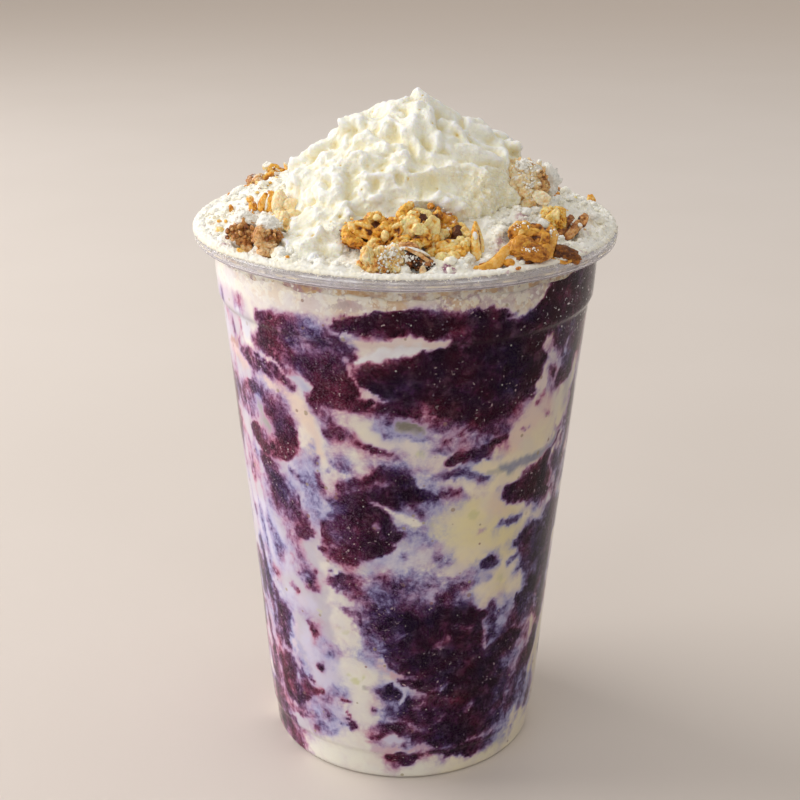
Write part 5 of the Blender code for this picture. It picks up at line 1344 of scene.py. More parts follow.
CRESTS = [  # folds with a sharp back: pixels, radii (mm), lift (mm)
    ([(417, 95), (413, 101), (404, 107), (394, 111), (386, 116)], (0.9, 1.3, 1.5, 1.4, 1.2), 0.2),
    ([(417, 96), (423, 105), (430, 112), (440, 118), (452, 123), (462, 127)], (0.9, 1.2, 1.2, 1.1, 1.0, 0.9), 0.2),
    ([(414, 108), (422, 116), (427, 127), (431, 139), (435, 149)], (1.3, 1.6, 1.7, 1.5, 1.0), 1.5),
    ([(391, 113), (400, 110), (410, 109), (419, 111)], (1.0, 1.4, 1.5, 1.2), 1.0),
    ([(393, 116), (399, 126), (402, 137)], (1.0, 1.2, 0.8), 0.9),
    ([(343, 124), (351, 121), (361, 126), (373, 129), (384, 124), (391, 118)], (1.3, 1.6, 1.4, 1.4, 1.3, 1.0), 0.9),
    ([(342, 120), (340, 128), (336, 136), (331, 142)], (1.2, 1.3, 1.2, 0.9), 0.6),
    ([(364, 122), (368, 131), (366, 141)], (1.0, 1.2, 0.8), 0.8),
    ([(437, 122), (447, 127), (456, 135), (462, 144), (465, 151)], (1.1, 1.5, 1.5, 1.3, 0.9), 1.2),
    ([(460, 126), (468, 131), (478, 131), (485, 135)], (1.0, 1.2, 1.2, 0.9), 0.7),
    ([(484, 132), (490, 139), (496, 145), (500, 152), (499, 160)], (1.0, 1.3, 1.4, 1.3, 0.9), 1.0),
    ([(503, 147), (510, 143), (515, 144), (518, 150)], (0.9, 1.2, 1.1, 0.8), 0.6),
    ([(446, 149), (458, 147), (472, 151), (486, 158), (497, 161)], (0.9, 1.3, 1.4, 1.3, 0.9), 1.2),
    ([(300, 157), (311, 153), (325, 147), (338, 141)], (1.0, 1.4, 1.4, 1.0), 0.5),
    ([(294, 163), (308, 159), (322, 155), (336, 150)], (0.9, 1.2, 1.2, 0.9), 0.6),
    ([(388, 160), (394, 155), (402, 158), (405, 166), (399, 171)], (0.9, 1.3, 1.4, 1.2, 0.8), 1.3),
    ([(343, 166), (353, 158), (366, 155), (378, 158)], (0.9, 1.3, 1.3, 0.9), 1.0),
    ([(402, 177), (416, 175), (430, 172), (445, 168), (456, 167)], (0.8, 1.2, 1.3, 1.3, 0.9), 1.2),
    ([(458, 166), (470, 168), (481, 176), (488, 186)], (1.0, 1.4, 1.5, 1.0), 1.0),
    ([(352, 178), (366, 176), (380, 178), (394, 181)], (0.8, 1.1, 1.1, 0.8), 0.8),
    ([(432, 194), (437, 189), (442, 192)], (0.8, 1.1, 0.8), 1.3),
    ([(312, 180), (322, 174), (334, 177), (341, 186)], (1.1, 1.5, 1.5, 1.0), 1.2),
    ([(309, 192), (318, 198), (330, 200), (340, 196)], (1.0, 1.3, 1.3, 1.0), 1.2),
    ([(404, 135), (412, 141), (418, 150), (416, 158)], (1.0, 1.3, 1.2, 0.8), 0.8),
    ([(372, 144), (382, 148), (392, 146), (400, 149)], (0.8, 1.1, 1.1, 0.8), 0.8),
]


def laplace(v, edges, rounds, k=0.5):
    """Even out a point cloud along mesh edges."""
    n = len(v)
    deg = np.bincount(edges.ravel(), minlength=n).astype(float)[:, None]
    deg[deg == 0] = 1
    for _ in range(rounds):
        s = np.empty_like(v)
        for c in range(3):
            s[:, c] = np.bincount(edges[:, 0], v[edges[:, 1], c], n) + np.bincount(edges[:, 1], v[edges[:, 0], c], n)
        v = v + k * (s / deg - v)
    return v


def edge_array(ob):
    e = np.empty(len(ob.data.edges) * 2, np.int32)
    ob.data.edges.foreach_get("vertices", e)
    return e.reshape(-1, 2)


def remesh(ob, voxel_mm):
    """Fuse the joined closed shapes into one skin."""
    m = ob.modifiers.new("fuse", "REMESH")
    m.mode = "VOXEL"
    m.voxel_size = voxel_mm * MM
    dg = bpy.context.evaluated_depsgraph_get()
    me = bpy.data.meshes.new_from_object(ob.evaluated_get(dg))
    old = ob.data
    ob.modifiers.clear()
    ob.data = me
    bpy.data.meshes.remove(old)
    bm = bmesh.new()
    bm.from_mesh(ob.data)
    bmesh.ops.triangulate(bm, faces=bm.faces)
    # one skin only: the largest shell stays
    seen, best = set(), []
    bm.verts.ensure_lookup_table()
    for v in bm.verts:
        if v.index in seen:
            continue
        stack, part = [v], []
        seen.add(v.index)
        while stack:
            w = stack.pop()
            part.append(w)
            for e in w.link_edges:
                o = e.other_vert(w)
                if o.index not in seen:
                    seen.add(o.index)
                    stack.append(o)
        if len(part) > len(best):
            best = part
    keep = set(v.index for v in best)
    drop = [v for v in bm.verts if v.index not in keep]
    if drop:
        bmesh.ops.delete(bm, geom=drop, context="VERTS")
    bm.to_mesh(ob.data)
    bm.free()
    ob.data.shade_smooth()
    return ob


def cavity(v, nrm, edges, rounds):
    """How far points lie below their evened-out surroundings, in mm."""
    return np.einsum("ij,ij->i", laplace(v, edges, rounds, 0.6) - v, nrm)


def make_cream():
    p = Pile()
    # body: a closed mound from its height function
    seg, rings = 120, 44
    t = np.linspace(0, 2 * np.pi, seg, endpoint=False)
    reach = cream_reach(np.degrees(t)) + 1.2
    top = []
    for s in np.linspace(0.03, 1, rings):
        x, y = s * reach * np.cos(t), s * reach * np.sin(t)
        top.append(np.stack([x, y, mound(x, y)], -1))
    top = np.array(top)
    low = top[::-4].copy()
    low[..., 2] = heap_base(low[..., 0], low[..., 1]) - 2.2
    low = low[:, :, :] * np.array([0.985, 0.985, 1])
    g = np.vstack([low[::-1], top[::-1]])
    body = grid_body("cream_body", g, (0, 0, heap_base(0, 0) - 2.2), (0.0, 0.0, float(mound(0, 0))))
    co = coords(body)
    f = np.empty(len(body.data.polygons) * 3, np.int32)
    body.data.polygons.foreach_get("vertices", f)
    p.add(co, f.reshape(-1, 3))
    bpy.data.objects.remove(body)
    for k, (px, py, rx, ry, rz, lift, turn) in enumerate(LOBES):
        c = hit(px, py, mound)
        if c is None:
            c = spot(px, py, 0.5)
        d = ray(px, py)
        c = c - d * (lift + 0.55 - 0.55 * rz)
        mm = np.linalg.norm(c - CAM_O) / CAM_F
        a = math.radians(turn)
        right = CAM_RIGHT * math.cos(a) + CAM_UP * math.sin(a)
        up = CAM_UP * math.cos(a) - CAM_RIGHT * math.sin(a)
        blob(p, c, (rx * mm, ry * mm, rz), 3, 0.10, 1.3, np.stack([right, up, -d], 1), seed=k * 1.37)
    for k, (pix, radii, lift) in enumerate(CRESTS):
        pts = []
        for px, py in pix:
            c = hit(px, py, mound)
            if c is None:
                c = spot(px, py, 0.5)
            pts.append(c - ray(px, py) * (lift + 0.4))
        y = np.array([q[1] for q in pts])
        fit = np.polyval(np.polyfit(np.arange(len(y)), y, 2 if len(y) > 3 else 1), np.arange(len(y)))
        pts = [spot(a, b, c) for (a, b), c in zip(pix, fit)]
        stick(p, pts, radii, 30 + k * 1.7, 0.5, 1.25, (0, 0, 1), 16, 6, 0.12)
    rng = np.random.default_rng(8)
    for k in range(64):  # the far side, built the same way
        az = rng.uniform(8, 172)
        r = rng.uniform(4, 27.5)
        x, y = r * math.cos(math.radians(az)) + 1.2, r * math.sin(math.radians(az)) + 0.5
        z = float(mound(x, y))
        n = np.array([x * 0.5, y * 0.5, 14.0])
        s = rng.uniform(1.5, 3.2)
        blob(p, (x, y, z + 0.05 * s), (s * 1.35, s, s * 0.9), 2, 0.15, 1.3, frame_of(n, rng.normal(size=3)), seed=k * 2.9)
    for k in range(16):
        az, r = rng.uniform(10, 170), rng.uniform(4, 24)
        turn = rng.uniform(0, math.pi)
        pts = []
        for u in (-1, -0.3, 0.4, 1):
            x = r * math.cos(math.radians(az)) + 4.2 * u * math.cos(turn) + 0.9 * math.sin(3 * u)
            y = r * math.sin(math.radians(az)) + 4.2 * u * math.sin(turn)
            pts.append((x, y, float(mound(x, y)) + 0.9))
        stick(p, pts, (0.9, 1.4, 1.4, 0.8), 90 + k * 1.3, 0.5, 1.25, (0, 0, 1), 14, 6, 0.12)
    ob = p.build("cream_folds")
    remesh(ob, 0.47)
    v, e = coords(ob), edge_array(ob)
    v = laplace(v, e, 7, 0.5)
    even = laplace(v, e, 26, 0.6)
    keep = np.clip(smooth(150.0, 156.0, v[:, 2]) + 0.5 * smooth(6, 14, v[:, 0]) * smooth(146, 150, v[:, 2]), 0, 0.95)
    v = v + (even - v) * (0.50 * (1 - keep))[:, None]
    set_coords(ob, v)
    n = normals(ob)
    # where the cream is smooth folds, and where it is curdled or crumbed with powder
    silky = smooth(-12, 2, v[:, 0]) * smooth(144.5, 149.0, v[:, 2] + 0.05 * v[:, 0])
    silky = np.maximum(silky, 0.75 * smooth(-3, 8, v[:, 1]))
    spoon = spot(430, 182, -24.0)
    hollow = np.exp(-(((v[:, 0] - spoon[0]) / 7.5) ** 2 + ((v[:, 1] - spoon[1]) / 7.0) ** 2 + ((v[:, 2] - spoon[2]) / 2.6) ** 2))
    silky = np.clip(silky + 0.9 * hollow, 0, 1)
    crumbed = smooth(9, 16, v[:, 0]) * (1 - smooth(146.5, 149.5, v[:, 2])) * (1 - smooth(8, 18, v[:, 1]))
    lump = spot(457, 169, -22.0)
    crumbed = np.maximum(crumbed, np.exp(-(np.linalg.norm(v - lump, axis=1) / 2.6) ** 4))
    rough = np.clip(1 - silky, 0, 1)
    # rounded curds with creases between, crests on the folds, fine grain
    warp = v + 0.7 * np.stack([N1(v / 4 + 3), N2(v / 4 + 5), N3(v / 4 + 8)], 1)
    big = np.abs(N4.fbm(warp / 6.0, 2)) * 2.2 - 0.42
    flow = v + 1.9 * np.stack([N1(v / 6 + 13), N2(v / 6 + 15), N3(v / 6 + 18)], 1)
    mid = 0.50 - np.abs(N1.fbm(flow * np.array([0.85, 0.85, 1.25]) / 5.2 + 11, 2)) * 3.0
    small = 0.40 - np.abs(N2.fbm(flow / 2.3 + 5, 2)) * 2.6
    ridge = N3.billow(warp / 6.5 + 4, 1) - 0.6

    def folds(a, period, bend, seed, lip):
        """Layers lapping over each other: long slopes that end in a crisp lip, along direction a."""
        drift = bend * np.stack([N1.fbm(v / 12.0 + seed, 2), N2.fbm(v / 12.0 + seed + 9, 2), N3.fbm(v / 9.0 + seed + 4, 2)], 1)
        u = ((v + drift) @ (np.asarray(a, float) / np.linalg.norm(a))) / period
        u = u - np.floor(u)
        return u ** 1.3 * smooth(1.0, 1.0 - lip, u)

    f1 = folds((-0.55, -0.35, 0.80), 7.4, 10.0, 3, 0.20)
    f2 = folds((0.75, -0.30, 0.60), 6.4, 9.0, 21, 0.22)
    f3 = folds((-0.2, -0.75, 0.70), 3.3, 5.5, 33, 0.32)
    blend = smooth(-0.22, 0.22, N4.fbm(v / 11.0 + 15, 2))
    f12 = f1 * (1 - blend) + f2 * blend
    soft_n = N3.fbm(v / 1.9 + 2, 3)
    froth = N2.fbm(v / 1.15 + 6, 2)
    amount = rough * (0.22 * big + 1.15 * f12 + 0.70 * f3 + 0.65 * soft_n + 0.34 * froth - 0.70) + silky * (0.10 * ridge + 1.55 * f12 * (1 - hollow) + 0.26 * soft_n + 0.16 * froth - 0.48)
    amount += crumbed * (0.25 * mid + 0.34 * small)
    amount -= 0.9 * hollow
    # small pits left by bubbles
    cell = np.random.default_rng(4)
    pick = cell.choice(len(v), 120, replace=False)
    pits = v[pick[n[pick, 2] > -0.1]]
    from mathutils import kdtree
    tree = kdtree.KDTree(len(pits))
    for i, q in enumerate(pits):
        tree.insert(q, i)
    tree.balance()
    dist = np.array([tree.find(q)[2] for q in v])
    size = np.array([0.26 + 0.34 * ((i * 37) % 10) / 10 for i in range(len(pits))])
    near = np.array([tree.find(q)[1] for q in v])
    pit = np.exp(-(dist / size[near]) ** 2)
    amount -= pit * 0.6
    v = v + n * amount[:, None]
    v = laplace(v, e, 1, 0.5)
    set_coords(ob, v)
    n = normals(ob)
    cav = cavity(v, n, e, 14)
    wide = cavity(v, n, e, 80)
    # deep and hollow mark narrow creases and wide hollows, read below for painted light and shade
    float_attr(ob, "deep", np.clip(0.5 + cav * 0.9, 0, 1))
    float_attr(ob, "hollow", np.clip(0.5 + wide * 0.32, 0, 1))
    float_attr(ob, "pit", pit)
    float_attr(ob, "crumbed", crumbed)
    t = Tree("whipped_cream_look")
    deep, hol, pit_s, crm = t.attr("deep"), t.attr("hollow"), t.attr("pit"), t.attr("crumbed")
    base = t.mix(t.ramp(t.noise(160, 3.0), 0.35, 0.7), (0.915, 0.885, 0.735), (0.935, 0.915, 0.795))
    # painted highlight: whiter on the crests; painted shade: butter yellow in the creases, in the wide hollows and in
    # the bubble pits
    crest_highlight = t.ramp(deep, 0.50, 0.18)
    base = t.mix(crest_highlight, base, (0.945, 0.94, 0.90))
    crease_shade = t.ramp(deep, 0.55, 0.90)
    c = t.mix(t.math("MULTIPLY", crease_shade, 0.85), base, (0.90, 0.775, 0.41))
    c = t.mix(t.math("MULTIPLY", t.ramp(hol, 0.50, 0.86), 0.68), c, (0.90, 0.82, 0.535))
    c = t.mix(t.math("MULTIPLY", t.ramp(pit_s, 0.35, 0.9), 0.85), c, (0.78, 0.58, 0.16))
    dusty = t.mix(t.ramp(t.voronoi(950), 0.1, 0.6), (0.955, 0.935, 0.82), (0.90, 0.82, 0.56))
    c = t.mix(t.math("MULTIPLY", crm, 0.7), c, dusty)
    fine = t.noise(1400, 3.0, 0.6)
    grit = t.voronoi(1300)
    h = t.math("ADD", t.math("ADD", t.math("MULTIPLY", fine, 1.0), t.math("MULTIPLY", t.noise(760, 4.0, 0.62), 1.9)), t.math("MULTIPLY", t.math("MULTIPLY", grit, crm), 1.6))
    nrm = t.bump(h, 0.50, 0.0009)
    n1 = t.principled(c, 0.55, nrm, Specular_IOR_Level=0.3, Subsurface_Weight=0.5, Subsurface_Scale=0.0012)
    bs = n1.node
    bs.inputs["Subsurface Radius"].default_value = (1.0, 0.88, 0.55)
    ob.data.materials.append(t.finish(n1))
    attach(ob, "root")
    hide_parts("whipped_cream")
    return ob


def heap_top(x, y):
    """The heap with its crumbs: lumps, grains and hollows."""
    x, y = np.asarray(x, float), np.asarray(y, float)
    r = np.hypot(x, y)
    q = np.stack([x, y, np.zeros_like(x)], -1).reshape(-1, 3)
    lump = N1.fbm(q / 8.5, 3).reshape(x.shape)
    clod = 0.42 - np.abs(N2.fbm(q / 3.6 + 3, 2)).reshape(x.shape) * 1.6
    crumb = 0.35 - np.abs(N3.fbm(q / 1.7 + 8, 2)).reshape(x.shape) * 1.4
    near_rim = smooth(47.4, 43.5, r)
    right = smooth(22, 34, x)
    body = 1.1 * lump - (0.95 + 0.9 * right) * clod - (0.55 + 0.25 * right) * crumb
    z = heap_look(x, y) + near_rim * body + (1 - near_rim) * (0.05 - 0.22 * crumb) + 0.3 * right * near_rim
    p = np.stack([x, y, z], -1).reshape(-1, 3)
    return carve(p).reshape(x.shape)


STAINS = [  # pixel, reach in mm, colour index (0 berry, 1 amber, 2 pink)
    (447, 268, 2.0, 0), (452, 274, 1.4, 0), (500, 241, 1.6, 2), (521, 217, 2.0, 2), (385, 277, 1.0, 2), (497, 250, 1.0, 2),
    (236, 252, 1.6, 2), (255, 262, 1.4, 2), (217, 232, 1.0, 1), (232, 214, 0.9, 1), (300, 272, 1.2, 2), (428, 275, 1.2, 1),
    (560, 262, 1.4, 2), (588, 246, 1.6, 2), (545, 236, 1.0, 2), (596, 215, 1.5, 2), (343, 276, 1.0, 2), (405, 276, 1.0, 1),
]


def stain_fields(v):
    """How strongly each point of the heap is stained, for each of three colours."""
    out = np.zeros((len(v), 3))
    for px, py, reach, kind in STAINS:
        c = hit(px, py, heap_look)
        if c is None:
            continue
        out[:, kind] = np.maximum(out[:, kind], np.exp(-(np.linalg.norm(v - c, axis=1) / reach) ** 2))
    rng = np.random.default_rng(31)
    for _ in range(46):  # the same small stains all round
        az, r = rng.uniform(-30, 215), rng.uniform(33, 46.5)
        x, y = r * math.cos(math.radians(az)), r * math.sin(math.radians(az))
        c = np.array([x, y, float(heap_look(x, y))])
        kind = int(rng.integers(3))
        out[:, kind] = np.maximum(out[:, kind], 0.8 * np.exp(-(np.linalg.norm(v - c, axis=1) / rng.uniform(0.6, 1.5)) ** 2))
    return out


def powder_material(name, stains=True, wall=False):
    t = Tree(name)
    clump = t.noise(240, 3.0, 0.6)
    warm = t.mix(t.ramp(clump, 0.40, 0.70), (0.985, 0.966, 0.89), (0.975, 0.93, 0.775))
    cool = t.mix(t.ramp(t.noise(90, 2.0), 0.50, 0.70), warm, (0.98, 0.952, 0.865))
    # painted shade: darker and warmer where the deep value marks a hollow
    c = t.mix(t.math("MULTIPLY", t.attr("deep"), 0.60), cool, (0.80, 0.69, 0.47))
    if stains:
        patch = t.ramp(t.noise(700, 3.0, 0.65), 0.38, 0.60)
        for name_s, rgb in (("stain0", (0.30, 0.10, 0.20)), ("stain1", (0.62, 0.36, 0.14)), ("stain2", (0.60, 0.42, 0.44))):
            c = t.mix(t.math("MULTIPLY", t.ramp(t.attr(name_s), 0.25, 0.75), patch), c, rgb)
    if wall:  # crumbs pressed against the cup
        at = t.attr("wall")
        ivory = t.mix(t.ramp(t.noise(420, 5.0, 0.65), 0.38, 0.66), (0.86, 0.82, 0.73), (0.66, 0.55, 0.42))
        tan = t.math("MULTIPLY", t.attr("tan"), t.ramp(t.noise(500, 5.0, 0.65), 0.34, 0.58))
        w = t.mix(t.ramp(t.noise(200, 4.0, 0.6), 0.34, 0.52, 0.35, 0.95), ivory, t.pressed_crumbs(560))
        w = t.mix(tan, w, (0.50, 0.29, 0.15))
        plum = t.math("MULTIPLY", t.attr("plum"), t.ramp(t.noise(480, 5.0, 0.65), 0.36, 0.60))
        w = t.mix(plum, w, (0.24, 0.10, 0.17))
        c = t.mix(at, c, w)
    grains = t.voronoi(1350)
    fine = t.noise(2600, 2.0)
    crumbly = t.noise(720, 4.0, 0.62, distortion=0.3)
    # painted shade in the gaps between the grains
    gaps = t.math("MULTIPLY", t.ramp(crumbly, 0.36, 0.50, 1.0, 0.0), t.ramp(grains, 0.25, 0.75))
    c = t.mix(t.math("MULTIPLY", gaps, 0.14), c, (0.84, 0.76, 0.58))
    h = t.math("ADD", t.math("MULTIPLY", grains, -0.55), t.math("ADD", t.math("MULTIPLY", fine, 0.45), t.math("MULTIPLY", crumbly, 1.3)))
    nrm = t.bump(h, 0.50, 0.0006)
    sh = t.principled(c, 0.85, nrm, Specular_IOR_Level=0.12, Subsurface_Weight=0.30, Subsurface_Scale=0.0010)
    sh.node.inputs["Subsurface Radius"].default_value = (1.0, 0.92, 0.74)
    return t.finish(sh)


ROLL = [(44.62, 128.6), (44.80, 130.0), (45.25, 131.05), (46.10, 131.98), (47.2, 132.25)]  # middle of the sheet over the brim


def az_of(v):
    return np.degrees(np.arctan2(v[:, 1], v[:, 0]))


def make_heap():
    cols = 456
    t = np.linspace(0, 2 * np.pi, cols, endpoint=False)
    az = np.degrees(t)
    low_z = fill_edge(az + 90) - 0.9
    rows = []

    def ring(r, z):
        rows.append(np.stack([r * np.cos(t), r * np.sin(t), z + 0 * t], -1))

    for f in (0.3, 0.75, 0.93):
        ring(43.5 * f + 0 * t, 126.6 + (low_z - 126.6) * f ** 4)
    for s in np.linspace(0, 1, 16):
        z = low_z + (128.6 - low_z) * s
        ring(outer_r(z) - 0.22, z)
    roll = catmull(ROLL, 3)[1:]
    for r, z in roll:
        ring(r - 0.06 + 0 * t, z + 0.06)
    edge = 47.25 + 0.28 * N1.fbm(np.stack([np.cos(t) * 30, np.sin(t) * 30, 0 * t], -1), 3)
    ring(edge, 132.48)
    inner = np.concatenate([np.linspace(0, 1, 76)[1:] * -21.5, [-24, -28, -34, -41]])
    for d in np.concatenate([[-0.02], inner]):
        r = edge + d
        x, y = r * np.cos(t), r * np.sin(t)
        lip = smooth(0, 0.7, -d)
        z = heap_top(x, y)
        rows.append(np.stack([x, y, 132.5 + (z - 132.5) * (0.35 + 0.65 * lip)], -1))
    g = np.array(rows)
    ob = grid_body("powder_and_crumbs", g, (0, 0, 126.6), (0, 0, float(heap_base(0, 0))))
    v, n, e = coords(ob), normals(ob), edge_array(ob)
    # a little sideways push makes the crumbs overhang
    out = np.hypot(v[:, 0], v[:, 1])
    on_top = smooth(132.9, 133.8, v[:, 2]) * smooth(47.0, 46.0, out)
    push = np.stack([N2(v / 1.5 + 4), N3(v / 1.5 + 9), 0.4 * N1(v / 1.1 + 2)], 1) * 0.45
    v = v + push * on_top[:, None]
    set_coords(ob, v)
    n = normals(ob)
    cav = cavity(v, n, e, 6)
    # deep marks hollows in the heap's top, for painted shade
    float_attr(ob, "deep", np.clip(cav * 1.5, 0, 1) * on_top)
    st = stain_fields(v)
    wall = smooth(129.6, 128.6, v[:, 2]) * smooth(40, 43, out)
    A = (az_of(v) + 90 + 180) % 360 - 180
    tan = smooth(0.02, 0.30, N1.fbm(v / 3.4 + 31, 3)) * (0.35 + 0.65 * smooth(125.4, 127.6, v[:, 2]))
    tan *= np.clip(0.10 + 0.9 * bumpw(A, 2, 24) + 0.3 * (np.abs(A) > 70), 0, 1)
    plum = smooth(0.04, 0.30, N2.fbm(v / 2.9 + 61, 3)) * np.clip(0.12 + 0.5 * bumpw(A, 4, 20) + 0.6 * smooth(34, 46, A) + 0.3 * bumpw(A, -52, 14), 0, 1)
    float_attr(ob, "wall", wall)
    float_attr(ob, "tan", tan)
    float_attr(ob, "plum", plum)
    for k in range(3):
        float_attr(ob, "stain%d" % k, st[:, k])
    ob.data.materials.append(powder_material("milk_powder_look", True, True))
    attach(ob, "root")
    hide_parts("powder_crumble_heap")
    return ob


def make_grains():
    """Loose grains of powder on the heap, up to the cream's edge and along the rim."""
    rng = np.random.default_rng(77)
    p = Pile()
    for n, size_of, sub, lift, jag, r1, seed in (
            (3300, lambda k: 0.09 + 0.17 * rng.random(k) ** 1.6, 1, 0.3, 0.22, 47.3, 5),
            (460, lambda k: 0.24 + 0.42 * rng.random(k) ** 2.2, 2, 0.2, 0.24, 46.4, 6)):
        az = rng.uniform(0, 360, n)
        r = np.sqrt(rng.uniform(27.0 ** 2, r1 ** 2, n))
        keep = r > cream_reach(az) - 1.5
        az, r = az[keep], r[keep]
        x, y = r * np.cos(np.radians(az)), r * np.sin(np.radians(az))
        size = size_of(len(x))
        z = heap_top(x, y) + size * lift
        pts = np.stack([x, y, z], -1)
        ok = ~hidden_by(pts)
        crumbs(p, pts[ok], size[ok], seed, sub, 0.9, (0.0, 1.0), jag)
    ob = p.build("loose_powder_grains")
    ob.data.materials.append(powder_material("grain_look", False))
    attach(ob, "root")
    return ob


def make_lumps():
    """Fluffy lumps of powder and crumbs, each with a knobbly skin."""
    rng = np.random.default_rng(64)
    n = 1050
    az = rng.uniform(0, 360, n)
    r = np.sqrt(rng.uniform(28.0 ** 2, 46.3 ** 2, n))
    keep = r > cream_reach(az) - 1.0
    az, r = az[keep], r[keep]
    x, y = r * np.cos(np.radians(az)), r * np.sin(np.radians(az))
    thick = N4(np.stack([x, y, 0 * x], -1) / 6.0) + 0.25 * rng.normal(size=len(x))
    right = (x > 26) | ((az > 215) & (az < 268))
    keep = thick > np.where(x > 24, -0.70, np.where(right, -0.25, 0.05))
    x, y = x[keep], y[keep]
    size = 0.45 + 0.85 * rng.random(len(x)) ** 1.7
    size = np.where(np.hypot(x, y) > 44.8, np.minimum(size, 0.75), size)
    pts = np.stack([x, y, heap_top(x, y) + size * 0.12], -1)
    ok = ~hidden_by(pts)
    pts, size = pts[ok], size[ok]
    p = Pile()
    for k, (c, a) in enumerate(zip(pts, size)):
        u, f = ico(3 if a > 0.78 and c[1] < 8 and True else 2)
        q = u * a / 0.62 + k * 3.17
        j = 0.80 + 0.55 * np.abs(N1(q)) + 0.30 * np.abs(N3(q * 2.1)) + 0.16 * N2(u * 1.3 + k)
        v = u * (a * np.array([rng.uniform(0.85, 1.25), rng.uniform(0.85, 1.25), rng.uniform(0.6, 0.85)])) * j[:, None]
        # deep marks the dents of the skin, for painted shade
        p.add(v + c, f, deep=np.clip((1.02 - j) * 1.6, 0, 1), tone=rng.random())
    ob = p.build("powder_lumps")
    ob.data.materials.append(powder_material("lump_look", False))
    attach(ob, "root")
    return ob


# ---- rim dust: follows the top and the outer side of the roll
def rim_line():
    h = WALL / 2
    roll = catmull([(45.25, RIM_TOP - 1.45), (46.1, RIM_TOP - 0.52), (47.2, RIM_TOP - h), (48.05, RIM_TOP - 0.42), (48.62, RIM_LOW + 2.25),
                    (48.75, RIM_LOW + 1.5), (48.62, RIM_LOW + 0.62)], 16)
    out = offset(roll, h)
    if out[20][1] < roll[20][1]:
        out = offset(roll, -h)
    return out


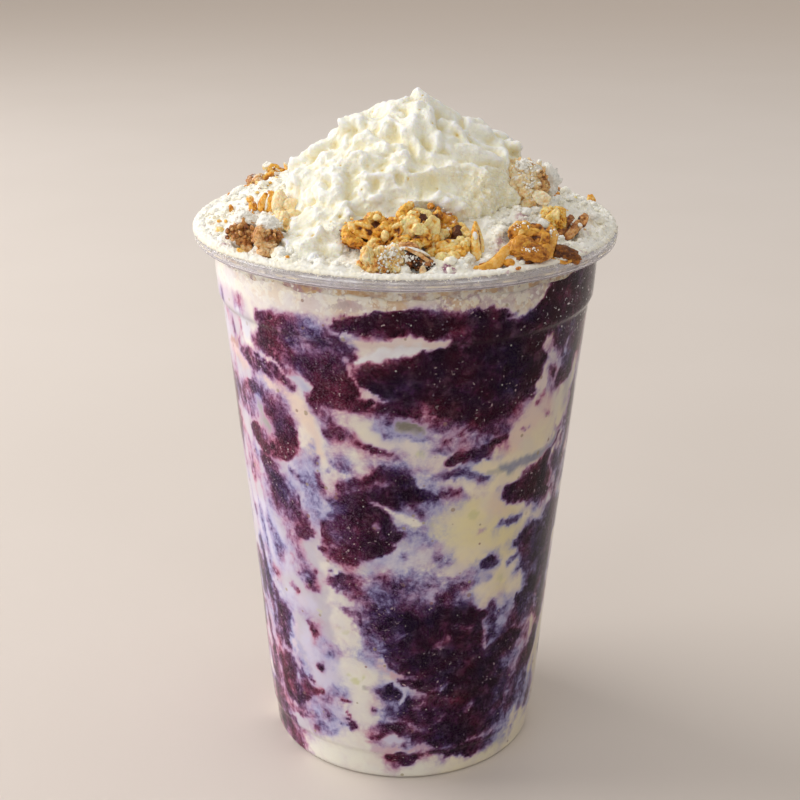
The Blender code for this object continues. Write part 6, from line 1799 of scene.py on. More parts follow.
def make_rim_dust():
    line = rim_line()
    seglen = np.concatenate([[0], np.cumsum(np.linalg.norm(np.diff(line, axis=0), axis=1))])
    start = seglen[np.argmax(line[:, 0] > 46.4)]
    cols, rows = ((760, 20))
    t = np.linspace(0, 2 * np.pi, cols, endpoint=False)
    az = np.degrees(t)
    # how far the powder reaches down the outer side, from the top: more at the left and right, little in front
    s48 = seglen[np.argmax(line[:, 0] > 47.9)]
    left, right = bumpw(az, 178, 75), bumpw(az, 0, 70)
    front = bumpw(az, -92, 62)
    back = bumpw(az, 90, 80)
    q = np.stack([np.cos(t) * 49, np.sin(t) * 49, 0 * t], -1)
    ragged = 0.34 * N1.fbm(q / 1.3, 3) + 0.16 * N2(q / 0.55)
    reach = s48 + 0.25 + 1.55 * left + 0.45 * right + 0.7 * back + 0.45 * front + ragged * (1 + 1.3 * right)
    thick = 0.34 + 0.42 * left + 0.22 * right + 0.3 * back
    s = np.linspace(0, 1, rows)
    S = start + (reach - start)[None, :] * s[:, None]
    d = np.gradient(line, axis=0)
    d /= np.linalg.norm(d, axis=1)[:, None]
    nr, nz = -d[:, 1], d[:, 0]
    if nz[20] < 0:
        nr, nz = -nr, -nz
    R, Z = np.interp(S, seglen, line[:, 0]), np.interp(S, seglen, line[:, 1])
    NR, NZ = np.interp(S, seglen, nr), np.interp(S, seglen, nz)
    TT = np.repeat(t[None, :], rows, 0)
    P = np.stack([R * np.cos(TT), R * np.sin(TT), Z], -1).reshape(-1, 3)
    lump = (N3.billow(P / 1.1, 2) - 0.45).reshape(R.shape)
    fine = (N4.billow(P / 0.55 + 7, 1) - 0.5).reshape(R.shape)
    prof = np.sqrt(np.clip(1 - s[:, None] ** 2.2, 0, 1)) * smooth(-0.25, 0.12, s[:, None] + 0.001)
    H = np.clip(thick[None, :] * prof * (1 + (0.9 + 0.6 * right) * lump + (0.45 + 0.4 * right) * fine), 0.03, None)
    H[-1] = 0.02
    top = np.stack([(R + NR * H) * np.cos(TT), (R + NR * H) * np.sin(TT), Z + NZ * H], -1)
    bot = np.stack([(R + NR * 0.008) * np.cos(TT), (R + NR * 0.008) * np.sin(TT), Z + NZ * 0.008], -1)[::-3]
    g = np.concatenate([top, bot], 0)
    # a closed band: join the last row back to the first
    rr = g.shape[0]
    idx = np.arange(rr * cols).reshape(rr, cols)
    nx = np.roll(idx, -1, 1)
    dn = np.roll(idx, -1, 0)
    dnx = np.roll(dn, -1, 1)
    f = np.vstack([np.stack([idx, dn, dnx], -1).reshape(-1, 3), np.stack([idx, dnx, nx], -1).reshape(-1, 3)])
    v = g.reshape(-1, 3)
    a, b, c = v[f[:, 0]], v[f[:, 1]], v[f[:, 2]]
    if np.einsum("ij,ij->i", a, np.cross(b, c)).sum() < 0:
        f = f[:, ::-1]
    ob = mesh_object("rim_powder", v, f)
    # painted shade: the dust band turns darker towards its lower end
    low = np.zeros(len(v))
    low[:rows * cols] = (s[:, None] * np.ones(cols)[None, :]).ravel() ** 3 * 0.8
    float_attr(ob, "deep", low)
    float_attr(ob, "stain0", 0 * low)
    float_attr(ob, "stain1", 0 * low)
    float_attr(ob, "stain2", np.clip(N2.fbm(v / 3.0, 2) * 2 - 0.4, 0, 1))
    ob.data.materials.append(powder_material("rim_powder_look"))
    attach(ob, "root")
    # grit below the edge, on the outer face
    rng = np.random.default_rng(12)
    p = Pile()
    n = 2600
    a = rng.uniform(0, 360, n)
    lr = np.maximum(bumpw(a, 178, 80), bumpw(a, 0, 75))
    k = rng.random(n) < 0.25 + 0.75 * lr
    a, lr = a[k], lr[k]
    base_reach = np.interp(a % 360, np.append(az, 360), np.append(reach, reach[0]))
    ss = base_reach + np.abs(rng.normal(0, 0.30 + 0.55 * lr)) - 0.1
    ss = np.minimum(ss, seglen[-1] - 0.02)
    R1, Z1 = np.interp(ss, seglen, line[:, 0]), np.interp(ss, seglen, line[:, 1])
    pos = np.stack([R1 * np.cos(np.radians(a)), R1 * np.sin(np.radians(a)), Z1], -1)
    size = 0.07 + 0.17 * rng.random(len(a)) ** 2
    crumbs(p, pos, size, 9, 1, 0.9, (0.0, 1.0), 0.15)
    g2 = p.build("rim_grit")
    g2.data.materials.append(powder_material("rim_grit_look", False))
    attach(g2, "root")
    return ob


# ------------------------------------------------------------------ granola, nuts and puffed pieces
def toasted(name, dark=(0.110, 0.028, 0.006), amber=(0.60, 0.215, 0.024), gold=(0.95, 0.49, 0.080), pale=(1.0, 0.83, 0.47), rough=0.30, powder=True, sss=0.30, bumpy=0.62, gran=1.0, spec=0.38, blots=1.5):
    """Toasted grain: tone runs from dark to pale, with hollows darkened as painted shade, glaze and powder on what
    faces up.
    """
    t = Tree(name)
    tone, deep, dust = t.attr("tone"), t.attr("deep"), t.attr("dust")
    mott = t.math("MULTIPLY", t.math("SUBTRACT", t.noise(480, 4.0, 0.62), 0.5), blots)
    fine = t.math("MULTIPLY", t.math("SUBTRACT", t.noise(2400, 3.0, 0.6), 0.5), 0.45)
    # the deep value darkens the hollows: painted shade
    k = t.math("ADD", t.math("ADD", t.math("ADD", tone, 0.13), mott), t.math("SUBTRACT", fine, t.math("MULTIPLY", deep, 1.05)))
    ramp = t.node("ValToRGB")
    t.link(k, ramp.inputs[0])
    el = ramp.color_ramp.elements
    el[0].position, el[0].color = 0.0, (*dark, 1)
    el[1].position, el[1].color = 0.98, (*pale, 1)
    for pos, rgb in ((0.30, amber), (0.62, gold)):
        q = el.new(pos)
        q.color = (*rgb, 1)
    # sugar and bran granules, with their tops painted paler as highlight and the gaps between them darker as painted
    # shade
    cell = t.voronoi(1350)
    c = t.mix(t.ramp(cell, 0.45, 0.80, 0.0, 0.32 * gran), ramp.outputs[0], amber, "MULTIPLY")
    c = t.mix(t.math("MULTIPLY", t.ramp(cell, 0.0, 0.30, 0.26 * gran, 0.0), t.ramp(t.noise(420, 3.0, 0.6), 0.42, 0.62)), c, pale)
    r = t.ramp(t.noise(900, 2.0), 0.3, 0.7, rough - 0.10, rough + 0.18)
    weight = sss
    if powder:
        geo = t.node("NewGeometry")
        sep = t.node("SeparateXYZ")
        t.link(geo.outputs["Normal"], sep.inputs[0])
        up = t.ramp(sep.outputs[2], -0.1, 0.95)
        spot_n = t.noise(760, 4.0, 0.62)
        m = t.math("ADD", t.math("MULTIPLY", dust, t.math("ADD", 0.35, t.math("MULTIPLY", up, 0.75))), t.math("MULTIPLY", t.math("SUBTRACT", spot_n, 0.5), 1.5))
        mask = t.ramp(m, 0.42, 0.62)
        c = t.mix(mask, c, (0.95, 0.93, 0.86))
        r = t.math("ADD", r, t.math("MULTIPLY", mask, 0.5), clamp=True)
        weight = t.math("MULTIPLY", t.math("SUBTRACT", 1.0, mask), sss)
    h = t.math("SUBTRACT", t.math("MULTIPLY", t.noise(900, 4.0, 0.6), 1.0), t.math("MULTIPLY", cell, 0.75))
    nrm = t.bump(h, bumpy, 0.0007)
    sh = t.principled(c, r, nrm, Specular_IOR_Level=spec, Subsurface_Scale=0.0008)
    if powder:
        t.link(weight, sh.node.inputs["Subsurface Weight"])
    else:
        sh.node.inputs["Subsurface Weight"].default_value = sss
    sh.node.inputs["Subsurface Radius"].default_value = (1.0, 0.55, 0.22)
    return t.finish(sh)


def facing(px, py, dx=0.0, dy=0.0, dz=1.0):
    return -ray(px, py) * dz + CAM_RIGHT * dx + CAM_UP * dy


def slant(deg):
    a = math.radians(deg)
    return CAM_RIGHT * math.cos(a) + CAM_UP * math.sin(a)


class Seen:
    """Adds shapes placed by where the camera sees them; sizes in mm."""

    def __init__(self, seed, shift=0.0, tip=0.0, row=0.0):
        self.p, self.s = Pile(), float(seed)
        self.shift, self.tip, self.row = shift, tip, row

    def at(self, py, y):
        """Depth of a shape at pixel row py: the whole piece moved by shift and tipped towards the camera."""
        return y + self.shift - self.tip * (py - self.row)

    def next(self):
        self.s += 0.731
        return self.s

    def ball(self, px, py, y, r, tone=0.5, rough=0.16, sub=3, turn=0.0, **at):
        radii = np.broadcast_to(np.asarray(r, float), (3,))
        a = math.radians(turn)
        right = CAM_RIGHT * math.cos(a) + CAM_UP * math.sin(a)
        up = CAM_UP * math.cos(a) - CAM_RIGHT * math.sin(a)
        blob(self.p, spot(px, py, self.at(py, y)), radii, sub, 1.5 * rough, 1.8, np.stack([right, up, -ray(px, py)], 1), self.next(), tone, **at)

    def oat(self, px, py, y, length, width, deg, tone=0.6, lean=(0.0, 0.3), **at):
        flake(self.p, spot(px, py, self.at(py, y)), facing(px, py, *lean), slant(deg), length, width, seed=self.next(), tone=tone, **at)

    def rod(self, pts, y, radii, tone=0.5, flat=0.8, **at):
        ys = np.broadcast_to(np.asarray(y, float), (len(pts),))
        stick(self.p, [spot(a, b, self.at(b, c)) for (a, b), c in zip(pts, ys)], radii, self.next(), tone, flat, -ray(*pts[0]), **at)

    def beads(self, px, py, y, spread, n, size, tone=(0.3, 0.8), sub=2, deepness=0.8, jag=0.12, **at):
        """A patch of small beads, spread in mm (right, up, depth)."""
        rng = np.random.default_rng(int(self.next() * 1000))
        u = rng.normal(size=(n, 3)).clip(-1.7, 1.7) * 0.6
        c = spot(px, py, self.at(py, y))
        pts = c + u[:, :1] * spread[0] * CAM_RIGHT + u[:, 1:2] * spread[1] * CAM_UP - u[:, 2:] * spread[2] * ray(px, py) * deepness
        crumbs(self.p, pts, rng.uniform(size[0], size[1], n), int(self.next() * 1000), sub, 0.9, tone, jag, **at)

    def snow(self, px, py, y, spread, n, size=(0.10, 0.27), tone=(0.9, 1.0)):
        """A sprinkling of powder: some clumps, fewer loose grains."""
        self.beads(px, py, y, (spread[0] * 0.85, spread[1] * 0.85, spread[2]), max(6, n // 7), (0.20, 0.42), tone, sub=2, jag=0.34, dust=2.2)
        self.beads(px, py, y, spread, max(8, n // 4), size, tone, sub=1, jag=0.30, dust=2.0)

    def done(self, node, mat):
        ob = self.p.build("look_" + node)
        ob.data.materials.append(mat)
        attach(ob, "root")
        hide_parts(node)
        return ob


def make_granola():
    golden = toasted("golden_granola", amber=(0.58, 0.205, 0.016), gold=(0.96, 0.50, 0.058), pale=(1.0, 0.81, 0.37), gran=0.7)
    brown = toasted("brown_granola", (0.036, 0.011, 0.006), (0.330, 0.105, 0.024), (0.72, 0.36, 0.11), (0.92, 0.69, 0.40))
    nut = toasted("toasted_nut", (0.095, 0.024, 0.004), (0.44, 0.150, 0.012), (0.80, 0.405, 0.058), (0.98, 0.73, 0.32), 0.18, True, 0.26, 0.15, 0.15, 0.32, 0.72)
    dusted = toasted("dusted_granola", (0.36, 0.15, 0.05), (0.78, 0.46, 0.18), (0.95, 0.70, 0.36), (1.0, 0.88, 0.64), 0.5)
    puffed = toasted("puffed_grain_look", (0.62, 0.30, 0.06), (0.92, 0.52, 0.14), (1.0, 0.70, 0.32), (1.0, 0.82, 0.52), 0.42, True, 0.45)

    coated = toasted("coated_grain_look", (0.24, 0.08, 0.02), (0.76, 0.34, 0.065), (0.94, 0.62, 0.22), (0.98, 0.83, 0.52), 0.36, True, 0.4)

    # front left cluster: beads, a creased flake, a second small flake
    g = Seen(1, -1.0, 0.15, 231)
    # two dark core balls: painted shade showing in the gaps between the beads and flakes
    g.ball(365, 235, -32.0, (5.2, 3.0, 2.7), -0.15, 0.25, 4, -4)
    g.ball(352, 238, -33.5, (2.4, 2.4, 2.0), 0.05, 0.2, 4)
    for px, py, y, r, tn in ((345, 231, -34.8, 1.25, .52), (347, 238, -35.2, 1.4, .50), (352, 242, -35.5, 1.35, .46), (350, 227, -34.4, 1.1, .55), (355, 225, -33.9, 1.05, .48),
                             (344, 235, -34.2, 1.0, .50), (357, 243, -35.4, 1.1, .36), (369, 219, -33.2, 1.45, .50), (375, 217, -33.0, 1.3, .56), (380, 221, -33.4, 1.15, .50),
                             (365, 222, -33.4, 1.0, .52), (386, 226, -34.0, 1.2, .52), (390, 222, -33.2, 1.25, .56), (391, 232, -33.8, 1.3, .48), (394, 226, -33.2, 1.1, .58),
                             (376, 233, -35.0, 1.2, .40), (372, 240, -35.6, 1.1, .42), (379, 242, -35.2, 1.0, .26)):
        g.ball(px, py, y, (r, r * 0.92, r), tn, 0.20)
    g.oat(360, 230, -35.4, 5.9, 4.4, -14, 0.60, (0.05, 0.35), thick=1.2, curl=0.3, crease=0.25)
    g.oat(383, 229, -34.8, 3.8, 3.0, 35, 0.56, (-0.2, 0.3), thick=1.0)
    g.ball(383, 236, -36.2, (0.85, 1.25, 0.9), 0.86, 0.1)
    g.ball(375, 218, -34.4, (0.9, 0.8, 0.8), 0.84, 0.1)
    g.oat(373, 244, -36.0, 3.5, 2.2, 10, 0.62, (0, 0.2), thick=1.0)
    g.oat(359, 246, -35.2, 4.2, 2.0, -12, 0.26, (0, 0.5), thick=1.0)
    g.oat(384, 244, -34.6, 3.8, 2.6, -20, 0.30, (0, 0.5), thick=1.0)
    g.beads(366, 228, -33.6, (4.6, 1.8, 1.6), 40, (0.28, 0.6), (0.3, 0.7), dust=0.25)
    g.done("granola_oat_cluster", golden)

    # the golden flakes in the middle
    g = Seen(2, -1.2, 0.15, 228)
    # dark core ball: painted shade showing in the gaps between the flakes
    g.ball(413, 231, -30.8, (5.0, 3.8, 2.8), -0.15, 0.25, 4)
    for px, py, y, r, tn in ((399, 215, -32.8, 1.15, .55), (402, 211, -32.6, 1.2, .52), (405, 208, -32.4, 1.15, .55), (408, 205, -32.1, 0.95, .56), (401, 219, -33.4, 0.9, .85),
                             (415, 243, -34.8, 1.2, .5), (404, 242, -34.6, 1.1, .46), (436, 215, -30.6, 1.2, .30), (425, 243, -33.4, 1.3, .22), (397, 222, -33.2, 1.1, .55),
                             (433, 238, -33.2, 1.2, .62), (429, 206, -29.8, 0.8, .24), (436, 209, -29.8, 0.7, .3)):
        g.ball(px, py, y, (r, r * 0.95, r), tn, 0.22)
    g.oat(407, 228, -34.4, 6.4, 4.7, 62, 0.96, (-0.25, 0.15), thick=1.2, curl=0.7)
    g.oat(420, 215, -32.0, 5.4, 3.1, -18, 0.98, (0.1, 0.6), thick=1.0, curl=0.6)
    g.oat(429, 228, -33.6, 5.8, 3.9, 72, 1.0, (0.35, 0.15), thick=1.2, curl=0.8)
    g.oat(417, 229, -36.0, 3.2, 2.6, 30, 0.92, (0.1, 0.1), thick=0.9)
    g.oat(424, 234, -35.6, 3.0, 2.2, -50, 0.78, (0.2, -0.1), thick=0.9)
    g.oat(410, 217, -33.6, 3.6, 2.6, 20, 0.70, (-0.1, 0.5), thick=1.0)
    g.oat(395, 231, -34.2, 6.0, 2.7, 52, 0.64, (-0.2, 0.25), thick=1.1)
    g.oat(399, 241, -34.8, 4.4, 2.5, 20, 0.62, (0.1, 0.2), thick=1.0)
    g.oat(410, 246, -35.2, 4.6, 2.4, -6, 0.60, (0, 0.4), thick=1.0)
    g.oat(419, 241, -35.2, 4.0, 2.6, 12, 0.62, (0.1, 0.1), thick=0.9)
    g.beads(414, 226, -33.2, (4.2, 3.0, 2.0), 46, (0.25, 0.6), (0.35, 0.95), dust=0.2)
    g.done("granola_flake_cluster", golden)

    # pale crumbs and a flake beside the husk
    g = Seen(3, -0.8, 0.15, 245)
    # two dark balls: painted shade showing in the gaps of the crumb cluster
    g.ball(446, 250, -33.2, (3.2, 2.4, 1.8), -0.20, 0.2, 4)
    g.ball(456, 234, -32.6, (1.8, 2.0, 1.2), -0.20, 0.2)
    g.oat(446, 245, -36.2, 5.8, 2.9, 12, 0.62, (0.05, 0.45), thick=1.2, curl=0.5)
    g.rod([(432, 252), (441, 250), (450, 249), (459, 246)], -37.0, [0.35, 0.62, 0.7, 0.5], 0.58, 0.8)
    for px, py, y, r, tn in ((437, 238, -34.6, 1.3, .95), (442, 233, -34.0, 1.2, .9), (431, 244, -35.2, 1.45, .86), (430, 252, -36.2, 1.35, .9), (463, 244, -36.0, 1.15, .98),
                             (459, 239, -35.0, 1.0, .9), (452, 256, -37.4, 1.5, .88), (441, 257, -37.4, 1.45, .92), (446, 259, -37.8, 1.2, .95), (466, 240, -35.2, 0.9, .95),
                             (459, 253, -36.6, 1.3, .70), (462, 230, -33.0, 1.2, .82), (466, 234, -33.4, 1.1, .9), (459, 226, -32.0, 1.1, .75), (464, 248, -36.2, 1.0, .6)):
        g.ball(px, py, y, (r, r * 0.85, r * 0.9), tn, 0.2, dust=0.25)
    for px, py, y, r, tn in ((444, 220, -31.4, 1.9, .34), (450, 226, -31.8, 1.7, .44), (438, 214, -30.6, 1.2, .3), (451, 219, -30.8, 1.1, .5), (447, 232, -32.6, 1.3, .36), (441, 227, -32.4, 1.1, .3)):
        g.ball(px, py, y, (r, r * 0.9, r), tn, 0.22, dust=0.35)
    g.snow(444, 217, -32.0, (2.2, 1.8, 1.2), 57)
    g.beads(447, 250, -36.0, (4.0, 1.8, 1.2), 30, (0.22, 0.5), (0.5, 1.0), dust=0.5)
    g.done("granola_crumb_cluster", golden)

    # the upright husk
    g = Seen(4, -0.6, 0.0, 241)
    g.rod([(473.4, 221), (473.0, 231), (473.2, 243), (474.6, 254), (476.0, 262)], [-32.4, -33.6, -35.2, -36.6, -37.4], [0.35, 0.75, 1.05, 1.25, 0.45], 0.66, 0.75, seg=20, per=7)
    g.rod([(474.5, 222), (478.0, 234), (480.4, 247), (479.6, 257)], [-32.2, -33.2, -34.8, -36.0], [0.25, 0.5, 0.6, 0.3], 0.85, 0.6, seg=16, per=7)
    # a dark rod on the right of the husk: painted shade in the gap between the two husks
    g.rod([(475.8, 230), (477.0, 240), (478.2, 250)], [-33.0, -34.2, -35.4], [0.3, 0.4, 0.3], 0.02, 0.6)
    # a small white ball on the husk's middle: painted highlight
    g.ball(473.2, 236, -34.9, (0.55, 1.1, 0.4), 1.0, 0.1, dust=0.9)
    g.done("oat_husk", golden)

    # the curved sliver
    g = Seen(5, 0, 0, 0)
    g.rod([(473, 268), (481, 269.5), (490, 266), (498, 258), (504, 250), (508, 246)], [-42.6, -42.2, -41.0, -39.4, -37.8, -36.8], [0.6, 1.25, 1.4, 1.25, 1.1, 0.7], 0.52, 0.72, seg=22, per=7, rough=0.08)
    g.rod([(478, 264), (488, 261), (497, 252)], [-41.6, -40.2, -38.4], [0.25, 0.35, 0.3], 0.24, 0.6)
    g.done("nut_sliver", nut)

    # the amber nut: a folded, hollow piece with thin pale edges
    g = Seen(6, -3.7, 0.13, 241)
    # dark core ball: painted shade showing between the folded flakes
    g.ball(531, 242, -28.6, (4.6, 4.0, 2.4), -0.10, 0.16, 5, -8, fold=0.12)
    g.oat(529, 236, -31.6, 8.4, 6.6, -16, 0.33, (-0.05, 0.15), thick=0.9, curl=-1.5, ragged=0.28, rings=16, seg=52)
    g.oat(546, 240, -31.0, 7.8, 4.0, 66, 0.60, (0.55, 0.05), thick=0.8, curl=1.0, ragged=0.24, rings=14, seg=44)
    g.oat(517, 229, -31.4, 5.6, 3.6, 28, 0.62, (-0.35, 0.45), thick=0.8, curl=1.0, ragged=0.22, rings=14, seg=40)
    g.ball(520, 246, -32.4, (3.2, 2.5, 2.0), 0.38, 0.11, 5, 10, fold=0.05)
    g.ball(531, 251, -32.8, (3.6, 2.1, 2.0), 0.28, 0.12, 5, -12, fold=0.06)
    g.ball(541, 250, -31.8, (2.4, 2.0, 1.6), 0.42, 0.11, 4, 0, fold=0.05)
    g.ball(524, 257, -32.2, (2.4, 1.5, 1.5), 0.12, 0.30, 4, -10, fold=0.2)
    g.ball(536, 230.5, -31.4, (2.9, 0.9, 1.0), 0.52, 0.16, 4, -18, fold=0.08)
    g.snow(519, 225, -32.0, (2.2, 0.8, 0.9), 96)
    g.snow(529, 248, -34.6, (1.7, 0.5, 0.4), 48)
    g.snow(551, 232, -31.4, (0.8, 1.2, 0.6), 35)
    g.done("amber_nut", nut)

    # the half nut lying against the rim
    g = Seen(7, -4.8, 0.15, 252)
    g.ball(560, 252, -27.6, (4.2, 1.9, 1.8), -0.02, 0.12, 5, -14, fold=0.08, dust=0.22)
    g.ball(571, 257, -27.2, (1.9, 1.0, 1.2), 0.06, 0.16, 4, -24, dust=0.2)
    g.rod([(544, 254), (553, 259), (562, 261), (570, 259)], [-29.0, -29.4, -29.2, -28.4], [0.3, 0.5, 0.5, 0.3], 0.46, 0.7)
    g.snow(560, 244, -26.6, (3.2, 0.7, 1.0), 110)
    g.done("nut_half", nut)

    # nugget at the right
    g = Seen(8, -3.0, 0.13, 216)
    g.ball(547, 213, -18.2, (1.9, 1.7, 1.7), 0.82, 0.28, 4, fold=0.1)
    g.ball(555, 212, -17.6, (1.9, 1.7, 1.7), 0.70, 0.28, 4, fold=0.1)
    g.ball(558, 219, -18.2, (1.6, 1.9, 1.6), 0.52, 0.28, 4, fold=0.1)
    g.ball(548, 221, -19.4, (1.7, 1.8, 1.4), 0.68, 0.28, 4, fold=0.1)
    g.oat(551, 216, -20.0, 4.0, 3.2, 70, 0.74, (-0.1, 0.2), thick=1.1)
    g.beads(552, 217, -19.2, (2.4, 2.0, 1.2), 26, (0.25, 0.5), (0.3, 0.9), dust=0.35)
    g.done("granola_nugget_right", golden)

    # leaning sticks
    g = Seen(9, -3.8, 0.13, 226)
    g.rod([(557, 234), (562, 225), (570, 215)], [-18.8, -18.0, -17.2], [0.7, 1.05, 0.7], 0.22, 0.8, dust=0.15)
    g.rod([(565, 237), (572, 228), (577, 220)], [-19.4, -18.8, -18.0], [0.8, 1.15, 0.7], 0.46, 0.8, dust=0.15)
    g.rod([(573, 230), (579, 220), (584, 213)], [-18.2, -17.4, -16.8], [0.7, 1.0, 0.6], 0.30, 0.8, dust=0.15)
    g.oat(581, 219, -17.8, 3.4, 2.2, 60, 0.46, (0.3, 0.3), dust=0.2)
    g.ball(577, 224, -18.6, (0.8, 0.7, 0.6), 1.0, 0.1, dust=1.0)
    g.ball(561, 232, -17.4, (2.2, 1.8, 1.4), 0.10, 0.2)
    g.beads(571, 222, -17.8, (2.6, 2.4, 1.2), 26, (0.2, 0.42), (0.2, 0.9), dust=0.4)
    g.done("oat_sticks", brown)

    # the dusted cluster: a pale crust under powder, honey brown at its right edge, deepened there as painted shade
    g = Seen(10, -11.2, 0.08, 180)
    g.ball(522, 181, 2.6, (4.8, 5.0, 4.2), 0.55, 0.30, 5, -20, fold=0.12, dust=0.20)
    # the balls at the right edge get the lowest tones: honey brown, darkened as painted shade
    for px, py, y, r, tn, du in ((512, 172, 0.8, 2.4, .60, .25), (521, 168, 0.8, 2.4, .78, .95), (531, 172, 1.0, 2.2, .50, .55), (509, 181, 0.0, 2.3, .50, .10), (519, 181, -0.4, 2.5, .70, .45),
                                 (529, 184, 0.2, 2.3, .60, .45), (537, 179, 1.4, 1.9, .12, .12), (538, 188, 1.0, 1.8, .08, .12), (512, 190, -0.9, 2.2, .48, .08), (523, 193, -1.2, 2.2, .60, .15),
                                 (533, 195, -0.6, 2.0, .44, .30), (516, 200, -1.4, 1.7, .60, .40), (527, 202, -1.8, 1.9, .68, .50), (542, 184, 2.2, 1.3, .06, .15), (535, 170, 1.8, 1.4, .30, .40)):
        g.ball(px, py, y, (r, r * 0.95, r * 0.9), tn, 0.28, 4, dust=du)
    g.ball(546, 178, 5.5, (2.4, 3.6, 2.2), 0.95, 0.34, 4, 10, dust=2.2)
    g.beads(525, 173, -0.6, (2.6, 2.8, 1.4), 40, (0.35, 0.7), (0.55, 0.95), dust=0.8)
    g.beads(513, 184, -1.0, (2.0, 3.2, 1.2), 26, (0.3, 0.6), (0.35, 0.75), dust=0.1)
    g.beads(539, 184, 0.8, (1.2, 3.2, 1.4), 24, (0.3, 0.6), (0.15, 0.5), dust=0.2)
    g.snow(522, 166, -1.2, (2.6, 1.5, 1.3), 160)
    g.snow(526, 183, -2.6, (1.3, 2.6, 1.1), 100)
    g.oat(538, 197, -2.6, 4.8, 3.2, -34, 0.94, (0.15, 0.35), thick=0.9, curl=0.9)
    g.oat(509, 187, -1.8, 3.6, 2.6, -60, 0.66, (-0.3, 0.2), thick=1.0, dust=0.3)
    g.done("dusted_cluster", dusted)

    # left: the pair of oat halves
    g = Seen(11)
    g.rod([(259, 212), (261, 204), (264, 195)], [-12.4, -11.4, -10.4], [0.7, 1.15, 0.5], 0.52, 0.7, seg=20, per=8)
    g.rod([(268, 213), (269, 204), (269, 193)], [-12.6, -11.6, -10.2], [0.8, 1.4, 0.6], 0.58, 0.7, seg=20, per=8)
    g.rod([(263.5, 212), (265, 204), (267, 196)], [-12.8, -12.2, -11.0], [0.25, 0.32, 0.2], 1.0, 0.6, dust=1.0)
    g.ball(251, 208, -11.4, (1.0, 1.2, 1.0), 0.46, 0.2, dust=0.3)
    g.ball(248, 201, -9.8, (0.9, 0.9, 0.9), 0.62, 0.2, dust=0.3)
    g.done("oat_pair_left", golden)

    g = Seen(12, -0.8, 0, 0)
    g.ball(277, 204, -12.6, (1.7, 2.9, 2.0), 0.86, 0.12, 4, -6)
    g.ball(288, 206, -13.4, (2.1, 1.6, 1.8), 0.90, 0.14, 4, 10)
    g.ball(280, 214, -14.0, (1.8, 1.5, 1.6), 0.70, 0.14, 4)
    g.done("puffed_piece_upper", puffed)

    g = Seen(13, -1.8, 0, 0)
    g.ball(281, 222, -20.4, (1.9, 2.2, 2.0), 0.84, 0.14, 4, 15)
    g.ball(291, 218, -19.4, (2.0, 1.8, 1.8), 0.80, 0.14, 4)
    g.ball(292, 229, -21.6, (2.2, 1.6, 1.8), 0.88, 0.14, 4, -20)
    g.ball(284, 224, -22.6, (0.9, 1.1, 0.6), 0.35, 0.14, 3)
    g.oat(288, 227, -22.8, 3.8, 2.6, -40, 0.62, (0, 0.2), thick=0.9)
    g.done("puffed_piece_lower", puffed)

    # left nugget: powder cap, dark crumbs, tan foot
    g = Seen(14, -0.8, 0, 0)
    g.ball(243, 232, -22.6, (2.9, 2.6, 2.6), 0.40, 0.28, 5)
    g.ball(245, 222, -21.6, (3.0, 2.0, 2.4), 0.80, 0.2, 4, -20, dust=1.6)
    g.snow(246, 219, -22.8, (2.4, 1.5, 1.6), 154)
    g.beads(238, 234, -24.4, (2.6, 1.5, 1.2), 70, (0.35, 0.80), (0.10, 0.75), dust=0.30)
    g.snow(251, 230, -23.8, (1.4, 1.6, 1.0), 88)
    g.oat(245, 247, -25.2, 3.6, 2.6, -62, 0.60, (-0.1, 0.1), thick=1.2, dust=0.1)
    g.ball(240, 242, -24.8, (1.4, 1.4, 1.2), 0.46, 0.2, 3)
    g.ball(253, 246, -24.4, (0.8, 2.4, 0.8), 0.02, 0.2, 3, 12)
    g.done("granola_nugget_left", brown)

    g = Seen(15)
    g.ball(266, 238, -29.0, (3.0, 2.8, 2.6), 0.50, 0.28, 5)
    g.ball(267, 226, -28.2, (2.6, 1.9, 2.2), 0.80, 0.2, 4, -20, dust=1.6)
    g.snow(269, 225, -29.4, (2.5, 1.6, 1.6), 154)
    g.ball(259, 238, -31.0, (1.5, 2.2, 1.6), 0.62, 0.14, 4, 15)
    g.beads(267, 238, -31.4, (2.0, 1.1, 0.9), 40, (0.3, 0.65), (0.15, 0.8), dust=0.30)
    g.ball(265, 246, -31.6, (2.4, 1.1, 1.4), 0.66, 0.2, 4)
    g.ball(263, 254, -32.2, (1.8, 1.3, 1.4), 0.78, 0.2, 4)
    g.ball(273, 253, -32.2, (1.5, 1.3, 1.3), 0.82, 0.2, 4)
    g.ball(279, 256, -32.2, (1.2, 0.7, 0.9), 0.40, 0.2, 3)
    g.done("granola_nugget_front_left", brown)

    g = Seen(16)
    g.ball(266, 168, 17.8, (1.5, 1.2, 1.4), 0.95, 0.2, 3, dust=0.8)
    g.oat(271, 170, 17.0, 3.2, 2.2, 35, 0.48, (0, 0.4), thick=1.0)
    g.ball(277, 172, 17.2, (1.4, 0.9, 1.2), 0.34, 0.2, 3)
    g.ball(284, 169, 17.6, (0.5, 1.5, 0.8), 0.72, 0.2, 3, 20, dust=0.6)
    g.ball(275, 177, 17.4, (3.4, 1.4, 2.4), 0.9, 0.2, 4, 0, dust=1.4)
    g.snow(274, 174, 16.6, (3.2, 1.4, 1.6), 88)
    g.done("granola_cluster_back", golden)

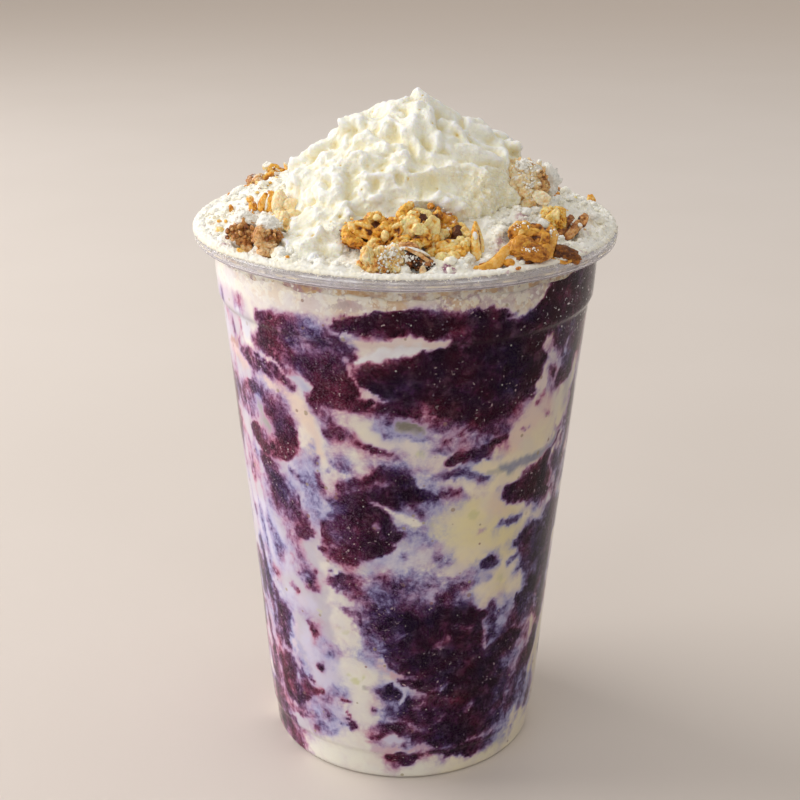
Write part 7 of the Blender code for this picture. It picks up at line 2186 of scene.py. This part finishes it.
    # front: the coated piece, amber on the left and white on the right
    g = Seen(17, -1.2)
    g.ball(372, 261, -41.6, (2.7, 3.3, 2.2), 0.50, 0.22, 5, 8, fold=0.12)
    g.ball(366, 257, -42.0, (1.5, 2.2, 1.6), 0.62, 0.2, 4, 12)
    g.ball(378, 254, -41.4, (2.2, 1.7, 1.6), 0.60, 0.24, 4, -10, dust=0.4)
    g.ball(392, 260, -41.2, (2.8, 3.3, 2.2), 0.78, 0.26, 5, -6, fold=0.14, dust=0.42)
    g.ball(397, 268, -41.8, (2.0, 1.7, 1.6), 0.60, 0.26, 4, 0, dust=0.35)
    g.ball(384, 269, -42.2, (2.0, 1.4, 1.4), 0.22, 0.24, 4)
    g.ball(365, 270, -42.0, (2.2, 1.0, 1.3), 0.36, 0.22, 4)
    for k in range(26):
        bx, by = 381.5 + 4.2 * math.sin(k * 2.4) + 0.10 * (k - 13), 254.5 + 0.88 * k
        g.ball(bx, by, -43.4 - 0.25 * math.cos(k * 1.7), 0.26 + 0.09 * math.sin(k * 5.1), 1.0, 0.14, 2, dust=2.4)
    g.snow(392, 253, -42.8, (2.4, 1.2, 0.6), 105)
    g.snow(396, 263, -43.0, (1.6, 2.0, 0.5), 88)
    g.ball(358.5, 267, -42.0, (0.9, 1.4, 0.9), 0.40, 0.2, 3)
    g.done("coated_piece_front", coated)

    # front: brown flakes with thin powdered edges
    g = Seen(18, -0.6)
    # dark core ball: painted shade showing between the flakes
    g.ball(414, 264, -40.6, (3.8, 2.2, 1.6), 0.02, 0.24, 4, -24)
    g.oat(416, 257, -42.0, 8.0, 2.6, -27, 0.10, (0.0, 0.55), thick=0.7, curl=0.5, dust=0.25)
    g.oat(413, 262, -42.6, 7.0, 2.2, -30, 0.16, (0.0, 0.35), thick=0.6, curl=0.4, dust=0.15)
    g.oat(420, 268, -42.4, 5.4, 2.0, -26, 0.20, (0.0, 0.3), thick=0.6, curl=0.4, dust=0.15)
    g.oat(403, 262, -42.0, 4.6, 2.2, -58, 0.14, (-0.2, 0.3), thick=0.6, dust=0.25)
    g.rod([(404, 248), (413, 252), (423, 258), (431, 264)], [-42.8, -43.0, -43.2, -42.6], [0.3, 0.42, 0.45, 0.3], 0.56, 0.7, dust=0.3)
    g.rod([(399, 248), (410, 249), (420, 252), (428, 256)], [-42.4, -42.6, -42.6, -42.2], [0.3, 0.45, 0.42, 0.25], 0.9, 0.8, dust=1.2)
    g.oat(407, 246, -41.6, 4.4, 2.0, -6, 0.46, (0.0, 0.5), thick=0.9)
    g.snow(409, 258, -43.4, (1.7, 0.7, 0.4), 66)
    g.snow(424, 264, -43.2, (1.8, 1.0, 0.4), 48)
    g.ball(421.5, 271, -44.2, (0.75, 1.2, 0.7), 0.86, 0.12, 3)
    g.ball(412, 275, -44.0, (0.9, 0.5, 0.6), 0.45, 0.2, 3)
    g.done("brown_oat_front", brown)
    return golden, brown


BITS = [  # loose granola bits on the powder: pixel x, y, radii (right, up, depth) mm, tone, turn
    (229, 211, 0.7, 1.1, 0.42, 10), (247, 186, 0.6, 0.45, 0.60, 30), (249, 217, 1.4, 0.9, 0.55, -35), (219, 232, 1.2, 0.7, 0.85, -20),
    (241, 254, 1.6, 0.6, 0.70, -35), (209, 220, 0.35, 0.3, 0.6, 0), (224, 223, 0.4, 0.45, 0.55, 0), (229, 239, 0.6, 0.8, 0.85, 30),
    (554, 193, 1.0, 0.7, 0.45, 30), (589, 199, 1.1, 1.7, 0.50, 8), (600, 235, 0.28, 0.32, 0.85, 0),
    (573, 203, 0.5, 0.4, 0.40, 0), (488, 259, 0.7, 0.5, 0.45, 0), (268, 184, 0.4, 0.35, 0.6, 0),
    (255, 194, 0.5, 0.4, 0.6, 0), (497, 263, 1.4, 0.9, 0.30, 20), (508, 262, 1.3, 0.9, 0.48, -10), (426, 276, 0.6, 0.4, 0.7, 0),
    (302, 275, 0.4, 0.35, 0.6, 0), (286, 258, 0.45, 0.35, 0.5, 0), (517, 267, 0.6, 0.35, 0.30, 12),
]


def make_bits(golden, brown):
    rng = np.random.default_rng(19)
    p, q = Pile(), Pile()
    for i, (px, py, rx, ry, tone, turn) in enumerate(BITS):
        c = hit(px, py, heap_top)
        if c is None:
            continue
        if math.hypot(c[0], c[1]) > 47.0:  # on the dusted roll
            c = CAM_O + ray(px, py) * ((132.85 - CAM_O[2]) / ray(px, py)[2])
            if math.hypot(c[0], c[1]) > 48.3:
                continue
        a = math.radians(turn)
        right = CAM_RIGHT * math.cos(a) + CAM_UP * math.sin(a)
        up = CAM_UP * math.cos(a) - CAM_RIGHT * math.sin(a)
        blob(p, c - ray(px, py) * 0.25, (rx, ry, 0.7 * min(rx, ry) + 0.2), 3, 0.25, 1.4, np.stack([right, up, -ray(px, py)], 1), i * 2.3, tone, dust=0.25)
    # the unseen side and the spaces between carry the same mix
    for pile, n, lo, hi, tn, seed in ((p, 240, 0.3, 1.1, (0.35, 0.95), 3), (q, 70, 0.3, 0.8, (0.2, 0.7), 4)):
        az = rng.uniform(-22, 218, n)
        r = np.sqrt(rng.uniform(29.0 ** 2, 44.0 ** 2, n))
        k = (r > cream_reach(az) + 0.3) & ((az > 12) | (rng.random(n) < 0.3)) & ((az < 170) | (rng.random(n) < 0.4))
        az, r = az[k], r[k]
        x, y = r * np.cos(np.radians(az)), r * np.sin(np.radians(az))
        k = ~hidden_by(np.stack([x, y, heap_top(x, y)], -1))
        x, y = x[k], y[k]
        s = lo + (hi - lo) * rng.random(len(x)) ** 1.7
        crumbs(pile, np.stack([x, y, heap_top(x, y) + 0.2 * s], -1), s, seed, 2, 0.7, tn, 0.14, dust=0.35)
    for k in range(20):  # whole flakes and a few nuts lying on the far side
        az, r = rng.uniform(12, 168), rng.uniform(31, 43)
        x, y = r * math.cos(math.radians(az)), r * math.sin(math.radians(az))
        c = np.array([x, y, float(heap_top(x, y)) + 0.7])
        nrm = np.array([rng.normal() * 0.4 + x * 0.012, rng.normal() * 0.4 + y * 0.012, 1.0])
        if k % 4:
            flake(p if k % 2 else q, c, nrm, rng.normal(size=3), rng.uniform(3.4, 5.4), rng.uniform(2.4, 3.8), rng.uniform(0.8, 1.2), rng.uniform(0.3, 0.9), k * 1.9, rng.uniform(0.4, 0.85), dust=0.3)
        else:
            blob(p if k % 2 else q, c, (rng.uniform(1.8, 3.2), rng.uniform(1.4, 2.2), rng.uniform(1.2, 1.9)), 4, 0.28, 1.2, frame_of(nrm, rng.normal(size=3)), k * 2.1, rng.uniform(0.35, 0.75), 0.2, dust=0.4)
    for pile, name, mat, slot in ((p, "granola_bits", golden, "granola"), (q, "granola_bits_brown", brown, "granola_dark")):
        ob = pile.build(name)
        ob.data.materials.append(mat)
        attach(ob, "root")


make_floor()
make_light()
make_cup()
make_filling()
make_heap()
make_grains()
make_lumps()
make_rim_dust()
make_cream()
golden_look, brown_look = make_granola()
make_bits(golden_look, brown_look)
